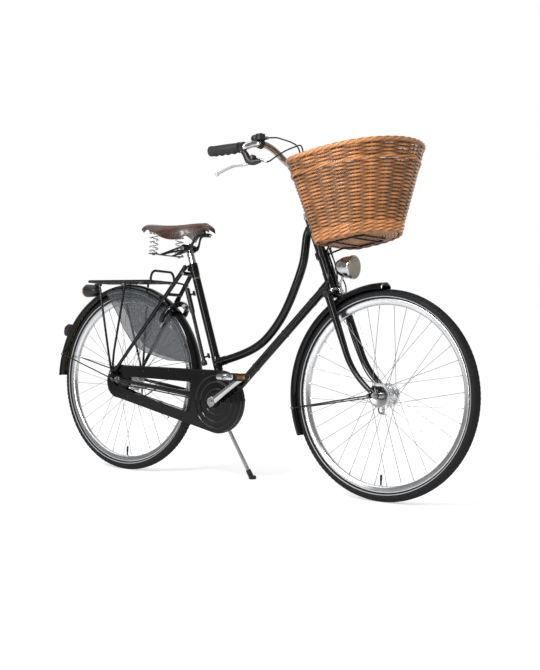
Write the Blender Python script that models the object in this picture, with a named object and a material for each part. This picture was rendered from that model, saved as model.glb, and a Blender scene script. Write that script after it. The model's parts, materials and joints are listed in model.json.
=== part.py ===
"""Loop-frame roadster bicycle: sprung leather saddle, wicker basket, full chaincase, drum brakes.

The bicycle is built upright: X forwards from the rear axle, Y to the rider's left, Z up from
the ground line under the tyres. At the end one empty leans it onto its side stand and puts the
origin on the ground under the middle of the bicycle. Every moving piece hangs from an empty
whose Z axis is its joint's axis.
"""

import math

import bmesh
import bpy
from mathutils import Matrix, Vector

# Clearances between pieces that touch, turn or slide
GAP = 0.0003
RUN = 0.0007

# Wheels
TYRE_R = 0.332
TYRE_WIDTH = 0.035
RIM_EDGE_R = 0.302
RIM_DEPTH = 0.019
RIM_WALL_DEPTH = 0.010
RIM_WALL_T = 0.0025
RIM_WIDTH = 0.0245
RIM_BED_WIDTH = 0.012
SPOKE_R = 0.00095
SPOKE_COUNT = 36
SPOKE_TURN = math.radians(52)
SPOKE_STAGGER = 0.0016
WHEELBASE = 1.099
WHEEL_STEPS = 32
HUB_STEPS = 14
FRONT_HUB_HALF = 0.030
FRONT_FLANGE_R = 0.038
FRONT_BARREL_R = 0.031
REAR_HUB_HALF = 0.028
REAR_FLANGE_R = 0.036
REAR_BARREL_R = 0.029
FLANGE_T = 0.0048
AXLE_R = 0.0048
AXLE_BORE_R = 0.0060
FRONT_PLATE_R = 0.037
REAR_PLATE_R = 0.042
BRAKE_PLATE_T = 0.0060
CAM_BOSS_H = 0.0022
BRAKE_ARM_LEN = 0.040
BRAKE_ARM_T = 0.0030
FRONT_CAM = Vector((-0.025, 0.0, -0.020))
REAR_CAM = Vector((0.026, 0.0, -0.020))

# Frame
BB_X = 0.465
BB_Z = 0.277
BB_SHELL_R = 0.0205
BB_SHELL_HALF = 0.034
SEAT_ANGLE = math.radians(69.8)
SEAT_TUBE_LEN = 0.508
TUBE_R = 0.0143
LUG_WALL = 0.0018
SEAT_LUG_LEN = 0.042
HEAD_ANGLE = math.radians(66.6)
FORK_RAKE = 0.056
HEAD_LOW_S = 0.386
HEAD_TUBE_LEN = 0.252
HEAD_TUBE_R = 0.0168
HEAD_BORE_R = 0.0145
CUP_R = 0.0205
CUP_H = 0.009
DOWN_TUBE_UP = 0.027
TOP_TUBE_DOWN = 0.024
STAY_R = 0.0082
SEAT_STAY_FOOT_Y = 0.0690
EYELET_X = -0.018
EYELET_Z = 0.356
EYELET_OUT = 0.0745
DROPOUT_Y = 0.0623
DROPOUT_T = 0.005
SEAT_STAY_BACK = 0.0160885
SEAT_STAY_DROP = 0.0137547
SEAT_STAY_TOP_Y = 0.0255

# Fork, stem and bar
STEERER_R = 0.0127
STEERER_BORE_R = 0.0117
CROWN_S = 0.358
CROWN_H = 0.022
BLADE_TOP_Y = 0.040
BLADE_CURVE = 0.165
FORK_END_Y = 0.0500
QUILL_R = 0.0111
BAR_R = 0.0111
BAR_X = 0.7660
BAR_Z = 1.056
GRIP_Y = 0.290
GRIP_R = 0.0155
GRIP_FRONT_X = 0.722
GRIP_REAR_X = 0.600
GRIP_Z = 1.090

# Mudguards
GUARD_HALF = 0.0265
GUARD_T = 0.0012
GUARD_DROP = 0.019
FRONT_GUARD_R = 0.353
REAR_GUARD_R = 0.356
REAR_GUARD_MIDDLE = Vector((-0.012, 0.0, 0.326))
FRONT_GUARD_FROM = math.radians(91)
FRONT_GUARD_TO = math.radians(205)
REAR_GUARD_FROM = math.radians(6)
REAR_GUARD_TO = math.radians(179)
REAR_GUARD_STEPS = 22
FRONT_GUARD_STEPS = 14
GUARD_STAY_R = 0.0026

# Drive
CHAIN_PITCH = 0.0127
CHAINRING_TEETH = 42
SPROCKET_TEETH = 19
CHAIN_LINE = 0.0445
TOOTH_T = 0.0022
CHAIN_PLATE_T = 0.0012
CHAIN_PLATE_HALF = 0.0040
CHAIN_INNER_HALF = 0.0018
CRANK_LEN = 0.168
CRANK_ANGLE = math.radians(32.5)
CRANK_BOSS_R = 0.0165
CRANK_Y = 0.0800
CRANK_FLARE = 0.0100
SPINDLE_R = 0.0082
PEDAL_LEN = 0.096
PEDAL_SPREAD = 0.0200

# Chaincase
CASE_OUT_Y = 0.0590
CASE_IN_Y = 0.0325
CASE_WALL = 0.0014
CASE_FRONT_R = 0.108
CASE_REAR_R = 0.064

# Saddle and seat post
POST_R = 0.0131
SEAT_BORE_R = 0.0136
POST_OUT = 0.075
POST_IN = 0.120
SADDLE_LEN = 0.268
SADDLE_WIDTH = 0.208
SADDLE_TOP_Z = 0.899
SADDLE_NOSE_X = 0.372
CANTLE_T = 0.0025
LEATHER_T = 0.0045
SPRING_R = 0.0155
SPRING_WIRE_R = 0.0021
SPRING_TURNS = 4.5
SPRING_Y = 0.0680
SEAT_PLATE_R = 0.0185
RAIL_R = 0.0034

# Rear rack
RACK_Z = 0.692
RACK_REAR_X = -0.185
RACK_FRONT_X = 0.145
RACK_HALF = 0.060
RACK_R = 0.0050
RACK_LEG_R = 0.0042
HOOP_H = 0.038
LAMP_X = -0.240
LAMP_Z = 0.6600
LAMP_HALF = 0.0265
LAMP_RISE = 0.0245

# Basket
BASKET_X = 0.949
BASKET_Z = 1.086
BASKET_TILT = math.radians(10.5)
BASKET_HALF_WIDTH = 0.205
BASKET_FRONT = 0.240
BASKET_REAR = 0.150
BASKET_HEIGHT = 0.268
BASKET_TAPER = 0.620
BASKET_BASE_SHIFT = -0.022
BASKET_WALL = 0.007
BASKET_STEPS = 40
BASKET_RIB = 0.0029
BASKET_RIM_DEPTH = 0.0125
BASKET_BAND_DEPTH = 0.050
BASKET_BAND_HALF = 0.007
STRAP_Y = 0.075
STRAP_WIDTH = 0.018
STRAP_T = 0.0022
STRAP_DEPTH = 0.045
SUPPORT_R = 0.0032
SUPPORT_S = 0.508

# Side stand
LEAN = math.radians(3.3)
STAND_PIVOT = Vector((0.413, 0.0405, 0.226))
STAND_FOOT_X = 0.5126
STAND_FOOT_Y = 0.100
STAND_R = 0.0066
STAND_FOOT_R = 0.013
STAND_PIN_R = 0.0045

# Ring lock
LOCK_ANGLE = math.radians(49.0)
LOCK_RISE = 0.015
LOCK_CENTRE_R = RIM_EDGE_R + LOCK_RISE
LOCK_ARC_R = 0.0545
LOCK_ROD_R = 0.0040
LOCK_OPEN = math.radians(118)

# Points worked out from the sizes above
REAR_AXLE = Vector((0.0, 0.0, TYRE_R))
FRONT_AXLE = Vector((WHEELBASE, 0.0, TYRE_R))
BB = Vector((BB_X, 0.0, BB_Z))
SEAT_UP = Vector((-math.cos(SEAT_ANGLE), 0.0, math.sin(SEAT_ANGLE)))
STEER_UP = Vector((-math.cos(HEAD_ANGLE), 0.0, math.sin(HEAD_ANGLE)))
STEER_FORE = Vector((math.sin(HEAD_ANGLE), 0.0, math.cos(HEAD_ANGLE)))
STEER_FOOT = FRONT_AXLE - STEER_FORE * FORK_RAKE
SIDE = Vector((0.0, 1.0, 0.0))
AXLE_END = DROPOUT_Y + 0.0025 + GAP + 0.016
TWIST = 0.31
UP = Vector((0.0, 0.0, 1.0))
FORE = Vector((1.0, 0.0, 0.0))
HEAD_TOP_S = HEAD_LOW_S + HEAD_TUBE_LEN
SEAT_TOP = BB + SEAT_UP * SEAT_TUBE_LEN

finishes = {}
bodies = {}
places = {}


# Scene, finishes and joints


def clear_scene():
    """Remove whatever the startup scene holds."""
    for old in list(bpy.data.objects):
        bpy.data.objects.remove(old, do_unlink=True)


def collection_named(name, hidden):
    """Return a new collection linked to the scene; a hidden one holds cutters and stays out of renders."""
    made = bpy.data.collections.new(name)
    bpy.context.scene.collection.children.link(made)
    made.hide_render = hidden
    return made


def finish(name, colour, roughness, metallic=0.0, alpha=1.0):
    """Return a new Principled material."""
    made = bpy.data.materials.new(name)
    made.use_nodes = True
    shader = made.node_tree.nodes["Principled BSDF"]
    shader.inputs["Base Color"].default_value = (*colour, 1.0)
    shader.inputs["Roughness"].default_value = roughness
    shader.inputs["Metallic"].default_value = metallic
    shader.inputs["Alpha"].default_value = alpha
    return made


def basis(axis, start):
    """Return the rotation whose Z column is the axis and whose X column lies towards start."""
    along = axis.normalized()
    across = (start - along * start.dot(along)).normalized()
    return Matrix((across, along.cross(across), along)).transposed()


def any_normal(axis):
    """Return a direction square to the axis."""
    square = axis.cross(UP if abs(axis.normalized().z) < 0.9 else FORE).normalized()
    return Matrix.Rotation(TWIST, 3, axis) @ square


def body(name, parent, point, axis):
    """Make the empty that a moving group hangs from, with its Z axis on the joint's axis."""
    pivot = bpy.data.objects.new(f"{name}_axis", None)
    bpy.context.scene.collection.objects.link(pivot)
    pivot.empty_display_size = 0.03
    place = Matrix.Translation(point) @ basis(axis, any_normal(axis)).to_4x4()
    pivot.matrix_basis = place
    if parent:
        pivot.parent = bodies[parent]
        pivot.matrix_parent_inverse = places[parent].inverted()
    bodies[name] = pivot
    places[name] = place


# Meshes made one solid at a time


def closed_mesh(bm):
    """Weld a finished mesh and turn its faces outwards."""
    bmesh.ops.remove_doubles(bm, verts=bm.verts[:], dist=1e-6)
    bmesh.ops.recalc_face_normals(bm, faces=bm.faces[:])
    if bm.calc_volume(signed=True) < 0.0:
        bmesh.ops.reverse_faces(bm, faces=bm.faces[:])
    return bm


def lathe(profile, centre, axis, steps, start=None, closed=False):
    """Turn (radius, height) points about an axis; a closed profile gives a ring."""
    bm = bmesh.new()
    verts = [bm.verts.new((radius, 0.0, height)) for radius, height in profile]
    pairs = list(zip(verts, verts[1:]))
    if closed:
        pairs.append((verts[-1], verts[0]))
    edges = [bm.edges.new(pair) for pair in pairs]
    bmesh.ops.spin(
        bm,
        geom=verts + edges,
        cent=(0.0, 0.0, 0.0),
        axis=(0.0, 0.0, 1.0),
        angle=math.tau,
        steps=steps,
        use_merge=True,
    )
    bmesh.ops.remove_doubles(bm, verts=bm.verts[:], dist=1e-6)
    bm.normal_update()
    poles = [v for v in bm.verts if v.co.xy.length < 1e-6]
    flat = [v for v in poles if all(abs(f.normal.z) > 0.9999 for f in v.link_faces)]
    bmesh.ops.dissolve_verts(bm, verts=flat)
    place = Matrix.Translation(centre) @ basis(axis, start or any_normal(axis)).to_4x4()
    bm.transform(place)
    return closed_mesh(bm)


def rod(start, end, radius, steps, end_radius=None):
    """Return a straight round bar between two points, which may taper."""
    length = (end - start).length
    last = radius if end_radius is None else end_radius
    profile = [(0.0, 0.0), (radius, 0.0), (last, length), (0.0, length)]
    return lathe(profile, start, end - start, steps)


def ring(centre, axis, inner, outer, low, high, steps, start=None):
    """Return a flat-sided ring about an axis, between two heights along it."""
    profile = [(inner, low), (outer, low), (outer, high), (inner, high)]
    return lathe(profile, centre, axis, steps, start, closed=True)


def drum(centre, axis, radius, low, high, steps, start=None):
    """Return a solid disc about an axis, between two heights along it."""
    profile = [(0.0, low), (radius, low), (radius, high), (0.0, high)]
    return lathe(profile, centre, axis, steps, start)


def smooth(points, per_span):
    """Return points along a smooth curve through the given ones."""
    ends = [points[0] * 2 - points[1], *points, points[-1] * 2 - points[-2]]
    made = []
    for before, first, second, after in zip(ends, ends[1:], ends[2:], ends[3:]):
        for k in range(per_span):
            t = k / per_span
            made.append(
                0.5
                * (
                    first * 2
                    + (second - before) * t
                    + (before * 2 - first * 5 + second * 4 - after) * t**2
                    + (first * 3 - before - second * 3 + after) * t**3
                )
            )
    return [*made, points[-1]]


def sweep(points, sizes, steps, start=None, bore=None):
    """Return a tube through the points; sizes are (half width, half depth) or one radius."""
    if not isinstance(sizes, list):
        sizes = [sizes] * len(points)
    sizes = [size if isinstance(size, tuple) else (size, size) for size in sizes]
    bm = bmesh.new()
    aims = [points[1] - points[0]]
    aims += [b - a for a, b in zip(points, points[2:])]
    aims.append(points[-1] - points[-2])
    across = start or any_normal(aims[0])
    skins = []
    for inset in [0.0] + ([bore] if bore else []):
        rings = []
        side = across
        for point, aim, (wide, deep) in zip(points, aims, sizes):
            turn = basis(aim, side)
            side = turn.col[0]
            circle = []
            for k in range(steps):
                angle = math.tau * k / steps
                flat = Vector(
                    ((wide - inset) * math.cos(angle), (deep - inset) * math.sin(angle), 0.0)
                )
                circle.append(bm.verts.new(point + turn @ flat))
            rings.append(circle)
        skins.append(rings)
    for rings in skins:
        for low, high in zip(rings, rings[1:]):
            bridge(bm, low, high)
    if bore:
        bridge(bm, skins[0][0], skins[1][0])
        bridge(bm, skins[0][-1], skins[1][-1])
    else:
        bm.faces.new(skins[0][0])
        bm.faces.new(skins[0][-1])
    return closed_mesh(bm)


def bridge(bm, low, high):
    """Join two equal loops of points by four-sided faces."""
    for k in range(len(low)):
        after = (k + 1) % len(low)
        bm.faces.new((low[k], low[after], high[after], high[k]))


def loft(loops, capped=True):
    """Return a solid through closed loops of points, each with the same count."""
    bm = bmesh.new()
    rings = [[bm.verts.new(point) for point in loop] for loop in loops]
    for low, high in zip(rings, rings[1:]):
        bridge(bm, low, high)
    if capped:
        bm.faces.new(rings[0])
        bm.faces.new(rings[-1])
    else:
        bridge(bm, rings[-1], rings[0])
    return closed_mesh(bm)


def slab(outline, low, high):
    """Return a flat plate with an (x, z) outline between two heights in Y."""
    return loft([[Vector((x, y, z)) for x, z in outline] for y in (low, high)])


def box(centre, size, turn=None):
    """Return a box about its centre, turned by a rotation matrix if one is given."""
    bm = bmesh.new()
    bmesh.ops.create_cube(bm, size=1.0)
    place = Matrix.Translation(centre) @ (turn or Matrix.Identity(3)).to_4x4()
    bm.transform(place @ Matrix.Diagonal((*size, 1.0)))
    return closed_mesh(bm)


def disc_outline(centre, radius, start, end, steps):
    """Return (x, z) points along an arc about a centre in the wheel's plane."""
    made = []
    for k in range(steps + 1):
        angle = start + (end - start) * k / steps
        made.append((centre.x + radius * math.cos(angle), centre.z + radius * math.sin(angle)))
    return made


def loop_round(first, first_r, second, second_r, front_steps, rear_steps):
    """Return the (x, z) outline of a belt round two discs, the first one in front."""
    gap = first - second
    lean = math.atan2(gap.z, gap.x)
    splay = math.acos((first_r - second_r) / math.hypot(gap.x, gap.z))
    front = disc_outline(first, first_r, lean - splay, lean + splay, front_steps)
    rear = disc_outline(second, second_r, lean + splay, lean + math.tau - splay, rear_steps)
    return front + rear


def temporary(bm):
    """Turn a mesh into a hidden object, for one Boolean."""
    mesh = bpy.data.meshes.new("temporary")
    bm.to_mesh(mesh)
    bm.free()
    made = bpy.data.objects.new("temporary", mesh)
    cutters.objects.link(made)
    made.display_type = "WIRE"
    return made


def combined(operation, first, others):
    """Return the exact Boolean of one closed mesh with others, one after another."""
    base = temporary(first)
    used = [base]
    for other in others:
        used.append(temporary(other))
        step = base.modifiers.new("step", "BOOLEAN")
        step.operation = operation
        step.solver = "EXACT"
        step.object = used[-1]
    bpy.context.view_layer.update()
    graph = bpy.context.evaluated_depsgraph_get()
    made = bmesh.new()
    made.from_mesh(base.evaluated_get(graph).to_mesh())
    base.evaluated_get(graph).to_mesh_clear()
    for old in used:
        mesh = old.data
        bpy.data.objects.remove(old, do_unlink=True)
        bpy.data.meshes.remove(mesh)
    return made


def joined(first, *others):
    """Return the union of closed meshes that overlap."""
    return combined("UNION", first, others)


def cut(first, *others):
    """Return a closed mesh without what the others cover."""
    return combined("DIFFERENCE", first, others)


def node(name, bm, look, group, sharp=35):
    """Finish one sub-part: weld it, shade it smooth but for its sharp edges, and hang it on its group."""
    bmesh.ops.dissolve_degenerate(bm, edges=bm.edges[:], dist=1e-6)
    mesh = bpy.data.meshes.new(name)
    bm.to_mesh(mesh)
    bm.free()
    mesh.shade_smooth()
    mesh.set_sharp_from_angle(angle=math.radians(sharp))
    made = bpy.data.objects.new(name, mesh)
    bicycle.objects.link(made)
    mesh.materials.append(finishes[look])
    made.parent = bodies[group]
    made.matrix_parent_inverse = places[group].inverted()
    return made


def steering(up, fore=0.0, side=0.0):
    """Return a point given along the steering axis, ahead of it and to its left."""
    return STEER_FOOT + STEER_UP * up + STEER_FORE * fore + SIDE * side


def steering_height(point):
    """Return how far up the steering axis a point lies."""
    return (point - STEER_FOOT).dot(STEER_UP)


def at(x, y, z):
    """Return a point of the upright bicycle."""
    return Vector((x, y, z))


# Frame


def build_main_frame():
    """Seat tube, down tube, curved top tube, head tube, lugs and bottom bracket shell in one piece."""
    low = steering(HEAD_LOW_S)
    high = steering(HEAD_TOP_S)
    down_end = steering(HEAD_LOW_S + DOWN_TUBE_UP)
    top_end = steering(HEAD_TOP_S - TOP_TUBE_DOWN)
    bend = [
        top_end,
        at(0.783, 0.0, 0.842),
        at(0.7735, 0.0, 0.761),
        at(0.745, 0.0, 0.678),
        at(0.696, 0.0, 0.578),
        at(0.624, 0.0, 0.493),
        at(0.539, 0.0, 0.446),
        BB + SEAT_UP * 0.140,
    ]
    bend = smooth(bend, 2)
    lug_r = TUBE_R + LUG_WALL
    down = (down_end - BB).normalized()
    tail = (bend[-2] - bend[-1]).normalized()
    outside = [
        rod(BB + SEAT_UP * 0.002, SEAT_TOP, TUBE_R, 10),
        sweep(bend, TUBE_R, 10, SIDE),
        rod(BB + down * 0.002, down_end, TUBE_R, 10),
        rod(BB + SEAT_UP * 0.006, BB + SEAT_UP * 0.050, lug_r, 10),
        rod(BB + down * 0.006, BB + down * 0.052, lug_r, 10),
        rod(SEAT_TOP - SEAT_UP * SEAT_LUG_LEN, SEAT_TOP + SEAT_UP * 0.002, lug_r, 10),
        rod(bend[-1] - SEAT_UP * 0.026, bend[-1] + SEAT_UP * 0.026, lug_r, 10),
        rod(bend[-1] + tail * 0.003, bend[-1] + tail * 0.040, lug_r, 10),
        rod(down_end - down * 0.003, down_end - down * 0.046, lug_r, 10),
        rod(top_end + (bend[1] - bend[0]) * 0.1, bend[1] + (bend[1] - bend[0]) * 0.6, lug_r, 10),
        rod(low, down_end + STEER_UP * 0.034, HEAD_TUBE_R + LUG_WALL, 12),
        rod(top_end - STEER_UP * 0.030, high, HEAD_TUBE_R + LUG_WALL, 12),
        rod(low - STEER_UP * CUP_H, low + STEER_UP * 0.001, CUP_R, 12),
        rod(high - STEER_UP * 0.001, high + STEER_UP * CUP_H, CUP_R, 12),
        rod(BB - SIDE * BB_SHELL_HALF, BB + SIDE * BB_SHELL_HALF, BB_SHELL_R, 14),
    ]
    bolt = SEAT_TOP - SEAT_UP * 0.014 + FORE * -0.0185
    outside.append(box(bolt, (0.016, 0.022, 0.015), basis(SIDE.cross(SEAT_UP), SIDE)))
    outside.append(rod(bolt - SIDE * 0.017, bolt + SIDE * 0.017, 0.0048, 6))
    frame = joined(rod(low - STEER_UP * 0.004, high + STEER_UP * 0.004, HEAD_TUBE_R, 12), *outside)
    bores = [
        rod(low - STEER_UP * 0.03, high + STEER_UP * 0.03, HEAD_BORE_R, 12),
        rod(BB - SIDE * 0.06, BB + SIDE * 0.06, SPINDLE_R + RUN, 12),
        rod(SEAT_TOP - SEAT_UP * (POST_IN + 0.030), SEAT_TOP + SEAT_UP * 0.03, SEAT_BORE_R, 12),
    ]
    node("main_frame", cut(frame, *bores), "black", "frame")


def stay_end(side):
    """Return the middle of a rear dropout."""
    return at(0.0, DROPOUT_Y * side, TYRE_R)


def seat_stay_ends():
    """Return the upper and lower ends of the two seat stays' middle lines."""
    ends = []
    for side in (-1, 1):
        top = SEAT_TOP + at(-SEAT_STAY_BACK, SEAT_STAY_TOP_Y * side, -SEAT_STAY_DROP)
        ends.append((top, at(EYELET_X, SEAT_STAY_FOOT_Y * side, EYELET_Z)))
    return ends


def seat_stays(margin):
    """Return the two seat stays, made thicker by a margin when they serve as cutters."""
    made = []
    for top, foot in seat_stay_ends():
        made.append(rod(top, foot, STAY_R + margin, 8, STAY_R * 0.70 + margin))
    return made


def build_rear_frame():
    """Chain stays, seat stays, dropouts, bridges and the stand's plate in one piece."""
    pieces = []
    behind = BB_SHELL_R + GAP
    for side in (-1, 1):
        chain_stay = smooth(
            [
                at(BB_X - behind - 0.004, 0.0190 * side, 0.2795),
                at(0.362, 0.0212 * side, 0.2885),
                at(0.325, 0.0265 * side, 0.2935),
                at(0.200, 0.0420 * side, 0.3085),
                at(0.090, 0.0570 * side, 0.3215),
                at(0.012, DROPOUT_Y * side, 0.3310),
            ],
            1,
        )
        sizes = [0.0092, 0.0090, 0.0090, 0.0086, 0.0072, 0.0050]
        pieces.append(sweep(chain_stay, sizes, 8, UP))
        outline = disc_outline(stay_end(side), 0.0155, math.radians(-150), math.radians(95), 7)
        outline += [(-0.010, 0.364), (-0.027, 0.362), (-0.036, 0.340), (-0.032, 0.324)]
        inner = DROPOUT_Y - DROPOUT_T / 2
        outer = DROPOUT_Y + DROPOUT_T / 2
        pieces.append(slab(outline, inner * side, outer * side))
        eyelet = at(EYELET_X, 0.0, EYELET_Z)
        pieces.append(drum(eyelet, SIDE * side, 0.0085, inner, EYELET_OUT, 8))
    pieces += seat_stays(0.0)
    bridge_up = at(0.385, 0.0, 0.2855)
    pieces.append(rod(bridge_up - SIDE * 0.022, bridge_up + SIDE * 0.022, 0.0060, 6))
    yoke = SEAT_TOP - SEAT_UP * 0.036 - FORE * (TUBE_R + LUG_WALL + 0.0165)
    pieces.append(rod(yoke - SIDE * 0.030, yoke + SIDE * 0.030, 0.0072, 8))
    arch = REAR_AXLE + at(math.cos(math.radians(56.5)), 0.0, math.sin(math.radians(56.5))) * 0.3755
    pieces.append(rod(arch - SIDE * 0.037, arch + SIDE * 0.037, 0.0058, 6))
    plate = at(STAND_PIVOT.x, 0.0330, 0.2705)
    axis = stand_axis()
    ear = STAND_PIVOT + axis * (STAND_R + RUN + 0.0030)
    pieces.append(box(plate, (0.040, 0.030, 0.012)))
    pieces.append(box(ear, (0.022, 0.022, 0.0060), basis(axis, FORE)))
    pieces.append(rod(ear + axis * 0.0050, plate, 0.0058, 8))
    pieces.append(rod(STAND_PIVOT - axis * (STAND_R + 0.0040), ear, STAND_PIN_R, 8))
    pieces.append(drum(STAND_PIVOT, -axis, STAND_PIN_R + 0.0035, STAND_R + RUN, STAND_R + 0.0045, 8))
    frame = joined(pieces[0], *pieces[1:])
    slots = [
        rod(BB - SIDE * 0.05, BB + SIDE * 0.05, BB_SHELL_R + GAP, 14),
        rod(REAR_AXLE - SIDE * 0.09, REAR_AXLE + SIDE * 0.09, AXLE_R + GAP, 10),
        rod(BB, SEAT_TOP + SEAT_UP * 0.1, TUBE_R + LUG_WALL + GAP, 10),
    ]
    node("rear_frame", cut(frame, *slots), "black", "frame")


def guard(axle, radius, start, end, steps):
    """Return a curved mudguard skin round an axle, with its lips left open below."""
    loops = []
    for k in range(steps + 1):
        angle = start + (end - start) * k / steps
        out = Vector((math.cos(angle), 0.0, math.sin(angle)))
        loop = []
        for skin, order in ((0.0, range(5)), (GUARD_T, range(4, -1, -1))):
            for j in order:
                turn = math.radians(-90 + 45 * j)
                half = GUARD_HALF - skin
                reach = radius - skin - (GUARD_DROP - skin * 0.2) * (1.0 - math.cos(turn))
                loop.append(axle + out * reach + SIDE * (half * math.sin(turn)))
        loops.append(loop)
    return loft(loops)


def guard_stays(middle, radius, angle, eyelet):
    """Return a mudguard's pair of wire stays; each runs flat past the fork end before it slopes in."""
    pieces = []
    out = Vector((math.cos(angle), 0.0, math.sin(angle)))
    for side in (-1, 1):
        rim = middle + out * (radius - GUARD_DROP) + SIDE * side * (GUARD_HALF - 0.0008)
        hub = at(eyelet.x, eyelet.y * side, eyelet.z)
        run = at(rim.x - hub.x, 0.0, rim.z - hub.z).normalized()
        elbow = hub + run * 0.022
        into = (elbow - rim).normalized()
        pieces.append(sweep([rim - into * 0.012, rim + into * 0.02, elbow, hub], GUARD_STAY_R, 6, UP))
        pieces.append(drum(hub, SIDE * side, 0.0058, -GUARD_STAY_R, 0.0040, 8))
    return pieces


def build_rear_mudguard():
    """Rear mudguard with its wire stays."""
    skin = guard(REAR_GUARD_MIDDLE, REAR_GUARD_R, REAR_GUARD_FROM, REAR_GUARD_TO, REAR_GUARD_STEPS)
    eyelet = at(-0.0260, DROPOUT_Y + DROPOUT_T / 2 + GAP + GUARD_STAY_R, 0.3340)
    stays = guard_stays(REAR_GUARD_MIDDLE, REAR_GUARD_R, math.radians(165), eyelet)
    node("rear_mudguard", joined(skin, *stays), "black", "frame")


def build_chaincase():
    """Full chaincase: two walls round the chain with a window between its runs."""
    rear = REAR_AXLE - UP * 0.0075
    front_r = CASE_FRONT_R
    outline = loop_round(BB, front_r, rear, CASE_REAR_R - 0.004, 24, 14)
    inner = loop_round(BB, front_r - CASE_WALL, rear, CASE_REAR_R - 0.004 - CASE_WALL, 24, 14)
    window = [
        (0.004, 0.346),
        (0.342, 0.340),
        (0.352, 0.331),
        (0.352, 0.240),
        (0.341, 0.232),
        (0.092, 0.281),
        (0.006, 0.306),
    ]
    case = slab(outline, -CASE_OUT_Y, -CASE_IN_Y)
    low = -CASE_OUT_Y + CASE_WALL
    high = -CASE_IN_Y - CASE_WALL
    frame_of_window = slab(grown(window, 0.0016), -CASE_OUT_Y - 0.01, -CASE_IN_Y + 0.01)
    round_sprocket = drum(REAR_AXLE, SIDE, 0.0475, -0.1, 0.1, 24)
    cavity = cut(slab(inner, low, high), cut(frame_of_window, round_sprocket))
    openings = [
        slab(window, -CASE_OUT_Y - 0.005, -CASE_IN_Y + 0.005),
        drum(REAR_AXLE, SIDE, 0.0270, -0.08, 0.0, 18),
        drum(BB, SIDE, BB_SHELL_R + GAP, -0.045, 0.0, 22),
        drum(BB, SIDE, CRANK_BOSS_R + 0.0035, -0.09, -0.05, 20),
    ]
    node("chaincase", cut(case, cavity, *openings), "black", "frame")


def grown(outline, margin):
    """Return a flat outline moved outwards by a margin."""
    made = []
    count = len(outline)
    area = sum(
        outline[k][0] * outline[(k + 1) % count][1] - outline[(k + 1) % count][0] * outline[k][1]
        for k in range(count)
    )
    sign = 1.0 if area > 0 else -1.0
    for k in range(count):
        here = Vector(outline[k])
        before = (here - Vector(outline[k - 1])).normalized()
        after = (Vector(outline[(k + 1) % count]) - here).normalized()
        first = Vector((before.y, -before.x)) * sign
        second = Vector((after.y, -after.x)) * sign
        middle = (first + second).normalized()
        made.append(tuple(here + middle * (margin / max(0.3, middle.dot(first)))))
    return made


def build_rack():
    """Tubular rear rack: platform, legs, front hoop, spring clip plate and struts."""
    level = RACK_Z
    pieces = []
    corner = 0.022
    rail = [
        at(RACK_FRONT_X, RACK_HALF, level),
        at(RACK_REAR_X + corner, RACK_HALF, level),
        at(RACK_REAR_X + corner * 0.3, RACK_HALF - corner * 0.3, level),
        at(RACK_REAR_X, RACK_HALF - corner, level),
    ]
    rail += [at(p.x, -p.y, p.z) for p in reversed(rail)]
    pieces.append(sweep(rail, RACK_R, 6, UP))
    hoop = [
        at(RACK_FRONT_X, -RACK_HALF, level - 0.004),
        at(RACK_FRONT_X, -RACK_HALF - 0.002, level + 0.012),
        at(RACK_FRONT_X, -RACK_HALF * 0.90, level + HOOP_H * 0.8),
        at(RACK_FRONT_X, -RACK_HALF * 0.72, level + HOOP_H),
    ]
    hoop += [at(p.x, -p.y, p.z) for p in reversed(hoop)]
    pieces.append(sweep(hoop, RACK_R * 0.9, 6, FORE))
    for x in (RACK_FRONT_X, 0.075, -0.045, -0.120):
        pieces.append(rod(at(x, -RACK_HALF, level), at(x, RACK_HALF, level), 0.0042, 6))
    pieces.append(box(at(-0.025, 0.0, level + 0.0025), (0.300, 0.034, 0.0060)))
    for side in (-1, 1):
        out = 0.0795 * side
        foot = at(EYELET_X, out, EYELET_Z)
        rear_top = at(-0.120, RACK_HALF * side, level)
        front_top = at(0.018, RACK_HALF * side, level)
        pieces.append(sweep([rear_top, at(-0.030, out, 0.400), foot], RACK_LEG_R, 6, SIDE))
        front_leg = [front_top, at(-0.010, out, 0.430), at(-0.0130, out, 0.370)]
        pieces.append(sweep(front_leg, RACK_LEG_R, 6, SIDE))
        pieces.append(drum(at(foot.x, 0.0, foot.z), SIDE * side, 0.0095, EYELET_OUT + GAP, 0.0850, 8))
        strut_top = at(RACK_FRONT_X, 0.046 * side, level)
        clamp = at(0.2290, 0.0413 * side, 0.6790)
        pieces.append(sweep([strut_top, at(0.190, 0.0445 * side, level - 0.003), clamp], 0.0036, 6, SIDE))
    rack = cut(joined(pieces[0], *pieces[1:]), *seat_stays(GAP))
    node("rear_rack", rack, "black", "frame")


def lamp_loop(lamp, x, half, rise):
    """Return one oval section of the rear lamp."""
    turns = [math.tau * k / 14 for k in range(14)]
    return [lamp + at(x, half * math.cos(t), rise * math.sin(t)) for t in turns]


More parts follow.
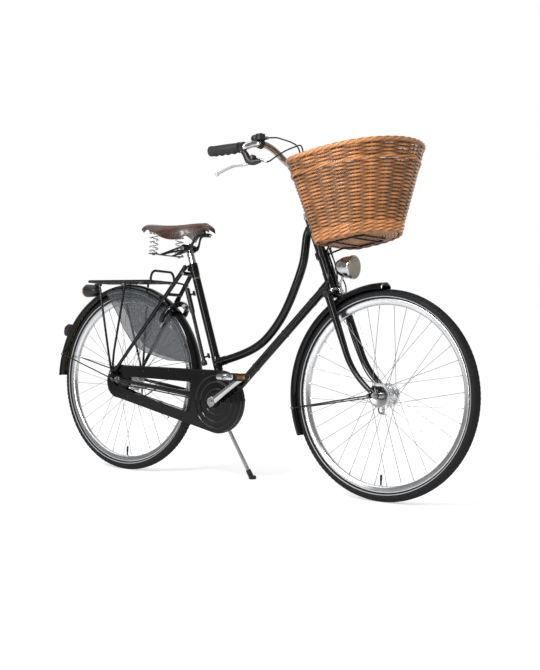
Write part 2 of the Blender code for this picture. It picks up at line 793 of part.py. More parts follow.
def build_rear_lights():
    """Rear lamp with its lens, and the reflector on the mudguard."""
    lamp = at(LAMP_X, 0.0, LAMP_Z)
    loops = []
    for x, half, rise in (
        (0.062, 0.012, 0.012),
        (0.054, 0.020, 0.019),
        (0.040, 0.0245, 0.0225),
        (0.000, LAMP_HALF, LAMP_RISE),
    ):
        loops.append(lamp_loop(lamp, x, half, rise))
    shell = loft(loops)
    top = RACK_Z - RACK_R - GAP
    stem = box(at(RACK_REAR_X, 0.0, top - 0.0040), (0.026, 0.016, 0.0080))
    node("rear_lamp", joined(shell, stem), "plastic", "frame")
    lens = []
    for x, share in ((-GAP, 0.97), (-0.0065, 0.95), (-0.0105, 0.80), (-0.0125, 0.40)):
        lens.append(lamp_loop(lamp, x, LAMP_HALF * share, LAMP_RISE * share))
    node("rear_lamp_lens", loft(lens), "red", "frame")
    angle = math.radians(150)
    out = Vector((math.cos(angle), 0.0, math.sin(angle)))
    back = Vector((-math.sin(angle), 0.0, math.cos(angle)))
    seat = REAR_GUARD_MIDDLE + out * (REAR_GUARD_R + GAP)
    outline = [(-0.024, 0.0)]
    turns = [math.radians(22.5 * k) for k in range(9)]
    outline += [(0.0255 * -math.cos(t), 0.005 + 0.0185 * math.sin(t)) for t in turns]
    outline += [(0.024, 0.0)]
    loops = [[seat + back * a + out * b + SIDE * y for a, b in outline] for y in (-0.019, 0.019)]
    node("rear_reflector", loft(loops), "plastic", "frame")


def build_skirt_guards():
    """Clear side panels clipped to the rear mudguard's edges, each with a slot for the lock."""
    edge_r = REAR_GUARD_R - GUARD_DROP + 0.003
    outline = disc_outline(REAR_GUARD_MIDDLE, edge_r, math.radians(14), math.radians(107), 12)
    outline += [(-0.060, 0.585), (-0.012, 0.515), (0.037, 0.462), (0.099, 0.434), (0.210, 0.410)]
    inner = GUARD_HALF + GAP
    slot_out = Vector((math.cos(LOCK_ANGLE), 0.0, math.sin(LOCK_ANGLE)))
    for side, word in ((1, "left"), (-1, "right")):
        panel = slab(outline, inner * side, (inner + 0.0011) * side)
        middle = REAR_AXLE + slot_out * (LOCK_CENTRE_R - 0.046) + SIDE * side * inner
        slot = box(middle, (0.030, 0.02, 0.016), basis(SIDE.cross(slot_out), slot_out))
        node(f"skirt_guard_{word}", cut(panel, slot), "smoke", "frame")


def arc(centre, first, second, radius, start, end, steps):
    """Return points along an arc in the plane of two directions."""
    made = []
    for k in range(steps + 1):
        angle = start + (end - start) * k / steps
        made.append(centre + (first * math.cos(angle) + second * math.sin(angle)) * radius)
    return made


def build_lock():
    """Ring lock: horseshoe body on the seat stays and the shackle that slides round inside it."""
    out = Vector((math.cos(LOCK_ANGLE), 0.0, math.sin(LOCK_ANGLE)))
    normal = SIDE.cross(out)
    centre = REAR_AXLE + out * LOCK_CENTRE_R
    half_open = LOCK_OPEN / 2
    left_end = math.pi - half_open
    horseshoe = arc(centre, out, SIDE, LOCK_ARC_R, -left_end, left_end, 12)
    sizes = [(0.0092, 0.0105)] * 13
    shell = sweep(horseshoe, sizes, 8, out.cross(SIDE).cross(horseshoe[1] - horseshoe[0]).normalized())
    lugs = []
    lift = 0.028
    for top, foot in seat_stay_ends():
        along = (top - foot).normalized()
        reach = (LOCK_CENTRE_R + lift - (foot - REAR_AXLE).dot(out)) / along.dot(out)
        clamp = foot + along * reach
        side = math.copysign(1.0, foot.y)
        hold = centre + out * lift + SIDE * side * math.sqrt(LOCK_ARC_R**2 - lift**2)
        lugs.append(rod(hold, clamp, 0.0056, 8))
        lugs.append(rod(clamp - along * 0.009, clamp + along * 0.009, STAY_R + 0.0016, 10))
    tail = -left_end + math.radians(154)
    channel = arc(centre, out, SIDE, LOCK_ARC_R, -left_end - 0.1, tail + 0.05, 12)
    catch = arc(centre, out, SIDE, LOCK_ARC_R, left_end - math.radians(12), left_end + 0.1, 4)
    swing = LOCK_OPEN + math.radians(6)
    track = arc(centre + normal * 0.009, out, SIDE, LOCK_ARC_R, tail - swing - 0.04 - 0.06, tail + 0.04, 10)
    tools = [
        sweep(channel, LOCK_ROD_R + RUN, 8, normal),
        sweep(catch, LOCK_ROD_R + RUN, 8, normal),
        sweep(track, [(0.0085, 0.0048)] * 11, 8, normal),
    ]
    lock = cut(joined(shell, *lugs), *tools, *seat_stays(GAP))
    node("ring_lock", lock, "black", "frame")
    body("lock", "frame", centre, normal)
    bar = arc(centre, out, SIDE, LOCK_ARC_R, -left_end + math.radians(4), tail, 12)
    knob_at = arc(centre, out, SIDE, LOCK_ARC_R, tail - 0.04, tail, 1)[0]
    knob = rod(knob_at, knob_at + normal * 0.020, 0.0026, 6)
    head = rod(knob_at + normal * 0.0150, knob_at + normal * 0.021, 0.0065, 8)
    node("lock_shackle", joined(sweep(bar, LOCK_ROD_R, 8, normal), knob, head), "chrome", "lock")


def build_pump():
    """Frame pump behind the seat tube with the wire hook and lower peg that hold it."""
    top = at(0.2665, -0.002, 0.6700)
    foot = at(0.3640, -0.002, 0.3960)
    along = (foot - top).normalized()
    profile = [
        (0.0, 0.0),
        (0.0060, 0.0),
        (0.0090, 0.004),
        (0.0090, 0.092),
        (0.0065, 0.096),
        (0.0065, 0.272),
        (0.0100, 0.276),
        (0.0100, 0.288),
        (0.0, 0.290),
    ]
    barrel = lathe(profile, top, along, 12)
    square = along.cross(SIDE)
    if square.x < 0:
        square = -square
    pieces = []
    seat_tube = rod(BB, SEAT_TOP, TUBE_R + GAP * 2, 12)
    lug = rod(SEAT_TOP - SEAT_UP * SEAT_LUG_LEN, SEAT_TOP, TUBE_R + LUG_WALL + GAP, 12)
    low_lug = rod(BB + SEAT_UP * 0.112, BB + SEAT_UP * 0.168, TUBE_R + LUG_WALL + GAP, 12)
    for down in (0.030, 0.262):
        start = top + along * down
        pieces.append(rod(start, start + square * 0.034, 0.0034, 6))
        pieces.append(box(start + square * 0.0345, (0.018, 0.012, 0.010), basis(square, along)))
    pump = cut(joined(barrel, *pieces), seat_tube, lug, low_lug)
    node("pump", pump, "plastic", "frame")


# Wheels


def build_wheel(word, axle, group, half, flange_r, barrel_r):
    """Tyre, rim and laced hub of one wheel."""
    section = TYRE_WIDTH / 2
    middle = TYRE_R - section
    bead = RIM_EDGE_R - RIM_WALL_DEPTH + 0.0008
    tyre = [(bead, -0.0088), (RIM_EDGE_R + 0.0006, -0.0098)]
    for k in range(5):
        angle = math.radians(-40 + 65 * k)
        tyre.append((middle + section * math.sin(angle), -section * math.cos(angle)))
    tyre += [(RIM_EDGE_R + 0.0006, 0.0098), (bead, 0.0088)]
    down = -UP
    node(f"{word}_tyre", lathe(tyre, axle, SIDE, WHEEL_STEPS, down, True), "rubber", group)
    wall = RIM_WIDTH / 2
    base = RIM_EDGE_R - RIM_DEPTH
    foot = RIM_BED_WIDTH / 2
    bed = RIM_EDGE_R - RIM_WALL_DEPTH
    rim = [
        (base, -foot),
        (bed, -wall),
        (RIM_EDGE_R, -wall),
        (bed, -wall + RIM_WALL_T),
        (bed, wall - RIM_WALL_T),
        (RIM_EDGE_R, wall),
        (bed, wall),
        (base, foot),
    ]
    node(f"{word}_rim", lathe(rim, axle, SIDE, WHEEL_STEPS, down, True), "alloy", group)
    hub = [
        (AXLE_BORE_R, -half),
        (flange_r, -half),
        (flange_r, -half + FLANGE_T),
        (barrel_r, -half + FLANGE_T + 0.002),
        (barrel_r, half - FLANGE_T - 0.002),
        (flange_r, half - FLANGE_T),
        (flange_r, half),
        (AXLE_BORE_R, half),
    ]
    shell = lathe(hub, axle, SIDE, HUB_STEPS, down, closed=True)
    spokes = bmesh.new()
    reach = base * math.cos(math.pi / WHEEL_STEPS) - GAP - 0.0004
    for k in range(SPOKE_COUNT):
        side = 1 if k % 2 else -1
        twist = 1 if (k // 2) % 2 else -1
        end = math.tau * (k + 0.5) / SPOKE_COUNT
        root = end + SPOKE_TURN * twist
        inner_y = side * (half - FLANGE_T / 2) + twist * SPOKE_STAGGER
        first = axle + Vector((math.sin(root), 0.0, -math.cos(root))) * (flange_r - 0.0045)
        first += SIDE * inner_y
        last = axle + Vector((math.sin(end), 0.0, -math.cos(end))) * reach + SIDE * side * 0.003
        spoke = rod(first, last, SPOKE_R, 3)
        mesh = bpy.data.meshes.new("spoke")
        spoke.to_mesh(mesh)
        spoke.free()
        spokes.from_mesh(mesh)
        bpy.data.meshes.remove(mesh)
    node(f"{word}_hub", joined(shell, spokes), "alloy", group)


def build_axle(word, axle, half, plate_r, end_y, nut_r):
    """Fixed axle with its nuts and the drum brake's cover plate, and the arm that works the brake."""
    width = end_y + 0.0025 + GAP
    pieces = []
    shaft = rod(axle - SIDE * (width + 0.016), axle + SIDE * (width + 0.016), AXLE_R, 8)
    for side in (-1, 1):
        pieces.append(drum(axle, SIDE * side, nut_r, width + 0.0010, width + 0.0100, 6))
        pieces.append(drum(axle, SIDE * side, nut_r + 0.0022, width, width + 0.0022, 8))
    inside = end_y - 0.0025 - GAP
    pieces.append(drum(axle, SIDE, plate_r, half + RUN, half + RUN + BRAKE_PLATE_T, 16))
    pieces.append(drum(axle, SIDE, 0.0095, half + RUN + 0.0020, inside, 10))
    spacer = half + RUN if word == "front" else CHAIN_LINE + 0.0030
    pieces.append(drum(axle, -SIDE, 0.0085, spacer, inside, 8))
    return joined(shaft, *pieces)


def build_brakes():
    """Brake plates with their axles, and the two working arms on their cam spindles."""
    sides = (
        ("front", FRONT_AXLE, FRONT_HUB_HALF, FRONT_PLATE_R, FORK_END_Y, FRONT_CAM, "steering"),
        ("rear", REAR_AXLE, REAR_HUB_HALF, REAR_PLATE_R, DROPOUT_Y, REAR_CAM, "frame"),
    )
    for word, axle, half, plate_r, end_y, offset, group in sides:
        plate = build_axle(word, axle, half, plate_r, end_y, 0.0085)
        cam = axle + offset
        face = half + RUN + BRAKE_PLATE_T
        boss = drum(cam, SIDE, 0.0065, half + RUN + 0.002, face + CAM_BOSS_H, 8)
        pin = drum(cam, SIDE, 0.0030, face, face + CAM_BOSS_H + 0.0050, 8)
        node(f"{word}_brake_plate", joined(plate, boss, pin), "alloy", group)
        body(f"{word}_brake", group, cam, SIDE)
        low = face + CAM_BOSS_H + GAP
        high = low + BRAKE_ARM_T
        eye = ring(cam, SIDE, 0.0030 + RUN, 0.0075, low, high, 10)
        tip = cam - UP * BRAKE_ARM_LEN
        lever = box((cam + tip) / 2 + SIDE * (low + high) / 2, (0.0078, 0.0028, BRAKE_ARM_LEN - 0.008))
        end = drum(tip, SIDE, 0.0053, low, high, 8)
        node(f"{word}_brake_arm", joined(eye, lever, end), "steel", f"{word}_brake")


def brake_tip(axle, offset, half):
    """Return the middle of a brake arm's tip, where its cable ends."""
    side = half + RUN + BRAKE_PLATE_T + CAM_BOSS_H + GAP + BRAKE_ARM_T / 2
    return axle + offset - UP * BRAKE_ARM_LEN + SIDE * side


# Drive


def toothed(teeth, thickness, centre, bore):
    """Return a sprocket disc with a round bore."""
    pitch_r = CHAIN_PITCH / (2 * math.sin(math.pi / teeth))
    loops = []
    for y in (-thickness / 2, thickness / 2):
        outer = []
        for k in range(teeth):
            for share, rise in ((0.0, -0.0034), (0.50, 0.0030)):
                angle = math.tau * (k + share) / teeth
                reach = pitch_r + rise
                outer.append(centre + at(reach * math.cos(angle), y, reach * math.sin(angle)))
        loops.append(outer)
    disc = loft(loops)
    return cut(disc, drum(centre, SIDE, bore, -0.02, 0.02, 12))


def build_chain():
    """Chain: two rows of side plates joined by rollers on the runs clear of the teeth."""
    ring_r = CHAIN_PITCH / (2 * math.sin(math.pi / CHAINRING_TEETH))
    cog_r = CHAIN_PITCH / (2 * math.sin(math.pi / SPROCKET_TEETH))
    bands = []
    for side in (-1, 1):
        low = -CHAIN_LINE + side * CHAIN_INNER_HALF
        high = low + side * CHAIN_PLATE_T
        half = CHAIN_PLATE_HALF
        outer = loop_round(BB, ring_r + half, REAR_AXLE, cog_r + half, 14, 8)
        inner = loop_round(BB, ring_r - half, REAR_AXLE, cog_r - half, 14, 8)
        loops = [
            [Vector((x, low, z)) for x, z in inner],
            [Vector((x, low, z)) for x, z in outer],
            [Vector((x, high, z)) for x, z in outer],
            [Vector((x, high, z)) for x, z in inner],
        ]
        bands.append(loft(loops, capped=False))
    line = loop_round(BB, ring_r, REAR_AXLE, cog_r, 14, 8)
    runs = ((Vector(line[14]), Vector(line[15])), (Vector(line[-1]), Vector(line[0])))
    rollers = []
    pin_half = CHAIN_INNER_HALF + 0.0006
    for first, last in runs:
        count = int((last - first).length / CHAIN_PITCH) - 8
        for k in range(0, count, 8):
            spot = first + (last - first) * ((k + 5.0) * CHAIN_PITCH / (last - first).length)
            middle = at(spot.x, -CHAIN_LINE, spot.y)
            rollers.append(drum(middle, SIDE, 0.0034, -pin_half, pin_half, 6))
    chain = joined(bands[0], bands[1], *rollers)
    node("chain", chain, "steel", "frame")


def pedal_at(side):
    """Return a pedal's axle point, in the plane of the cranks."""
    reach = CRANK_LEN * -side
    return BB + at(reach * math.cos(CRANK_ANGLE), 0.0, reach * math.sin(CRANK_ANGLE))


def build_drive():
    """Chainring, cranks, spindle, pedals and sprocket."""
    body("crank", "frame", BB, SIDE)
    body("sprocket", "frame", REAR_AXLE, SIDE)
    cog = toothed(SPROCKET_TEETH, TOOTH_T, REAR_AXLE - SIDE * CHAIN_LINE, 0.0100)
    driver = ring(REAR_AXLE, -SIDE, AXLE_BORE_R, 0.0150, REAR_HUB_HALF + RUN, 0.0465, 14)
    node("sprocket", joined(driver, cog), "steel", "sprocket")
    for side, word in ((1, "left"), (-1, "right")):
        pedal = pedal_at(side)
        out = SIDE * side
        reach = (pedal - BB).normalized()
        spin = [
            BB + out * (CRANK_Y - 0.0010),
            BB + reach * 0.030 + out * (CRANK_Y - 0.0005),
            BB + reach * CRANK_LEN * 0.75 + out * (CRANK_Y + CRANK_FLARE * 0.75),
            pedal + out * (CRANK_Y + CRANK_FLARE),
        ]
        arm = sweep(spin, [(0.0068, 0.0135), (0.0066, 0.0128), (0.0060, 0.0100), (0.0058, 0.0098)], 8, out)
        eye = drum(pedal, out, 0.0125, CRANK_Y + CRANK_FLARE - 0.0060, CRANK_Y + CRANK_FLARE + 0.0060, 10)
        boss_low = 0.0385 if side < 0 else BB_SHELL_HALF + RUN
        boss = drum(BB, out, CRANK_BOSS_R, boss_low, CRANK_Y + 0.0065, 12)
        tools = [drum(pedal, out, 0.0052 + GAP, 0.06, 0.12, 10)]
        if side < 0:
            plate = toothed(CHAINRING_TEETH, TOOTH_T, BB - SIDE * CHAIN_LINE, 0.0120)
            spider = drum(BB, out, 0.0300, CHAIN_LINE - 0.0032, CHAIN_LINE + 0.0032, 14)
            tools.append(drum(BB, out, SPINDLE_R + GAP, 0.02, CRANK_Y + 0.0005, 12))
            bolt = drum(BB, out, 0.0078, CRANK_Y + 0.0060, CRANK_Y + 0.0105, 6)
            crank = joined(arm, boss, eye, plate, spider, bolt)
            node("crank_right", cut(crank, *tools), "chrome", "crank")
        else:
            bolt = drum(BB, out, 0.0078, CRANK_Y + 0.0060, CRANK_Y + 0.0105, 6)
            spindle = rod(BB - SIDE * CRANK_Y, BB + SIDE * 0.060, SPINDLE_R, 10)
            crank = joined(arm, boss, eye, spindle, bolt)
            node("crank_left", cut(crank, *tools), "chrome", "crank")
        build_pedal(word, pedal, out)


def build_pedal(word, pedal, out):
    """One block pedal: barrel, two rubber blocks, end plates and reflectors in one piece."""
    body(f"pedal_{word}", "crank", pedal, SIDE)
    start = CRANK_Y + CRANK_FLARE + 0.0060 + GAP
    end = start + PEDAL_LEN
    pieces = [drum(pedal, out, 0.0100, start + 0.0030, end - 0.001, 8)]
    pieces.append(drum(pedal, out, 0.0075, end - 0.003, end + 0.0050, 8))
    for low in (start + 0.0010, end - 0.0060):
        outline = []
        for dx, dz in ((-0.033, -0.0085), (0.033, -0.0085), (0.033, 0.0085), (-0.033, 0.0085)):
            outline.append((pedal.x + dx, pedal.z + dz))
        first, last = sorted(((out * low).y, (out * (low + 0.0040)).y))
        pieces.append(slab(outline, first, last))
    for shift in (-PEDAL_SPREAD, PEDAL_SPREAD):
        block = pedal + FORE * shift
        middle = block + out * ((start + end) / 2)
        pieces.append(box(middle, (0.024, PEDAL_LEN - 0.014, 0.0250)))
        tab = middle + FORE * (0.0135 if shift > 0 else -0.0135)
        pieces.append(box(tab, (0.004, 0.044, 0.014)))
    stub = rod(pedal + out * (CRANK_Y + CRANK_FLARE - 0.0050), pedal + out * (start + 0.010), 0.0052, 8)
    node(f"pedal_{word}", joined(stub, *pieces), "rubber", f"pedal_{word}")


# Side stand


def build_stand():
    """Side stand leg with its foot, on the pivot of the frame's stand bracket."""
    axis = stand_axis()
    body("stand", "frame", STAND_PIVOT, axis)
    foot = stand_foot()
    down = (foot - STAND_PIVOT).normalized()
    eye = ring(STAND_PIVOT, axis, STAND_PIN_R + RUN, 0.0120, -STAND_R, STAND_R, 12)
    leg = smooth([STAND_PIVOT + down * 0.0080, STAND_PIVOT + down * 0.09, foot - down * 0.020], 2)
    shaft = sweep(leg, STAND_R, 8, SIDE)
    level = (Matrix.Rotation(LEAN, 3, "X") @ UP).normalized()
    sole = drum(foot, level, STAND_FOOT_R, 0.0, 0.012, 12)
    ankle = rod(foot - down * 0.0115, foot - down * 0.036, 0.0095, 8, 0.0086)
    node("stand_leg", joined(eye, shaft, ankle, sole), "steel", "stand")


def stand_axis():
    """Return the stand's hinge axis, square to the leg both down and folded back."""
    down = (stand_foot() - STAND_PIVOT).normalized()
    folded = at(-0.985, 0.140, 0.100).normalized()
    return down.cross(folded).normalized()


def stand_foot():
    """Return the middle of the foot's sole, on the ground that the leaning bicycle stands on."""
    return at(STAND_FOOT_X, STAND_FOOT_Y, ground_at(STAND_FOOT_Y))


def ground_at(y):
    """Return the height of the ground in the upright bicycle's frame once it leans."""
    return (TYRE_WIDTH / 2 - TYRE_WIDTH / 2 / math.cos(LEAN)) + y * math.tan(LEAN)


# Fork, headset, stem and bar


def blade_point(up, side):
    """Return a fork blade's middle at a height along the steering axis."""
    share = max(0.0, 1.0 - up / BLADE_CURVE)
    spread = FORK_END_Y + (BLADE_TOP_Y - FORK_END_Y) * min(1.0, up / CROWN_S)
    return steering(up, FORK_RAKE * share**2, spread * side)


def crown_solid(margin):
    """Return the fork crown, made thicker by a margin when it serves as a cutter."""
    top = HEAD_LOW_S - CUP_H - GAP
    middle = top - CROWN_H / 2
    wide = BLADE_TOP_Y + 0.0125 + margin
    arch = [
        steering(middle - 0.0020, 0.0, -wide),
        steering(middle, 0.0, -wide + 0.006),
        steering(middle, 0.0, wide - 0.006),
        steering(middle - 0.0020, 0.0, wide),
    ]
    half = CROWN_H / 2 + margin
    sizes = [(half - 0.003, 0.0125 + margin), (half, 0.0155 + margin)]
    return sweep(arch, [*sizes, *reversed(sizes)], 8, STEER_UP)


def build_fork():
    """Fork with its steerer, crown, raked blades and fork ends in one piece."""
    top = HEAD_LOW_S - CUP_H - GAP
    middle = top - CROWN_H / 2
    crown = crown_solid(0.0)
    seat = rod(steering(top - 0.006), steering(top), 0.0185, 12)
    pieces = [seat, rod(steering(middle), steering(HEAD_TOP_S + CUP_H + 0.0130), STEERER_R, 12)]
    ups = [CROWN_S, 0.260, 0.170, 0.125, 0.085, 0.050, 0.020]
    for side in (-1, 1):
        points = [blade_point(up, side) for up in ups]
        sizes = []
        for up in ups:
            share = 1.0 - up / CROWN_S
            sizes.append((0.0108 - 0.0034 * share, 0.0140 - 0.0060 * share))
        pieces.append(sweep(points, sizes, 8, SIDE))
        end = FRONT_AXLE + SIDE * FORK_END_Y * side
        up = end + STEER_UP * 0.0230 - STEER_FORE * 0.0030
        tab = [
            (end.x + 0.0125 * math.cos(a), end.z + 0.0125 * math.sin(a))
            for a in [math.radians(-110 + 29 * k) for k in range(5)]
        ]
        tab += [(up.x + 0.0100, up.z + 0.0040), (up.x - 0.0090, up.z + 0.0020)]
        tab += [(end.x - 0.0150, end.z + 0.0075), (end.x - 0.0300, end.z + 0.0040)]
        tab += [(end.x - 0.0310, end.z - 0.0070), (end.x - 0.0180, end.z - 0.0100)]
        inner = (FORK_END_Y - 0.0025) * side
        outer = (FORK_END_Y + 0.0025) * side
        pieces.append(slab(tab, inner, outer))
        pieces.append(rod(blade_point(0.040, side), end + STEER_UP * 0.012, 0.0066, 8, 0.0034))
    fork = joined(crown, *pieces)
    bores = [
        rod(steering(middle - 0.03), steering(HEAD_TOP_S + 0.06), STEERER_BORE_R, 12),
        rod(FRONT_AXLE - SIDE * 0.08, FRONT_AXLE + SIDE * 0.08, AXLE_R + GAP, 10),
    ]
    node("fork", cut(fork, *bores), "black", "steering")
    low = HEAD_TOP_S + CUP_H + GAP
    nut = drum(steering(0.0), STEER_UP, 0.0178, low, low + 0.0045, 12)
    lock = drum(steering(0.0), STEER_UP, 0.0190, low + 0.0040, low + 0.0135, 8)
    bore = drum(steering(0.0), STEER_UP, STEERER_R + GAP * 2, low - 0.01, low + 0.03, 12)
    node("headset_locknut", cut(joined(nut, lock), bore), "chrome", "steering")


def bar_centre():
    """Return the middle of the handlebar in the stem's clamp."""
    return at(BAR_X, 0.0, BAR_Z)


def grip_line(side):
    """Return the front and rear ends of a grip's axis."""
    front = at(GRIP_FRONT_X, GRIP_Y * side, GRIP_Z + 0.0010)
    rear = at(GRIP_REAR_X, GRIP_Y * side, GRIP_Z - 0.0025)
    return front, rear


def bar_path(side):
    """Return half of the handlebar's line, from the clamp to the end in the grip."""
    centre = bar_centre()
    front, rear = grip_line(1)
    aim = (rear - front).normalized()
    turns = [
        centre + at(0.0, 0.024, 0.000),
        at(0.7700, 0.060, 1.0565),
        at(0.7745, 0.100, 1.0608),
        at(0.7780, 0.140, 1.0730),
        at(0.7772, 0.175, 1.0890),
        at(0.7745, 0.207, 1.1005),
        at(0.7690, 0.237, 1.1058),
        at(0.7590, 0.265, 1.1032),
        at(0.7480, 0.2820, 1.0965),
        front - aim * 0.0190,
    ]
    line = [centre, *turns, front, rear - aim * 0.0060]
    return [Vector((p.x, p.y * side, p.z)) for p in line]


def build_bar():
    """Stem, handlebar and grips."""
    centre = bar_centre()
    up = steering_height(centre)
    low = steering(HEAD_LOW_S + 0.110)
    elbow = steering(up - 0.006)
    quill = rod(low, elbow + STEER_UP * 0.010, QUILL_R, 10)
    neck_line = [elbow - STEER_UP * 0.004, steering(up - 0.003, 0.016), centre]
    neck_sizes = [(0.0132, 0.0132), (0.0122, 0.0125), (0.0125, 0.0130)]
    neck = sweep(neck_line, neck_sizes, 10, SIDE)
    clamp = rod(centre - SIDE * 0.0200, centre + SIDE * 0.0200, 0.0172, 14)
    head = rod(elbow + STEER_UP * 0.008, elbow + STEER_UP * 0.0155, 0.0078, 6)
    ear = box(centre - STEER_FORE * 0.002 - STEER_UP * 0.0195, (0.012, 0.018, 0.012))
    stem = joined(quill, neck, clamp, head, ear)
    bore = rod(centre - SIDE * 0.05, centre + SIDE * 0.05, BAR_R + GAP * 2, 12)
    node("stem", cut(stem, bore), "chrome", "steering")
    line = list(reversed(bar_path(-1))) + bar_path(1)[1:]
    node("handlebar", sweep(line, BAR_R, 8, UP), "chrome", "steering")
    for side, word in ((1, "left"), (-1, "right")):
        front, rear = grip_line(side)
        aim = (rear - front).normalized()
        length = (rear - front).length
        profile = [(0.0, 0.0), (0.0168, 0.0), (0.0172, 0.004), (0.0150, 0.009)]
        profile += [(GRIP_R, 0.030), (0.0150, 0.060), (GRIP_R, 0.090), (0.0148, length - 0.014)]
        profile += [(0.0168, length - 0.006), (0.0160, length), (0.0, length + 0.0010)]
        grip = lathe(profile, front, aim, 12)
        hole = rod(front - aim * 0.02, rear - aim * 0.0050, BAR_R + GAP * 2, 12)
        node(f"grip_{word}", cut(grip, hole), "rubber", "steering")


def lever_exit(side):
    """Return the point where a brake cable leaves its lever's barrel."""
    return at(0.8080, 0.2765 * side, 1.0440)


def build_levers():
    """Brake lever brackets with their levers, the gear shifter and the bell."""
    for side, word in ((1, "left"), (-1, "right")):
        collar_at = at(0.7310, GRIP_Y * side, 1.0918)
        pivot = at(0.7720, 0.2870 * side, 1.0560)
        collar = rod(collar_at - FORE * 0.0075, collar_at + FORE * 0.0075, 0.0158, 12)
        hood = sweep(
            [at(0.7250, 0.2890 * side, 1.0740), at(0.7480, 0.2880 * side, 1.0690), pivot + FORE * 0.004],
            [(0.0090, 0.0110), (0.0095, 0.0125), (0.0090, 0.0100)],
            8,
            SIDE,
        )
        barrel_at = at(0.7670, 0.2790 * side, 1.0600)
        barrel = rod(barrel_at, lever_exit(side), 0.0042, 6)
        hole = sweep(bar_path(side), BAR_R + GAP * 3, 10, UP)
        slot = box(pivot + at(-0.003, 0.0, -0.0080), (0.042, 0.0076, 0.030))
        bracket = cut(joined(collar, hood, barrel), hole, slot)
        pin = rod(pivot - SIDE * 0.0095, pivot + SIDE * 0.0095, 0.0022, 6)
        node(f"brake_perch_{word}", joined(bracket, pin), "plastic", "steering")
        body(f"lever_{word}", "steering", pivot, SIDE)
        eye = ring(pivot, SIDE, 0.0022 + RUN * 0.5, 0.0062, -0.0030, 0.0030, 10)
        blade = smooth(
            [
                pivot + at(-0.0042, 0.0, -0.0010),
                at(0.7500, 0.2870 * side, 1.0440),
                at(0.7050, 0.2890 * side, 1.0340),
                at(0.6600, 0.2890 * side, 1.0230),
                at(0.6300, 0.2880 * side, 1.0130),
            ],
            1,
        )
        wide = [0.0028, 0.0045, 0.0072, 0.0066, 0.0052]
        lever = sweep(blade, [(w, 0.0034) for w in wide], 8, SIDE)
        tip = bmesh.new()
        bmesh.ops.create_icosphere(tip, subdivisions=1, radius=0.0072)
        tip.transform(Matrix.Translation(blade[-1]))
        node(f"brake_lever_{word}", joined(eye, lever, tip), "alloy", f"lever_{word}")
    build_shifter()
    build_bell()


def build_shifter():
    """Twist-free thumb shifter: pod clamped on the right of the bar, with its thumb lever."""
    seat = at(0.7655, -0.2450, 1.1055)
    aim = (bar_path(-1)[7] - bar_path(-1)[6]).normalized()
    pod_up = UP
    collar = rod(seat - aim * 0.008, seat + aim * 0.008, 0.0150, 12)
    pod = drum(seat, pod_up, 0.0165, 0.0120, 0.0235, 14)
    barrel = rod(seat + at(0.008, 0.004, 0.0180), seat + at(0.0250, 0.0085, 0.0185), 0.0038, 6)
    hole = sweep(bar_path(-1), BAR_R + GAP * 3, 10, UP)
    post = drum(seat, pod_up, 0.0045, 0.0230, 0.0330, 8)
    cap = drum(seat, pod_up, 0.0075, 0.0310 + GAP, 0.0345, 10)
    shifter = joined(cut(joined(collar, pod, barrel), hole), post, cap)
    node("gear_shifter", shifter, "plastic", "steering")
    body("shifter", "steering", seat, pod_up)
    wheel = ring(seat, pod_up, 0.0045 + RUN, 0.0150, 0.0235 + GAP, 0.0310, 12)
    thumb = sweep(
        [
            seat + at(-0.010, 0.004, 0.0272),
            seat + at(-0.024, 0.012, 0.0280),
            seat + at(-0.036, 0.016, 0.0300),
        ],
        [(0.0050, 0.0026), (0.0052, 0.0024), (0.0060, 0.0024)],
        6,
        SIDE,
    )
    node("shift_lever", joined(wheel, thumb), "plastic", "shifter")


def build_bell():
    """Bell: clamp, post and dome in one piece, with its thumb lever on its own pivot."""
    seat = at(0.7775, 0.1750, 1.0888)
    aim = (at(0.7770, 0.185, 1.0930) - at(0.7780, 0.140, 1.0730)).normalized()
    collar = rod(seat - aim * 0.0055, seat + aim * 0.0055, 0.0142, 12)
    foot = drum(seat, UP, 0.0070, 0.0115, 0.0240, 8)
    tray = drum(seat, UP, 0.0170, 0.0230, 0.0290, 12)
    post = drum(seat, UP, 0.0040, 0.0280, 0.0548, 8)
    radius = 0.0265
    turns = [math.radians(22.5 * k) for k in range(5)]
    outer = [(radius * math.cos(t), 0.0330 + 0.0230 * math.sin(t)) for t in turns]
    inner = [((radius - 0.0016) * math.cos(t), 0.0330 + 0.0212 * math.sin(t)) for t in turns]
    shell = lathe(list(reversed(inner)) + outer, seat, UP, 14)
    hole = sweep(bar_path(1), BAR_R + GAP * 3, 10, UP)
    node("bell", joined(cut(joined(collar, foot), hole), tray, post, shell), "chrome", "steering")
    pivot = seat + at(-0.0130, -0.0080, 0.0)
    body("bell", "steering", pivot, UP)
    eye = drum(pivot, UP, 0.0036, 0.0290 + GAP, 0.0318, 8)
    thumb = sweep(
        [pivot + UP * 0.0305, pivot + at(-0.016, -0.010, 0.0305), pivot + at(-0.026, -0.018, 0.0320)],
        [(0.0032, 0.0010), (0.0036, 0.0010), (0.0048, 0.0012)],
        8,
        SIDE,
    )
    node("bell_lever", joined(eye, thumb), "steel", "bell")


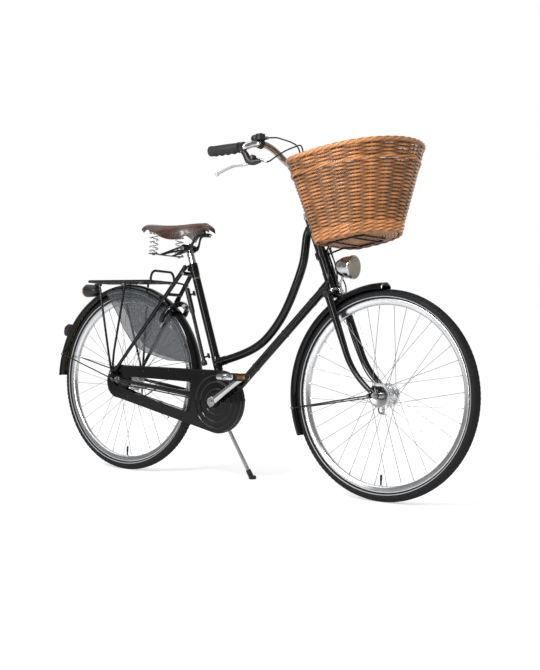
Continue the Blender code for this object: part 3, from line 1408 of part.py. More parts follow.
def build_headlamp():
    """Headlamp body on its bracket, and the lens in its rim."""
    lens_at = at(0.9740, 0.0, 0.7340)
    aim = at(1.0, 0.0, -0.03).normalized()
    profile = [
        (0.0, -0.0700),
        (0.0100, -0.0690),
        (0.0230, -0.0600),
        (0.0320, -0.0430),
        (0.0355, -0.0220),
        (0.0358, -0.0100),
        (0.0388, -0.0085),
        (0.0388, -0.0020),
        (0.0345, 0.0000),
        (0.0345, -0.0030),
        (0.0, -0.0030),
    ]
    shell = lathe(profile, lens_at, aim, 16)
    low = HEAD_LOW_S - CUP_H - GAP - CROWN_H / 2
    plate_at = steering(low + 0.002, 0.0264)
    plate = box(plate_at, (0.0030, 0.0200, 0.0200), basis(STEER_UP, STEER_FORE))
    route = [plate_at + STEER_FORE * 0.0012, steering(low + 0.030, 0.0340), at(0.9370, 0.0, 0.7080)]
    strut = sweep(route, [(0.0065, 0.0022)] * 3, 8, SIDE)
    bolt = rod(plate_at, plate_at + STEER_FORE * 0.0065, 0.0055, 6)
    node("headlamp", joined(shell, plate, strut, bolt), "chrome", "steering")
    back = -0.0030 + GAP
    cover = [(0.0, back), (0.0342, back), (0.0342, -0.0004), (0.0300, 0.0030), (0.0180, 0.0062), (0.0, 0.0075)]
    node("headlamp_lens", lathe(cover, lens_at, aim, 16), "glass", "steering")


def build_front_mudguard():
    """Front mudguard with its wire stays."""
    skin = guard(FRONT_AXLE, FRONT_GUARD_R, FRONT_GUARD_FROM, FRONT_GUARD_TO, FRONT_GUARD_STEPS)
    eyelet = FRONT_AXLE + at(-0.0240, FORK_END_Y + 0.0025 + GAP + GUARD_STAY_R, -0.0020)
    stays = guard_stays(FRONT_AXLE, FRONT_GUARD_R, math.radians(190), eyelet)
    node("front_mudguard", joined(skin, *stays), "black", "steering")


# Basket


def basket_point(x, y, depth):
    """Return a point of the tilted basket: ahead of its middle, to its left and below its rim."""
    ahead = at(math.cos(BASKET_TILT), 0.0, math.sin(BASKET_TILT))
    down = at(math.sin(BASKET_TILT), 0.0, -math.cos(BASKET_TILT))
    return at(BASKET_X, 0.0, BASKET_Z) + ahead * x + SIDE * y + down * depth


def basket_loop(depth, margin, rib=0.0):
    """Return the D-shaped loop of the basket's wall at one depth, moved outwards by a margin.

    Every other point stands out by the rib's height, where the weave passes over a stake.
    """
    share = depth / BASKET_HEIGHT
    size = 1.0 - (1.0 - BASKET_TAPER) * share
    made = []
    for k in range(BASKET_STEPS):
        angle = math.tau * (k + 0.5) / BASKET_STEPS
        c, s = math.cos(angle), math.sin(angle)
        power = 2.0 / 2.05 if c > 0 else 2.0 / 5.0
        reach = BASKET_FRONT if c > 0 else BASKET_REAR
        out = margin + rib * (k % 2)
        x = math.copysign(abs(c) ** power, c) * (reach * size + out) + BASKET_BASE_SHIFT * share
        y = math.copysign(abs(s) ** power, s) * (BASKET_HALF_WIDTH * size + out)
        made.append(basket_point(x, y, depth))
    return made


def build_basket():
    """Wicker basket as one shell, the wire support under it and the straps round the bar."""
    loops = [
        basket_loop(BASKET_HEIGHT, 0.0),
        basket_loop(BASKET_HEIGHT - BASKET_BAND_HALF, 0.0, BASKET_RIB),
        basket_loop(BASKET_BAND_DEPTH + BASKET_BAND_HALF, 0.0, BASKET_RIB),
        basket_loop(BASKET_BAND_DEPTH, BASKET_RIB),
        basket_loop(BASKET_BAND_DEPTH - BASKET_BAND_HALF, 0.0, BASKET_RIB),
        basket_loop(BASKET_RIM_DEPTH + 0.004, 0.0, BASKET_RIB),
        basket_loop(BASKET_RIM_DEPTH, 0.0045),
        basket_loop(0.0030, 0.0045),
        basket_loop(0.0, 0.0015),
        basket_loop(0.0, -BASKET_WALL + 0.001),
        basket_loop(BASKET_HEIGHT - BASKET_WALL, -BASKET_WALL),
    ]
    shell = loft(loops)
    slots = []
    for side in (-1, 1):
        share = STRAP_DEPTH / BASKET_HEIGHT
        x = -BASKET_REAR * (1.0 - (1.0 - BASKET_TAPER) * share) + BASKET_BASE_SHIFT * share
        middle = basket_point(x + 0.002, STRAP_Y * side, STRAP_DEPTH)
        slots.append(box(middle, (0.030, STRAP_WIDTH + 0.003, 0.0062)))
    node("basket", cut(shell, *slots), "wicker", "steering")
    build_straps()
    floor = BASKET_HEIGHT + GAP + SUPPORT_R
    back, front, half = -0.098, 0.048, 0.078
    collar_at = steering(SUPPORT_S)
    loop = [
        collar_at + at(0.018, 0.006, 0.002),
        basket_point(back - 0.004, 0.040, floor + 0.001),
        basket_point(back + 0.020, half, floor),
        basket_point(front - 0.016, half, floor),
        basket_point(front, half - 0.016, floor),
    ]
    loop += [Vector((p.x, -p.y, p.z)) for p in reversed(loop)]
    inner = HEAD_TUBE_R + RUN
    collar = ring(steering(0.0), STEER_UP, inner, 0.0222, SUPPORT_S - 0.010, SUPPORT_S + 0.010, 12)
    low = HEAD_LOW_S - CUP_H - GAP - CROWN_H / 2 - 0.007
    high = SUPPORT_S + 0.004
    square = basis(STEER_UP, STEER_FORE)
    strip = box(steering((low + high) / 2, 0.02285), (0.0034, 0.0130, high - low), square)
    foot = box(steering(low + 0.0085, 0.0188), (0.0062, 0.0130, 0.0170), square)
    wire = sweep(loop, SUPPORT_R, 6, UP)
    support = joined(collar, strip, foot, wire)
    race = rod(steering(low - 0.02), steering(HEAD_LOW_S + 0.002), CUP_R + GAP, 12)
    bore = rod(steering(low - 0.02), steering(SUPPORT_S + 0.05), inner, 12)
    node("basket_support", cut(support, crown_solid(GAP), race, bore), "black", "steering")


def build_straps():
    """Two leather straps, each a closed band round the bar and the basket's rim."""
    for side, word in ((1, "left"), (-1, "right")):
        y = STRAP_Y * side
        bar = bar_centre() + at(0.0055, 0.0, 0.0018)
        half = STRAP_T / 2
        round_bar = BAR_R + 0.0027 + half
        line = []
        for k in range(7):
            angle = math.radians(62 + 34 * k)
            line.append((bar.x + round_bar * math.cos(angle), bar.z + round_bar * math.sin(angle)))
        share = STRAP_DEPTH / BASKET_HEIGHT
        wall = -BASKET_REAR * (1.0 - (1.0 - BASKET_TAPER) * share) + BASKET_BASE_SHIFT * share
        slot = basket_point(wall, 0.0, STRAP_DEPTH)
        inside = basket_point(wall + BASKET_WALL + 0.0030, 0.0, STRAP_DEPTH - 0.002)
        over = basket_point(-BASKET_REAR + BASKET_WALL + 0.0030, 0.0, 0.004)
        turn = basket_point(-BASKET_REAR + BASKET_WALL + 0.0022, 0.0, -0.0032)
        top = basket_point(-BASKET_REAR + BASKET_WALL * 0.3, 0.0, -0.0042)
        edge = basket_point(-BASKET_REAR - 0.0075, 0.0, -0.0010)
        line += [(slot.x - 0.006, slot.z), (slot.x + 0.006, slot.z)]
        line += [(p.x, p.z) for p in (inside, over, turn, top, edge)]
        loops = []
        count = len(line)
        for k in range(count):
            here = Vector(line[k])
            aim = (Vector(line[(k + 1) % count]) - Vector(line[k - 1])).normalized()
            side_on = Vector((aim.y, -aim.x)) * half
            over = here + side_on
            under = here - side_on
            corners = []
            for spot, wide in ((over, 1), (over, -1), (under, -1), (under, 1)):
                corners.append(at(spot.x, y + wide * STRAP_WIDTH / 2, spot.y))
            loops.append(corners)
        node(f"basket_strap_{word}", loft(loops, capped=False), "leather", "steering")


# Saddle


def saddle_half_width(share):
    """Return the leather's half width from its rear (0) to its nose (1)."""
    stops = (
        (0.00, 0.62), (0.05, 0.86), (0.14, 0.98), (0.26, 1.00), (0.38, 0.90),
        (0.50, 0.66), (0.62, 0.42), (0.75, 0.27), (0.88, 0.205), (1.00, 0.185),
    )
    for (low, first), (high, last) in zip(stops, stops[1:]):
        if share <= high:
            t = (share - low) / (high - low)
            return (first + (last - first) * t) * SADDLE_WIDTH / 2
    return stops[-1][1] * SADDLE_WIDTH / 2


def saddle_point(share, turn, inset):
    """Return a point of the saddle's skin, share of the way from rear to nose, moved inwards by inset."""
    x = SADDLE_NOSE_X - SADDLE_LEN * (1.0 - share)
    half = saddle_half_width(share) - inset
    crest = SADDLE_TOP_Z - 0.0065 * math.sin(math.pi * min(1.0, share * 1.25)) ** 2 - inset
    crest -= 0.016 * max(0.0, share - 0.90) / 0.10 + 0.012 * max(0.0, 0.08 - share) / 0.08
    skirt = 0.020 + 0.036 * math.exp(-((share - 0.52) / 0.22) ** 2)
    y = half * math.sin(turn) * (1.0 if abs(turn) < 1.4 else 0.985)
    drop = 0.010 * (1.0 - math.cos(turn)) + (skirt - 0.010) * abs(math.sin(turn)) ** 6
    return at(x, y, crest - drop)


def saddle_skin(inset, shares, reach=90.0, steps=10):
    """Return one row of skin points for each share, from one side of the saddle to the other."""
    turns = [math.radians(-reach + 2.0 * reach * j / steps) for j in range(steps + 1)]
    return [[saddle_point(share, turn, inset) for turn in turns] for share in shares]


def shell(outer, inner):
    """Close two matching rows of curves into one curved plate."""
    return loft([over + list(reversed(under)) for over, under in zip(outer, inner)])


def build_saddle():
    """Leather top, its cantle plate and rails, the two rear coil springs and the seat post."""
    shares = [k / 10 for k in range(11)]
    inner = saddle_skin(LEATHER_T, shares)
    for end, shift in ((inner[0], LEATHER_T * 0.8), (inner[-1], -LEATHER_T * 0.8)):
        for point in end:
            point.x += shift
    node("saddle_top", shell(saddle_skin(0.0, shares), inner), "leather", "seat")
    rear_x = SADDLE_NOSE_X - SADDLE_LEN
    cantle_z = SADDLE_TOP_Z - 0.0310
    spring_x = rear_x + 0.056
    plate_low = 0.7880
    shares = (0.10, 0.20)
    depth = LEATHER_T + GAP * 2.5
    cantle = shell(saddle_skin(depth, shares, 72.0, 8), saddle_skin(depth + CANTLE_T, shares, 72.0, 8))
    share = 0.165
    turn = math.asin(SPRING_Y / (saddle_half_width(share) - depth))
    pads = []
    for side in (-1, 1):
        top = saddle_point(share, turn * side, depth + CANTLE_T * 0.5)
        spring_at = at(spring_x, SPRING_Y * side, 0.0)
        pads.append(drum(spring_at, UP, SEAT_PLATE_R, cantle_z - 0.0022, cantle_z + 0.0010, 10))
        pads.append(rod(at(top.x, top.y, cantle_z), top, 0.0040, 6))
    node("saddle_cantle", joined(cantle, *pads), "black", "seat")
    base_top = plate_low + 0.0025
    pieces = []
    for side in (-1, 1):
        spring_at = at(spring_x, SPRING_Y * side, 0.0)
        pieces.append(drum(spring_at, UP, SEAT_PLATE_R, plate_low - 0.0010, base_top, 10))
    bar = [
        at(spring_x, -SPRING_Y, plate_low + 0.0005),
        at(spring_x + 0.002, 0.0, plate_low - 0.0005),
        at(spring_x, SPRING_Y, plate_low + 0.0005),
    ]
    pieces.append(sweep(bar, [(0.0025, 0.0090)] * 3, 8, UP))
    clamp = SEAT_TOP + SEAT_UP * (POST_OUT - 0.012)
    nose = at(SADDLE_NOSE_X - 0.030, 0.0, SADDLE_TOP_Z - 0.046)
    for side in (-1, 1):
        for lift in (0.0, 0.0095):
            line = smooth(
                [
                    at(spring_x + 0.002, (0.0300 + lift * 0.3) * side, plate_low + 0.0005),
                    at(clamp.x - 0.030, 0.0215 * side, clamp.z - 0.0110 + lift),
                    at(clamp.x + 0.020, 0.0215 * side, clamp.z - 0.0070 + lift),
                    at(nose.x - 0.030, 0.0120 * side, nose.z - 0.0060 + lift * 0.5),
                    nose + SIDE * side * 0.0080,
                ],
                1,
            )
            pieces.append(sweep(line, RAIL_R, 6, SIDE))
    pieces.append(box(nose + at(0.004, 0.0, 0.002), (0.024, 0.026, 0.014)))
    tongue = SADDLE_TOP_Z - LEATHER_T - GAP * 2 - nose.z
    pieces.append(box(nose + at(-0.004, 0.0, tongue * 0.5), (0.008, 0.006, tongue)))
    across = clamp + at(-0.002, 0.0, -0.003)
    pieces.append(rod(across - SIDE * 0.0300, across + SIDE * 0.0300, 0.0140, 10))
    pieces.append(rod(across - SIDE * 0.0345, across + SIDE * 0.0345, 0.0070, 6))
    frame = joined(pieces[0], *pieces[1:])
    post_hole = rod(SEAT_TOP, SEAT_TOP + SEAT_UP * (POST_OUT + GAP), POST_R * 0.86 + GAP * 3, 12)
    node("saddle_frame", cut(frame, post_hole), "black", "seat")
    profile = [
        (0.0, -POST_IN),
        (POST_R, -POST_IN),
        (POST_R, POST_OUT - 0.034),
        (POST_R * 0.86, POST_OUT - 0.029),
        (POST_R * 0.86, POST_OUT),
        (0.0, POST_OUT),
    ]
    node("seat_post", lathe(profile, SEAT_TOP, SEAT_UP, 14), "chrome", "seat")
    for side, word in ((1, "left"), (-1, "right")):
        height = cantle_z - 0.0022 - base_top - GAP * 2
        build_spring(word, at(spring_x, SPRING_Y * side, base_top + GAP), height, side)


def build_spring(word, foot, height, hand):
    """One coil spring: an unbroken wire wound from a formula, with closed end turns."""
    steps_per_turn = 9
    count = int(SPRING_TURNS * steps_per_turn)
    low = SPRING_WIRE_R * 1.02
    span = height - low * 2
    points = []
    for k in range(count + 1):
        share = k / count
        angle = math.tau * SPRING_TURNS * share * hand
        rise = low + span * share
        waist = SPRING_R - 0.0012 * math.sin(math.pi * share)
        points.append(foot + at(waist * math.cos(angle), waist * math.sin(angle), rise))
    least = min(
        (points[a] - points[b]).length - SPRING_WIRE_R * 2
        for a in range(count + 1)
        for b in range(a + 5, count + 1)
    )
    print(f"spring_{word}: least gap between its own turns {least * 1000:.2f} mm")
    node(f"saddle_spring_{word}", sweep(points, SPRING_WIRE_R, 6, UP), "chrome", "seat", 60)


# Cables


def cable(points, radius=0.0024):
    """Return a cable through the points of its route."""
    return sweep(smooth(points, 2), radius, 6, UP)


def build_cables():
    """Front brake cable, rear brake cable and gear cable, each along its whole route."""
    front_tip = brake_tip(FRONT_AXLE, FRONT_CAM, FRONT_HUB_HALF)
    rear_tip = brake_tip(REAR_AXLE, REAR_CAM, REAR_HUB_HALF)
    front = [
        lever_exit(-1) + at(GAP, 0.0, 0.0),
        at(0.8215, -0.2720, 1.0425),
        at(0.8262, -0.2450, 1.0600),
        at(0.8225, -0.1900, 1.0880),
        at(0.8165, -0.1250, 1.1130),
        at(0.8100, -0.0900, 1.1220),
        at(0.8000, -0.0620, 1.1050),
        at(0.7895, -0.0420, 1.0680),
        at(0.7890, -0.0360, 1.0400),
        at(0.8080, -0.0300, 0.9700),
        at(0.8480, -0.0220, 0.8700),
        at(0.8790, -0.0080, 0.7950),
        at(0.8910, 0.0100, 0.7500),
        steering(0.4200, 0.0300, 0.0240),
        steering(0.3920, 0.0210, 0.0460),
        steering(0.3660, 0.0030, 0.0595),
        steering(0.3300, -0.0130, 0.0570),
        steering(0.2900, -0.0180, 0.0500),
        steering(0.2000, -0.0165, 0.0460),
        steering(0.1200, -0.0105, 0.0460),
        steering(0.0760, 0.0015, 0.0455),
        at(1.0590, 0.0440, 0.3450),
        at(1.0570, 0.0430, 0.3120),
        at(1.0555, 0.0412, 0.2850),
        front_tip + at(-0.0130, 0.0, 0.0010),
        front_tip + at(-0.0058, 0.0, 0.0),
    ]
    node("front_brake_cable", cable(front), "plastic", "steering")
    rear = [
        lever_exit(1) + at(GAP, 0.0, 0.0),
        at(0.8215, 0.2720, 1.0425),
        at(0.8262, 0.2450, 1.0600),
        at(0.8225, 0.1900, 1.0880),
        at(0.8165, 0.1250, 1.1130),
        at(0.8100, 0.0900, 1.1200),
        at(0.8000, 0.0580, 1.1030),
        at(0.7895, 0.0400, 1.0660),
        at(0.7890, 0.0350, 1.0400),
        at(0.8080, 0.0300, 0.9700),
        at(0.8460, 0.0220, 0.8700),
        at(0.8740, 0.0095, 0.7920),
        at(0.8880, 0.0170, 0.7420),
        *down_tube_run(1),
        at(0.4400, 0.0188, 0.2568),
        at(0.4150, 0.0188, 0.2604),
        at(0.3720, 0.0195, 0.2612),
        at(0.3350, 0.0240, 0.2740),
        *chain_stay_run(1),
        at(0.0750, 0.0510, 0.2960),
        at(0.0540, 0.0430, 0.2800),
        rear_tip + at(0.0130, 0.0, 0.0006),
        rear_tip + at(0.0058, 0.0, 0.0),
    ]
    node("rear_brake_cable", cable(rear), "plastic", "frame")
    gear = [
        at(0.7916, -0.2362, 1.1241),
        at(0.7975, -0.2345, 1.1243),
        at(0.8010, -0.2080, 1.1285),
        at(0.7960, -0.1650, 1.1300),
        at(0.7930, -0.1200, 1.1290),
        at(0.7920, -0.0850, 1.1220),
        at(0.7905, -0.0640, 1.0980),
        at(0.7890, -0.0560, 1.0500),
        at(0.8090, -0.0490, 0.9600),
        at(0.8430, -0.0450, 0.8700),
        at(0.8690, -0.0350, 0.7900),
        at(0.8860, -0.0280, 0.7380),
        *down_tube_run(-1),
        at(0.4400, -0.0190, 0.2600),
        at(0.3900, -0.0195, 0.2700),
        at(0.3400, -0.0245, 0.2780),
        *chain_stay_run(-1),
        at(0.0700, -0.0640, 0.3110),
        at(0.0440, -0.0790, 0.3190),
        at(0.0240, -0.0900, 0.3275),
        at(0.0070, -0.0925, 0.3318),
        at(0.0003, -AXLE_END - 0.0075, TYRE_R),
        at(0.0, -AXLE_END - GAP * 1.5, TYRE_R),
    ]
    node("gear_cable", cable(gear), "plastic", "frame")


def down_tube_run(side):
    """Return a cable's points beside the head tube's foot, down the down tube and under the bracket."""
    return [
        at(0.8925, 0.0250 * side, 0.6990),
        at(0.8800, 0.0248 * side, 0.6735),
        at(0.8560, 0.0212 * side, 0.6545),
        at(0.8000, 0.0188 * side, 0.6035),
        at(0.6500, 0.0180 * side, 0.4590),
        at(0.5300, 0.0188 * side, 0.3400),
        at(0.5050, 0.0190 * side, 0.2960),
        at(0.4880, 0.0190 * side, 0.2670),
        at(0.4700, 0.0188 * side, 0.2528),
    ]


def chain_stay_run(side):
    """Return a cable's points along the underside of a chain stay."""
    return [
        at(0.3000, 0.0296 * side, 0.2838),
        at(0.2000, 0.0420 * side, 0.2957),
        at(0.1200, 0.0530 * side, 0.3052),
    ]


def main():
    """Build the whole bicycle, then lean it onto its stand."""
    body("frame", None, at(0.0, 0.0, 0.0), UP)
    body("steering", "frame", steering(HEAD_LOW_S), STEER_UP)
    body("seat", "frame", SEAT_TOP, SEAT_UP)
    body("front_wheel", "steering", FRONT_AXLE, SIDE)
    body("rear_wheel", "frame", REAR_AXLE, SIDE)
    build_main_frame()
    build_rear_frame()
    build_rear_mudguard()
    build_chaincase()
    build_rack()
    build_rear_lights()
    build_skirt_guards()
    build_lock()
    build_pump()
    build_wheel("front", FRONT_AXLE, "front_wheel", FRONT_HUB_HALF, FRONT_FLANGE_R, FRONT_BARREL_R)
    build_wheel("rear", REAR_AXLE, "rear_wheel", REAR_HUB_HALF, REAR_FLANGE_R, REAR_BARREL_R)
    build_brakes()
    build_chain()
    build_drive()
    build_stand()
    build_fork()
    build_bar()
    build_levers()
    build_headlamp()
    build_front_mudguard()
    build_basket()
    build_saddle()
    build_cables()
    settle()


def settle():
    """Lean the bicycle about the middle line of its tyres, onto the ground and over the origin."""
    contact = at(0.0, 0.0, TYRE_WIDTH / 2)
    lean = Matrix.Rotation(-LEAN, 4, "X")
    place = Matrix.Translation(contact) @ lean @ Matrix.Translation(-contact)
    bodies["frame"].matrix_basis = place @ places["frame"]
    bpy.context.view_layer.update()
    graph = bpy.context.evaluated_depsgraph_get()
    corners = [
        obj.evaluated_get(graph).matrix_world @ vert.co
        for obj in bicycle.objects
        for vert in obj.evaluated_get(graph).data.vertices
    ]
    low = Vector([min(c[k] for c in corners) for k in range(3)])
    high = Vector([max(c[k] for c in corners) for k in range(3)])
    shift = at(-(low.x + high.x) / 2, -(low.y + high.y) / 2, -low.z)
    bodies["frame"].matrix_basis = Matrix.Translation(shift) @ place @ places["frame"]
    bpy.context.view_layer.update()
    print(f"lowest point before the shift {low.z * 1000:.3f} mm, origin moved by {shift}")
    for name, pivot in bodies.items():
        spot = pivot.matrix_world.translation
        aim = pivot.matrix_world.col[2]
        print(
            f"{name}: pivot {spot.x:.6f} {spot.y:.6f} {spot.z:.6f},"
            f" axis {aim.x:.6f} {aim.y:.6f} {aim.z:.6f}"
        )


clear_scene()
bicycle = collection_named("bicycle", False)
cutters = collection_named("cutters", True)
finishes.update(
    black=finish("black_enamel", (0.012, 0.012, 0.013), 0.28),
    plastic=finish("black_plastic", (0.020, 0.020, 0.021), 0.50),
    rubber=finish("rubber", (0.020, 0.020, 0.020), 0.80),
    chrome=finish("chrome", (0.78, 0.78, 0.78), 0.10, 1.0),
    alloy=finish("alloy", (0.62, 0.62, 0.63), 0.28, 1.0),
    steel=finish("steel", (0.42, 0.42, 0.43), 0.38, 1.0),
    leather=finish("brown_leather", (0.30, 0.13, 0.055), 0.50),
    wicker=finish("wicker", (0.42, 0.23, 0.10), 0.62),
    smoke=finish("smoked_panel", (0.030, 0.032, 0.035), 0.25, 0.0, 0.6),
    glass=finish("clear_lens", (0.80, 0.82, 0.85), 0.08),
    red=finish("red_lens", (0.45, 0.012, 0.010), 0.20),
)
main()
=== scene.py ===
"""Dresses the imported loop-frame roadster bicycle: fine meshes, finishes, studio and camera.

Every sub-assembly is a class whose fields are its sizes in metres, given in the upright
bicycle's own frame: X forwards from the rear axle, Y to the rider's left, Z up from the ground.
The bench leans each finished piece onto the side stand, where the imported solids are.
"""

import json
import logging
from dataclasses import dataclass
from enum import Enum
from math import acos, asin, atan2, copysign, cos, exp, hypot, pi, radians, sin, sqrt, tan, tau
from typing import Callable, Optional, Sequence, Union

import bmesh
import bpy
from mathutils import Matrix, Vector


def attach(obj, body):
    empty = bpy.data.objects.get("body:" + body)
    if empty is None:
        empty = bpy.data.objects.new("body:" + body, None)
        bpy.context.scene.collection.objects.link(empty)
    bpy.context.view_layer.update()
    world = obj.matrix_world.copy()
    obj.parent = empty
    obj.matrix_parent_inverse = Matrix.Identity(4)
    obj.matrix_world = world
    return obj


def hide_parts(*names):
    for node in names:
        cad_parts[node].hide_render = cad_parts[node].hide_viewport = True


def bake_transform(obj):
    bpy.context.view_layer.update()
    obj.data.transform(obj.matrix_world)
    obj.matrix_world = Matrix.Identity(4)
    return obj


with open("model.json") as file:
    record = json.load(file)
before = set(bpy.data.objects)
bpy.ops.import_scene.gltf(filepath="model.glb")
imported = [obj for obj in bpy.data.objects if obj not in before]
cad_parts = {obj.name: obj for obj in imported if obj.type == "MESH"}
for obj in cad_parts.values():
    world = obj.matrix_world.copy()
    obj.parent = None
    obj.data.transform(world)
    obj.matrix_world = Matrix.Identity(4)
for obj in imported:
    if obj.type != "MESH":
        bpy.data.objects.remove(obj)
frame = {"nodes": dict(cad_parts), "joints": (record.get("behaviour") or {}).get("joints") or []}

log = logging.getLogger("bicycle")
Mesh = bmesh.types.BMesh
Size = Union[float, tuple[float, float]]
Number = Union[float, "Sock"]
Rows = tuple[tuple[float, ...], ...]

UP = Vector((0.0, 0.0, 1.0))
FORE = Vector((1.0, 0.0, 0.0))
SIDE = Vector((0.0, 1.0, 0.0))
SIDES = ((1, "left"), (-1, "right"))

# Sizes that several sub-assemblies share, in metres and radians
GAP = 0.0003
WHEEL_R = 0.332
LEAN = radians(3.3)
CHAIN_PITCH = 0.0127
CHAIN_LINE = 0.0445
CHAINRING_TEETH = 42
SPROCKET_TEETH = 19
RACK_LEVEL = 0.692
RACK_TUBE_R = 0.005
ROUND_STEPS = 128


def at(x: float, y: float, z: float) -> Vector:
    """Return a point of the upright bicycle."""
    return Vector((x, y, z))


def around(angle: float) -> Vector:
    """Return the direction at an angle in the wheel's plane, from straight ahead upwards."""
    return at(cos(angle), 0.0, sin(angle))


def mirrored(line: Sequence[Vector]) -> list[Vector]:
    """Return a line's mirror image on the other side, run backwards."""
    return [at(p.x, -p.y, p.z) for p in reversed(line)]


REAR_GUARD_MIDDLE = at(-0.012, 0.0, 0.326)
REAR_EYELET = at(-0.018, 0.0, 0.356)


# Meshes


def closed(bm: Mesh) -> Mesh:
    """Weld a mesh and turn its faces outwards.

    Args:
        bm: The mesh, changed in place.

    Returns:
        The same mesh.
    """
    bmesh.ops.remove_doubles(bm, verts=bm.verts[:], dist=1e-6)
    bmesh.ops.recalc_face_normals(bm, faces=bm.faces[:])
    if bm.calc_volume(signed=True) < 0.0:
        bmesh.ops.reverse_faces(bm, faces=bm.faces[:])
    return bm


def turn_to(aim: Vector, side_on: Vector) -> Matrix:
    """Return the rotation whose Z column lies along aim and whose X column lies towards side_on.

    Args:
        aim: Where the Z column points.
        side_on: Which way the X column leans.

    Returns:
        The rotation.
    """
    along = aim.normalized()
    across = (side_on - along * side_on.dot(along)).normalized()
    return Matrix((across, along.cross(across), along)).transposed()


def square_to(aim: Vector) -> Vector:
    """Return a direction square to another."""
    return aim.cross(UP if abs(aim.normalized().z) < 0.9 else FORE).normalized()


def smooth(points: Sequence[Vector], per_span: int) -> list[Vector]:
    """Return points along a smooth curve through the given ones.

    Args:
        points: The points that the curve passes through.
        per_span: How many points each span is cut into.

    Returns:
        The finer row of points.
    """
    ends = [points[0] * 2 - points[1], *points, points[-1] * 2 - points[-2]]
    made = []
    for before, first, second, after in zip(ends, ends[1:], ends[2:], ends[3:]):
        for k in range(per_span):
            t = k / per_span
            run = first * 2 + (second - before) * t
            run = run + (before * 2 - first * 5 + second * 4 - after) * t**2
            made.append((run + (first * 3 - before - second * 3 + after) * t**3) * 0.5)
    return [*made, points[-1].copy()]


def along_sizes(sizes: Sequence[float], count: int) -> list[float]:
    """Spread a short row of sizes evenly over a longer row of points.

    Args:
        sizes: The few sizes.
        count: How many points the longer row has.

    Returns:
        One size for each point.
    """
    made = []
    for k in range(count):
        spot = k / (count - 1) * (len(sizes) - 1)
        low = min(int(spot), len(sizes) - 2)
        made.append(sizes[low] + (sizes[low + 1] - sizes[low]) * (spot - low))
    return made


def ovals(wide: Sequence[float], deep: Union[float, Sequence[float]], count: int) -> list[Size]:
    """Spread a few half widths and half depths evenly over a longer row of points."""
    depths = [deep] * count if isinstance(deep, float) else along_sizes(deep, count)
    return list(zip(along_sizes(wide, count), depths))


def spans(loop: Sequence[Vector]) -> list[tuple[Vector, Vector]]:
    """Return each point of a closed line with the one after it."""
    return list(zip(loop, [*loop[1:], loop[0]]))


def evenly(loop: Sequence[Vector], count: int) -> list[Vector]:
    """Return evenly spaced points round a closed line.

    Args:
        loop: The closed line.
        count: How many points are wanted.

    Returns:
        The points, from the line's first.
    """
    runs = [(there - here).length for here, there in spans(loop)]
    step = sum(runs) / count
    made, walked, k = [], 0.0, 0
    for number in range(count):
        while walked + runs[k] < number * step:
            walked += runs[k]
            k += 1
        made.append(loop[k].lerp(loop[(k + 1) % len(loop)], (number * step - walked) / runs[k]))
    return made


def finer(line: Sequence[Vector], cuts: int) -> list[Vector]:
    """Cut the long straight spans of a closed outline into shorter ones.

    Args:
        line: The outline.
        cuts: Into how many pieces the whole outline would be cut.

    Returns:
        The outline with more points.
    """
    total = sum((b - a).length for a, b in zip(line, line[1:]))
    made = []
    for here, there in spans(line):
        parts = max(1, int((there - here).length / total * cuts))
        made += [here + (there - here) * (k / parts) for k in range(parts)]
    return made


def stations(
    points: Sequence[Vector], sizes: Sequence[Size], side_on: Optional[Vector], looped: bool,
) -> list[Matrix]:
    """Return the placing matrix of a unit circle at each point of a route.

    Args:
        points: The route.
        sizes: Half width and half depth at each point, or one radius.
        side_on: Where the half width points, or None for any direction.
        looped: Whether the route closes on itself.

    Returns:
        One matrix for each point.
    """
    count = len(points)
    made = []
    side = side_on or square_to(points[1] - points[0])
    for k, point in enumerate(points):
        before = points[k - 1] if k or looped else point
        after = points[(k + 1) % count] if k < count - 1 or looped else point
        turn = turn_to(after - before, side)
        side = side_on if looped and side_on else turn.col[0]
        wide, deep = sizes[k] if isinstance(sizes[k], tuple) else (sizes[k], sizes[k])
        scale = Matrix.Diagonal((wide, deep, 1.0, 1.0))
        made.append(Matrix.Translation(point) @ turn.to_4x4() @ scale)
    return made


def sweep(
    points: Sequence[Vector],
    sizes: Union[Size, Sequence[Size]],
    sides: int = 12,
    side_on: Optional[Vector] = None,
    looped: bool = False,
) -> Mesh:
    """Draw a round or oval bar along a route.

    Args:
        points: The route.
        sizes: One size, or one for each point.
        sides: How many sides the bar has.
        side_on: Where the half width points.
        looped: Whether the bar closes on itself.

    Returns:
        A closed mesh.
    """
    if not isinstance(sizes, list):
        sizes = [sizes] * len(points)
    places = stations(points, sizes, side_on, looped)
    bm = bmesh.new()
    bmesh.ops.create_circle(bm, cap_ends=False, segments=sides, radius=1.0, matrix=places[0])
    first = bm.edges[:]
    ring = first
    for before, after in zip(places, places[1:]):
        grown = bmesh.ops.extrude_edge_only(bm, edges=ring)["geom"]
        verts = {item for item in grown if isinstance(item, bmesh.types.BMVert)}
        edges = [item for item in grown if isinstance(item, bmesh.types.BMEdge)]
        ring = [edge for edge in edges if edge.verts[0] in verts and edge.verts[1] in verts]
        bmesh.ops.transform(bm, matrix=after @ before.inverted(), verts=list(verts))
    if looped:
        bmesh.ops.bridge_loops(bm, edges=first + ring)
    else:
        bmesh.ops.edgeloop_fill(bm, edges=first)
        bmesh.ops.edgeloop_fill(bm, edges=ring)
    return closed(bm)


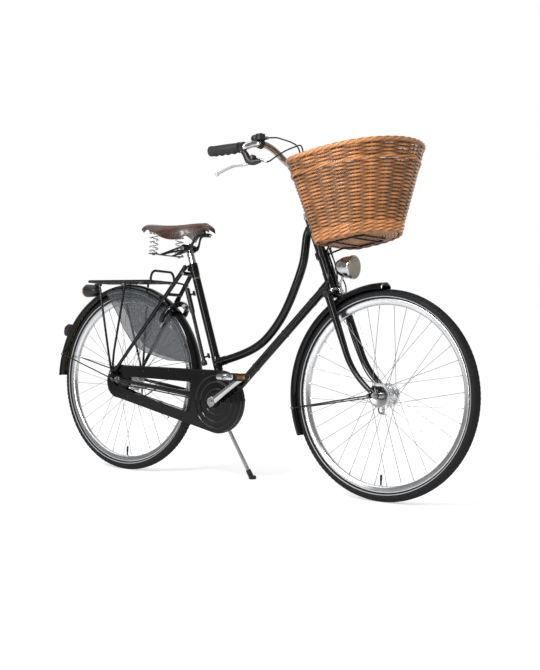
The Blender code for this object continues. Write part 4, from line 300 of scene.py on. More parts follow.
def tapered(
    points: Sequence[Vector],
    per_span: int,
    wide: Sequence[float],
    deep: Union[None, float, Sequence[float]],
    sides: int,
    side_on: Vector,
) -> Mesh:
    """Draw a smooth bar through a few points, whose size changes along it.

    Args:
        points: The points.
        per_span: How many points each span is cut into.
        wide: A few half widths, or radii, spread along the bar.
        deep: Its half depths, or None for a round bar.
        sides: How many sides the bar has.
        side_on: Where the half width points.

    Returns:
        A closed mesh.
    """
    route = smooth(points, per_span)
    sizes = along_sizes(wide, len(route)) if deep is None else ovals(wide, deep, len(route))
    return sweep(route, sizes, sides, side_on)


def lathe(
    profile: Sequence[tuple[float, float]],
    centre: Vector,
    axis: Vector,
    steps: int = 32,
    ring: bool = False,
    start: Optional[Vector] = None,
) -> Mesh:
    """Turn a profile about an axis.

    Args:
        profile: Radius and height along the axis of each point.
        centre: Where height is 0.
        axis: The axis to turn about.
        steps: How many steps the turn has.
        ring: Whether the profile closes on itself.
        start: Where the first step lies.

    Returns:
        A closed mesh.
    """
    bm = bmesh.new()
    verts = [bm.verts.new((radius, 0.0, height)) for radius, height in profile]
    pairs = list(zip(verts, verts[1:]))
    if ring:
        pairs.append((verts[-1], verts[0]))
    edges = [bm.edges.new(pair) for pair in pairs]
    bmesh.ops.spin(
        bm, geom=verts + edges, cent=(0, 0, 0), axis=(0, 0, 1), angle=tau, steps=steps, use_merge=True
    )
    turn = turn_to(axis, start or square_to(axis))
    bm.transform(Matrix.Translation(centre) @ turn.to_4x4())
    return closed(bm)


def rod(
    start: Vector, end: Vector, radius: float, sides: int = 16, end_radius: float = 0.0,
    edge: float = 0.0004,
) -> Mesh:
    """Return a straight bar with eased edges, which may taper.

    Args:
        start: Middle of one end.
        end: Middle of the other end.
        radius: Its radius at the start.
        sides: How many sides it has.
        end_radius: Its radius at the end, or 0 for the same.
        edge: How wide the eased edge is.

    Returns:
        A closed mesh.
    """
    length = (end - start).length
    last = end_radius or radius
    profile = [(0.0, 0.0), (radius - edge, 0.0), (radius, edge), (last, length - edge)]
    return lathe([*profile, (last - edge, length), (0.0, length)], start, end - start, sides)


def disc(
    centre: Vector, axis: Vector, radius: float, low: float, high: float, sides: int = 32,
    edge: float = 0.0005,
) -> Mesh:
    """Return a round plate between two heights along an axis, with eased edges."""
    way = axis.normalized()
    return rod(centre + way * low, centre + way * high, radius, sides, edge=edge)


def hexagon(centre: Vector, axis: Vector, radius: float, low: float, high: float) -> Mesh:
    """Return a nut or bolt head with chamfered corners.

    Args:
        centre: The point that low and high are measured from.
        axis: Its axis.
        radius: From the middle to a corner.
        low: Where its inner face lies.
        high: Where its outer face lies.

    Returns:
        A closed mesh.
    """
    step = min(0.0008, (high - low) * 0.3)
    profile = [
        (0.0, low), (radius - step, low), (radius, low + step), (radius, high - step),
        (radius - step, high),
    ]
    return lathe([*profile, (0.0, high)], centre, axis, 6)


def washer(
    centre: Vector, axis: Vector, inner: float, outer: float, low: float, high: float, sides: int = 32,
) -> Mesh:
    """Return a flat ring with eased outer edges.

    Args:
        centre: The point that low and high are measured from.
        axis: Its axis.
        inner: Radius of the hole.
        outer: Its outer radius.
        low: Where its inner face lies.
        high: Where its outer face lies.
        sides: How many sides it has.

    Returns:
        A closed mesh.
    """
    ease = min(0.0004, (high - low) * 0.3)
    profile = [
        (inner, low), (outer - ease, low), (outer, low + ease), (outer, high - ease), (outer - ease, high),
    ]
    return lathe([*profile, (inner, high)], centre, axis, sides, ring=True)


def collar(
    centre: Vector, axis: Vector, radii: Sequence[float], ends: Sequence[float], steps: int = 32,
) -> Mesh:
    """Build a ring round a bar with eased rims.

    Args:
        centre: Its middle.
        axis: The bar's direction.
        radii: Radius of its bore, of its end faces' rims and of its outer face.
        ends: Half its length at the end faces and at the outer face's rims.
        steps: How many steps the turn has.

    Returns:
        A closed mesh.
    """
    (bore, rim, outer), (end, ease) = radii, ends
    profile = [(bore, -end), (rim, -end), (outer, -ease), (outer, ease), (rim, end), (bore, end)]
    return lathe(profile, centre, axis, steps, ring=True)


def plate(outline: Sequence[Vector], through: Vector, edge: float = 0.0004) -> Mesh:
    """Return a flat plate with eased edges.

    Args:
        outline: The plate's outline, in one plane.
        through: Which way and how thick the plate is.
        edge: The width of its eased edges.

    Returns:
        A closed mesh.
    """
    bm = bmesh.new()
    face = bm.faces.new([bm.verts.new(point) for point in outline])
    grown = bmesh.ops.extrude_face_region(bm, geom=[face])["geom"]
    bmesh.ops.translate(bm, vec=through, verts=[g for g in grown if isinstance(g, bmesh.types.BMVert)])
    return eased(closed(bm), edge)


def eased(bm: Mesh, width: float, segments: int = 2, angle: float = 40.0) -> Mesh:
    """Bevel the sharp edges of a mesh.

    Args:
        bm: The mesh.
        width: How wide the bevel is; 0 leaves the mesh alone.
        segments: Into how many strips it is cut.
        angle: The least angle of an edge that is bevelled, in degrees.

    Returns:
        The same mesh.
    """
    if width > 0.0:
        limit = radians(angle)
        edges = [e for e in bm.edges if len(e.link_faces) == 2 and e.calc_face_angle() > limit]
        bmesh.ops.bevel(
            bm, geom=edges, offset=width, offset_type="OFFSET", segments=segments, profile=0.5,
            affect="EDGES", clamp_overlap=True, material=-1,
        )
    return bm


def block(
    centre: Vector, size: Sequence[float], turn: Optional[Matrix] = None, edge: float = 0.0006,
) -> Mesh:
    """Return a box with eased edges, turned by a rotation if one is given.

    Args:
        centre: Its middle.
        size: Its length along each axis.
        turn: Its rotation, or None.
        edge: How wide the eased edge is.

    Returns:
        A closed mesh.
    """
    bm = bmesh.new()
    bmesh.ops.create_cube(bm, size=1.0)
    bmesh.ops.scale(bm, vec=size, verts=bm.verts[:])
    eased(bm, edge)
    bm.transform(Matrix.Translation(centre) @ (turn or Matrix.Identity(3)).to_4x4())
    return closed(bm)


def ball(centre: Vector, radius: float, flat: Sequence[float] = (1.0, 1.0, 1.0), level: int = 3) -> Mesh:
    """Return a round or flattened ball.

    Args:
        centre: Its middle.
        radius: Its radius.
        flat: Its scale along each axis.
        level: How finely it is divided.

    Returns:
        A closed mesh.
    """
    bm = bmesh.new()
    bmesh.ops.create_icosphere(bm, subdivisions=level, radius=radius)
    bmesh.ops.scale(bm, vec=flat, verts=bm.verts[:])
    bmesh.ops.translate(bm, vec=centre, verts=bm.verts[:])
    return bm


def sheet(rows: int, columns: int, shape: Callable[[float, float], Vector], thickness: float) -> Mesh:
    """Bend a grid into a curved plate.

    Args:
        rows: How many faces the grid has along its first way.
        columns: How many it has along the other.
        shape: The place of a point from its two shares, each 0 to 1.
        thickness: The plate's thickness, inwards when positive.

    Returns:
        A closed mesh.
    """
    bm = bmesh.new()
    bmesh.ops.create_grid(bm, x_segments=rows, y_segments=columns, size=0.5)
    for vert in bm.verts:
        vert.co = shape(vert.co.x + 0.5, vert.co.y + 0.5)
    bmesh.ops.recalc_face_normals(bm, faces=bm.faces[:])
    bmesh.ops.solidify(bm, geom=bm.faces[:], thickness=thickness)
    return closed(bm)


def gather(*parts: Mesh) -> Mesh:
    """Put several meshes into one.

    Args:
        *parts: The meshes, which are freed.

    Returns:
        One mesh with all of them.
    """
    whole = bmesh.new()
    for part in parts:
        mesh = bpy.data.meshes.new("part")
        part.to_mesh(mesh)
        part.free()
        whole.from_mesh(mesh)
        bpy.data.meshes.remove(mesh)
    return whole


def moved(bm: Mesh, place: Matrix) -> Mesh:
    """Return a placed copy of a mesh.

    Args:
        bm: The mesh.
        place: Its move.

    Returns:
        The copy.
    """
    twin = bm.copy()
    twin.transform(place)
    return twin


def arc(
    centre: Vector, first: Vector, second: Vector, radius: float, start: float, end: float, steps: int,
) -> list[Vector]:
    """Return points along an arc in the plane of two directions.

    Args:
        centre: The arc's middle.
        first: The direction of angle 0.
        second: The direction of a quarter turn.
        radius: Its radius.
        start: Its first angle.
        end: Its last angle.
        steps: Into how many steps it is cut.

    Returns:
        The points with both ends.
    """
    made = []
    for k in range(steps + 1):
        angle = start + (end - start) * k / steps
        made.append(centre + (first * cos(angle) + second * sin(angle)) * radius)
    return made


def belt(
    first: Vector, first_r: float, second: Vector, second_r: float, front: int, rear: int,
) -> list[Vector]:
    """Return the outline of a belt round two discs in the wheel's plane, the first one in front.

    Args:
        first: The front disc's middle.
        first_r: Its radius.
        second: The rear disc's middle.
        second_r: Its radius.
        front: How many steps run round the front disc.
        rear: How many steps run round the rear disc.

    Returns:
        The points of the closed outline.
    """
    gap = first - second
    lean = atan2(gap.z, gap.x)
    splay = acos((first_r - second_r) / hypot(gap.x, gap.z))
    made = arc(first, FORE, UP, first_r, lean - splay, lean + splay, front)
    return made + arc(second, FORE, UP, second_r, lean + splay, lean + tau - splay, rear)


# Finishes


class Sock:
    """An output socket, on which Python's operators add Math nodes."""

    def __init__(self, graph: "Graph", socket: bpy.types.NodeSocket) -> None:
        """Keep the socket and the node tree that it belongs to."""
        self.graph = graph
        self.socket = socket

    def math(self, operation: str, first: Number, second: Number) -> "Sock":
        """Return the outcome of one Math node."""
        return self.graph.add("ShaderNodeMath", {"operation": operation}, {0: first, 1: second})

    def __add__(self, other: Number) -> "Sock":
        """Return the sum."""
        return self.math("ADD", self, other)

    def __radd__(self, other: Number) -> "Sock":
        """Return the sum."""
        return self.math("ADD", other, self)

    def __sub__(self, other: Number) -> "Sock":
        """Return the difference."""
        return self.math("SUBTRACT", self, other)

    def __rsub__(self, other: Number) -> "Sock":
        """Return the difference from a number."""
        return self.math("SUBTRACT", other, self)

    def __mul__(self, other: Number) -> "Sock":
        """Return the product."""
        return self.math("MULTIPLY", self, other)

    def __rmul__(self, other: Number) -> "Sock":
        """Return the product."""
        return self.math("MULTIPLY", other, self)

    def __truediv__(self, other: Number) -> "Sock":
        """Return the quotient."""
        return self.math("DIVIDE", self, other)

    def above(self, low: float, high: float) -> "Sock":
        """Return 0 below low, 1 above high and a straight run between them.

        Args:
            low: Where the run starts.
            high: Where it ends.

        Returns:
            The limited value.
        """
        return self.graph.add(
            "ShaderNodeMapRange", {"clamp": True}, {0: self, 1: low, 2: high, 3: 0.0, 4: 1.0},
        )


class Graph:
    """The node tree of a material or a world, to which nodes are added one by one."""

    def __init__(self, owner: Union[bpy.types.Material, bpy.types.World]) -> None:
        """Turn on the owner's nodes and keep its shader.

        Args:
            owner: The material or the world.
        """
        owner.use_nodes = True
        self.owner = owner
        self.tree = owner.node_tree
        kinds = ("BSDF_PRINCIPLED", "BACKGROUND")
        self.shader = next(node for node in self.tree.nodes if node.type in kinds)

    def set(self, node: bpy.types.Node, inputs: dict) -> None:
        """Fill a node's sockets with values or links.

        Args:
            node: The node.
            inputs: A value or a link for each socket's name or number.
        """
        for key, value in inputs.items():
            if isinstance(value, Sock):
                self.tree.links.new(value.socket, node.inputs[key])
            elif value is not None:
                node.inputs[key].default_value = value

    def add(self, kind: str, settings: dict, inputs: dict, output: Union[int, str] = 0) -> Sock:
        """Add one node.

        Args:
            kind: The node's type.
            settings: Its settings; "stops" are a ramp's positions and colours.
            inputs: Values or links by socket name or number.
            output: Which output to return.

        Returns:
            The chosen output.
        """
        node = self.tree.nodes.new(kind)
        for key, value in settings.items():
            if key == "stops":
                ramp = node.color_ramp
                while len(ramp.elements) < len(value):
                    ramp.elements.new(1.0)
                for element, (position, colour) in zip(ramp.elements, value):
                    element.position = position
                    element.color = (*colour, 1.0)
            else:
                setattr(node, key, value)
        self.set(node, inputs)
        return Sock(self, node.outputs[output])

    def coords(self, scale: Sequence[float] = (1.0, 1.0, 1.0)) -> Sock:
        """Return Object coordinates, stretched if a scale is given."""
        place = self.add("ShaderNodeTexCoord", {}, {}, "Object")
        return self.add("ShaderNodeMapping", {}, {"Vector": place, "Scale": tuple(scale)})

    def ray(self, kind: str) -> Sock:
        """Return 1 where a ray of this kind looks at the surface, otherwise 0."""
        return self.add("ShaderNodeLightPath", {}, {}, f"Is {kind} Ray")

    def noise(self, where: Sock, scale: float, detail: float = 3.0) -> Sock:
        """Return a noise value between about 0.3 and 0.7."""
        return self.add("ShaderNodeTexNoise", {}, {"Vector": where, "Scale": scale, "Detail": detail}, 0)

    def blend(
        self, share: Number, first: Union[Sock, Sequence[float]], second: Union[Sock, Sequence[float]],
    ) -> Sock:
        """Return a colour between two others."""
        pair = [c if isinstance(c, Sock) else (*c, 1.0) for c in (first, second)]
        return self.add("ShaderNodeMix", {"data_type": "RGBA"}, {0: share, 6: pair[0], 7: pair[1]}, 2)

    def bump(self, height: Sock, depth: float, strength: float = 1.0) -> Sock:
        """Return a normal bent by a height."""
        inputs = {"Strength": strength, "Distance": depth, "Height": height}
        return self.add("ShaderNodeBump", {}, inputs, "Normal")


class Pattern(Enum):
    """What the surface of a finish shows close up."""

    ENAMEL = "sprayed and baked paint"
    POLISHED = "bright metal with faint marks"
    BRUSHED = "metal with fine lines round the wheel"
    MOULDED = "finely pitted plastic or rubber"
    HIDE = "leather grain"
    WILLOW = "peeled willow with a thin varnish"
    CLEAR = "plain and see-through"


@dataclass(frozen=True)
class Finish:
    """One finish: a Principled material whose colour, roughness and relief vary over the surface."""

    name: str
    slot: str
    pattern: Pattern
    colour: tuple[float, float, float]
    second: tuple[float, float, float]
    roughness: float
    rough_spread: float = 0.08
    metallic: float = 0.0
    coat: float = 0.0
    specular: float = 0.5
    alpha: float = 1.0
    transmission: float = 0.0
    scale: float = 60.0
    relief: float = 0.00004

    def material(self) -> bpy.types.Material:
        """Return the finish's material, made once.

        Returns:
            The material.
        """
        label = f"{self.name}_finish"
        known = bpy.data.materials.get(label)
        if known:
            return known
        graph = Graph(bpy.data.materials.new(label))
        where = graph.coords()
        broad = graph.noise(where, 9.0, 5.0).above(0.35, 0.65)
        fine = graph.noise(where, self.scale, 6.0)
        tone, height = self.look(graph, where, broad, fine)
        inputs = {
            "Base Color": graph.blend(tone, self.colour, self.second),
            "Roughness": self.roughness
            + (broad - 0.5) * self.rough_spread
            + (fine - 0.5) * self.rough_spread,
            "Metallic": self.metallic, "Specular IOR Level": self.specular, "Coat Weight": self.coat,
            "Coat Roughness": 0.04, "Transmission Weight": self.transmission, "Alpha": self.alpha,
            "Normal": graph.bump(height, self.relief),
        }
        graph.set(graph.shader, inputs)
        return graph.owner

    def look(self, graph: Graph, where: Sock, broad: Sock, fine: Sock) -> tuple[Sock, Sock]:
        """Return the share of the second colour and the height of the relief.

        Args:
            graph: The material's node tree.
            where: The place on the piece.
            broad: Slow noise.
            fine: Noise at the finish's scale.

        Returns:
            The share and the height.
        """
        if self.pattern is Pattern.HIDE:
            cells = graph.add(
                "ShaderNodeTexVoronoi", {}, {"Vector": where, "Scale": self.scale * 6}, "Distance",
            )
            worn = graph.noise(where, 22.0, 6.0).above(0.38, 0.66)
            return worn * 0.75 + fine * 0.25, cells * 0.7 + fine
        if self.pattern is Pattern.WILLOW:
            # The "tone" attribute holds each strand's own tone together with painted shade where strands
            # pass inside; the noise adds random ageing.
            strand = graph.add("ShaderNodeAttribute", {"attribute_name": "tone"}, {}, "Fac")
            aged = 0.62 + graph.noise(where, 7.0, 3.0).above(0.38, 0.62) * 0.38
            return (strand * 0.85 + fine.above(0.3, 0.7) * 0.15) * aged, fine
        if self.pattern is Pattern.BRUSHED:
            lines = graph.noise(graph.coords((1.0, 14.0, 1.0)), self.scale, 4.0)
            return broad * 0.5 + lines * 0.3, lines
        if self.pattern is Pattern.MOULDED:
            pits = graph.noise(where, self.scale * 18.0, 2.0)
            return broad * 0.6 + pits * 0.3, pits
        return broad * 0.7 + fine * 0.2, fine


BLACK = Finish(
    "black_enamel", "black_enamel", Pattern.ENAMEL, (0.004, 0.004, 0.0044), (0.007, 0.007, 0.0076), 0.08,
    rough_spread=0.03, coat=0.3, specular=0.25, scale=170.0, relief=0.00003,
)
CHROME = Finish(
    "chrome", "chrome", Pattern.POLISHED, (0.7, 0.7, 0.71), (0.62, 0.62, 0.64), 0.1,
    rough_spread=0.07, metallic=1.0, scale=120.0, relief=0.00001,
)
ALLOY = Finish(
    "polished_alloy", "alloy", Pattern.BRUSHED, (0.84, 0.84, 0.85), (0.66, 0.67, 0.69), 0.22,
    rough_spread=0.12, metallic=1.0, scale=240.0, relief=0.00002,
)
STEEL = Finish(
    "plated_steel", "steel", Pattern.POLISHED, (0.5, 0.5, 0.5), (0.36, 0.36, 0.37), 0.3,
    rough_spread=0.14, metallic=1.0, scale=150.0, relief=0.00003,
)
DARK_STEEL = Finish(
    "oiled_steel", "steel", Pattern.POLISHED, (0.16, 0.155, 0.15), (0.09, 0.085, 0.08), 0.38,
    metallic=1.0, scale=150.0,
)
TYRE = Finish(
    "tyre_rubber", "tyre_rubber", Pattern.MOULDED, (0.005, 0.005, 0.006), (0.011, 0.011, 0.012), 0.6,
    rough_spread=0.16, specular=0.3, scale=70.0, relief=0.00008,
)
RUBBER = Finish(
    "black_rubber", "black_rubber", Pattern.MOULDED, (0.011, 0.011, 0.012), (0.021, 0.021, 0.022), 0.58,
    rough_spread=0.14, scale=90.0, relief=0.00006,
)
PLASTIC = Finish(
    "black_plastic", "black_plastic", Pattern.MOULDED, (0.01, 0.01, 0.011), (0.019, 0.019, 0.02), 0.36,
    rough_spread=0.1, scale=60.0, relief=0.00003,
)
HIDE = Finish(
    "brown_leather", "brown_leather", Pattern.HIDE, (0.026, 0.008, 0.005), (0.105, 0.033, 0.017), 0.34,
    rough_spread=0.18, coat=0.35, scale=150.0, relief=0.00016,
)
STRAP_HIDE = Finish(
    "strap_leather", "brown_leather", Pattern.HIDE, (0.15, 0.058, 0.022), (0.27, 0.115, 0.045), 0.48,
    rough_spread=0.15, scale=170.0, relief=0.00012,
)
# The near-black first colour is mostly painted shade, reached where the weave's tone attribute darkens
# strands that pass inside; blended with the second colour it also gives the willow's own random tone.
WILLOW = Finish(
    "willow", "wicker", Pattern.WILLOW, (0.026, 0.007, 0.002), (0.98, 0.41, 0.14), 0.33,
    rough_spread=0.2, coat=0.3, scale=130.0, relief=0.00014,
)
SMOKE = Finish(
    "smoked_panel", "smoked_panel", Pattern.CLEAR, (0.085, 0.092, 0.102), (0.1, 0.108, 0.118), 0.24,
    rough_spread=0.03, alpha=0.5, scale=60.0, relief=0.00001,
)
CLEAR = Finish(
    "clear_lens", "clear_lens", Pattern.CLEAR, (0.8, 0.83, 0.84), (0.88, 0.9, 0.9), 0.06,
    rough_spread=0.03, alpha=0.35, scale=60.0, relief=0.00001,
)
LENS = Finish(
    "fluted_lens", "clear_lens", Pattern.BRUSHED, (0.56, 0.5, 0.4), (0.3, 0.26, 0.2), 0.16,
    rough_spread=0.05, alpha=0.6, scale=150.0, relief=0.0006,
)
RED = Finish(
    "red_lens", "red_lens", Pattern.CLEAR, (0.43, 0.008, 0.008), (0.52, 0.014, 0.012), 0.12,
    rough_spread=0.05, coat=0.6, scale=60.0, relief=0.00001,
)
AMBER = Finish(
    "amber_reflector", "red_lens", Pattern.CLEAR, (0.26, 0.09, 0.012), (0.36, 0.14, 0.02), 0.14,
    rough_spread=0.05, coat=0.6, scale=60.0, relief=0.00001,
)
GOLD = Finish(
    "gold_line", "black_enamel", Pattern.ENAMEL, (0.56, 0.4, 0.15), (0.64, 0.46, 0.19), 0.34,
    scale=90.0, relief=0.00001,
)
STRIPE = Finish(
    "reflecting_stripe", "tyre_rubber", Pattern.MOULDED, (0.42, 0.43, 0.45), (0.5, 0.51, 0.53), 0.4,
    scale=90.0, relief=0.00002,
)
PIPING = Finish(
    "pale_piping", "black_plastic", Pattern.MOULDED, (0.3, 0.3, 0.3), (0.38, 0.38, 0.38), 0.5,
    scale=90.0,
)


@dataclass
class Bench:
    """Finishes each piece: leans it with the bicycle, dresses it and sets it on its body."""

    place: Matrix
    nodes: dict

    def make(
        self,
        name: str,
        shape: Union[Mesh, list[Mesh]],
        look: Finish,
        body: str,
        *replaced: str,
        sharp: float = 35.0,
        leaned: bool = True,
    ) -> bpy.types.Object:
        """Turn a mesh into a finished piece.

        Args:
            name: The piece's name.
            shape: Its mesh or meshes, which are used up.
            look: Its finish.
            body: The body that it rides on.
            replaced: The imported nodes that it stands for.
            sharp: The angle in degrees above which an edge stays sharp.
            leaned: Whether the mesh is still upright.

        Returns:
            The new object.
        """
        bm = gather(*shape) if isinstance(shape, list) else shape
        if leaned:
            bm.transform(self.place)
        mesh = bpy.data.meshes.new(name)
        bm.to_mesh(mesh)
        bm.free()
        mesh.shade_smooth()
        mesh.set_sharp_from_angle(angle=radians(sharp))
        mesh.materials.append(look.material())
        piece = bpy.data.objects.new(name, mesh)
        bpy.context.scene.collection.objects.link(piece)
        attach(piece, body)
        if replaced:
            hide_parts(*replaced)
        log.info("%s: %d faces, on %s", name, len(mesh.polygons), body)
        return piece

    def bend(self, piece: bpy.types.Object, first: str, second: str, start: Vector, end: Vector) -> None:
        """Take a piece off its body and bake its place into its mesh."""
        piece.parent = None
        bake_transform(piece)

    def carry(
        self, node: str, look: Finish, body: str, sharp: float = 52.0, edge: float = 0.0,
    ) -> bpy.types.Object:
        """Make a welded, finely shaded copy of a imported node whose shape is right.

        Args:
            node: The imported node.
            look: The copy's finish.
            body: The body that it rides on.
            sharp: The angle in degrees above which an edge stays sharp.
            edge: The width of its eased edges.

        Returns:
            The new object.
        """
        bm = bmesh.new()
        bm.from_mesh(self.nodes[node].data)
        bmesh.ops.remove_doubles(bm, verts=bm.verts[:], dist=1e-5)
        bmesh.ops.dissolve_limit(bm, angle_limit=radians(1.0), verts=bm.verts[:], edges=bm.edges[:])
        eased(bm, edge, 1, sharp)
        return self.make(f"{node}_body", bm, look, body, node, sharp=sharp, leaned=False)


# Wheels


@dataclass
class Wheel:
    """A tyre on a polished rim, thirty-six laced spokes and a drum brake hub."""

    bench: Bench
    word: str
    body: str
    axle: Vector
    hub_half: float
    flange_r: float
    barrel_r: float
    tyre_r: float = WHEEL_R
    section: float = 0.0175
    rim_base: float = 0.283
    spoke_r: float = 0.00095
    spoke_count: int = 36
    spoke_turn: float = radians(52)
    stagger: float = 0.0016
    flange_t: float = 0.0048
    bead: Rows = ((0.2928, 0.0088), (0.299, 0.0094), (0.3026, 0.0098))
    rim_wall: Rows = (
        (0.283, 0.004), (0.2836, 0.0062), (0.2856, 0.0082), (0.289, 0.0098), (0.293, 0.0112),
        (0.2985, 0.0118), (0.301, 0.01225), (0.302, 0.0119), (0.3018, 0.0107), (0.2985, 0.0102),
        (0.2935, 0.0097), (0.2922, 0.007),
    )
    valve: Rows = (
        (0.0, 0.0), (0.003, 0.0), (0.003, 0.016), (0.0038, 0.017), (0.0038, 0.034), (0.003, 0.036),
        (0.0, 0.036),
    )
    nipple: Rows = (
        (0.0, -0.002), (0.0024, -0.002), (0.0024, 0.0), (0.0018, 0.0008), (0.0017, 0.011), (0.0, 0.0116),
    )

    def build(self) -> None:
        """Build and dress the whole wheel."""
        self.tyre()
        self.rim()
        self.hub()
        self.spokes()

    def tyre(self) -> None:
        """Carcass with three tread grooves, shoulder blocks and sidewall rings."""
        middle = self.tyre_r - self.section
        profile = [(radius, -side) for radius, side in self.bead]
        for k in range(-128, 129, 4):
            groove = 0.0008 if abs(abs(k) - 12) < 3 or abs(abs(k) - 30) < 3 or k == 0 else 0.0
            ridge = 0.0004 if abs(abs(k) - 104) < 3 else 0.0
            reach = self.section - groove - 0.0006 + ridge + (0.0006 if abs(k) < 40 else 0.0)
            turn = radians(k)
            profile.append((middle + reach * cos(turn), reach * sin(turn)))
        profile += reversed(self.bead)
        carcass = lathe(profile, self.axle, SIDE, ROUND_STEPS, ring=True, start=-UP)
        self.bench.make(f"{self.word}_tyre_carcass", carcass, TYRE, self.body, f"{self.word}_tyre")
        self.stripes(middle)
        blocks = []
        for side in (-1, 1):
            turn = radians(50) * side
            out = self.section - 0.0004
            spot = at(0.0, out * sin(turn), middle + out * cos(turn))
            tilt = Matrix.Rotation(-turn, 3, "X") @ Matrix.Rotation(radians(24) * side, 3, "Z")
            blocks.append(block(spot, (0.0062, 0.0088, 0.0016), tilt, 0.0003))
        pair = gather(*blocks)
        ring = [
            moved(
                pair,
                Matrix.Translation(self.axle) @ Matrix.Rotation(tau * (k + 0.5) / ROUND_STEPS, 4, "Y"),
            )
            for k in range(ROUND_STEPS)
        ]
        pair.free()
        self.bench.make(f"{self.word}_tyre_blocks", ring, TYRE, self.body)

    def stripes(self, middle: float) -> None:
        """Lay the thin reflecting stripe round each sidewall.

        Args:
            middle: Radius of the tyre section's middle.
        """
        made = []
        for side in (-1, 1):
            profile = []
            for reach, order in (
                (self.section - 0.0009, (106, 110, 114)), (self.section - 0.0003, (114, 110, 106)),
            ):
                for degrees in order:
                    turn = radians(degrees)
                    profile.append((middle + reach * cos(turn), side * reach * sin(turn)))
            made.append(lathe(profile, self.axle, SIDE, ROUND_STEPS, ring=True))
        self.bench.make(f"{self.word}_tyre_stripes", made, STRIPE, self.body)

    def rim(self) -> None:
        """Polished rim with hooked walls, spoke eyelets and the valve."""
        profile = [*self.rim_wall, *[(radius, -side) for radius, side in reversed(self.rim_wall)]]
        self.bench.make(
            f"{self.word}_rim_shell", lathe(profile, self.axle, SIDE, 144, ring=True, start=-UP), ALLOY,
            self.body, f"{self.word}_rim",
        )
        foot = self.axle - UP * (self.rim_base + 0.001)
        self.bench.make(f"{self.word}_valve", lathe(self.valve, foot, UP, 16), RUBBER, self.body)
        nut = hexagon(foot, UP, 0.0062, 0.0004, 0.0034)
        self.bench.make(f"{self.word}_valve_nut", nut, CHROME, self.body)

    def hub(self) -> None:
        """Turned hub shell with its two flanges."""
        h, f, b, t = self.hub_half, self.flange_r, self.barrel_r, self.flange_t
        half = [
            (0.0062, h - 0.0008), (0.012, h), (f - 0.01, h), (f - 0.0085, h + 0.0004),
            (f - 0.001, h + 0.0004),
        ]
        half += [(f, h - 0.0006), (f, h - t + 0.0006), (f - 0.0006, h - t), (b + 0.0016, h - t - 0.0004)]
        half += [(b, h - t - 0.003), (b - 0.0006, h * 0.35), (b - 0.001, 0.0)]
        profile = [(r, -y) for r, y in half] + [(r, y) for r, y in reversed(half[:-1])]
        self.bench.make(
            f"{self.word}_hub_shell", lathe(profile, self.axle, SIDE, 64, ring=True), ALLOY, self.body,
            f"{self.word}_hub",
        )

    def spokes(self) -> None:
        """Crossed spokes with their heads in the flanges and nipples in the rim."""
        wires = []
        nipples = []
        for k in range(self.spoke_count):
            side = 1 if k % 2 else -1
            twist = 1 if (k // 2) % 2 else -1
            end = tau * (k + 0.5) / self.spoke_count
            root = end + self.spoke_turn * twist
            across = side * (self.hub_half - self.flange_t / 2) + twist * self.stagger
            first = self.axle + at(sin(root), 0.0, -cos(root)) * (self.flange_r - 0.0045)
            first += SIDE * across
            last = self.axle + at(sin(end), 0.0, -cos(end)) * (self.rim_base + 0.0008) + SIDE * side * 0.003
            aim = (last - first).normalized()
            wires.append(rod(first, last, self.spoke_r, 8, edge=0.0001))
            head = first + SIDE * side * twist * 0.0026
            wires.append(ball(head, 0.0019, (1.0, 0.6, 1.0), 2))
            wires.append(rod(first, head, self.spoke_r, 6, edge=0.0001))
            nipples.append(lathe(self.nipple, last, -aim, 8))
        self.bench.make(f"{self.word}_spokes", wires, STEEL, self.body)
        self.bench.make(f"{self.word}_nipples", nipples, ALLOY, self.body)


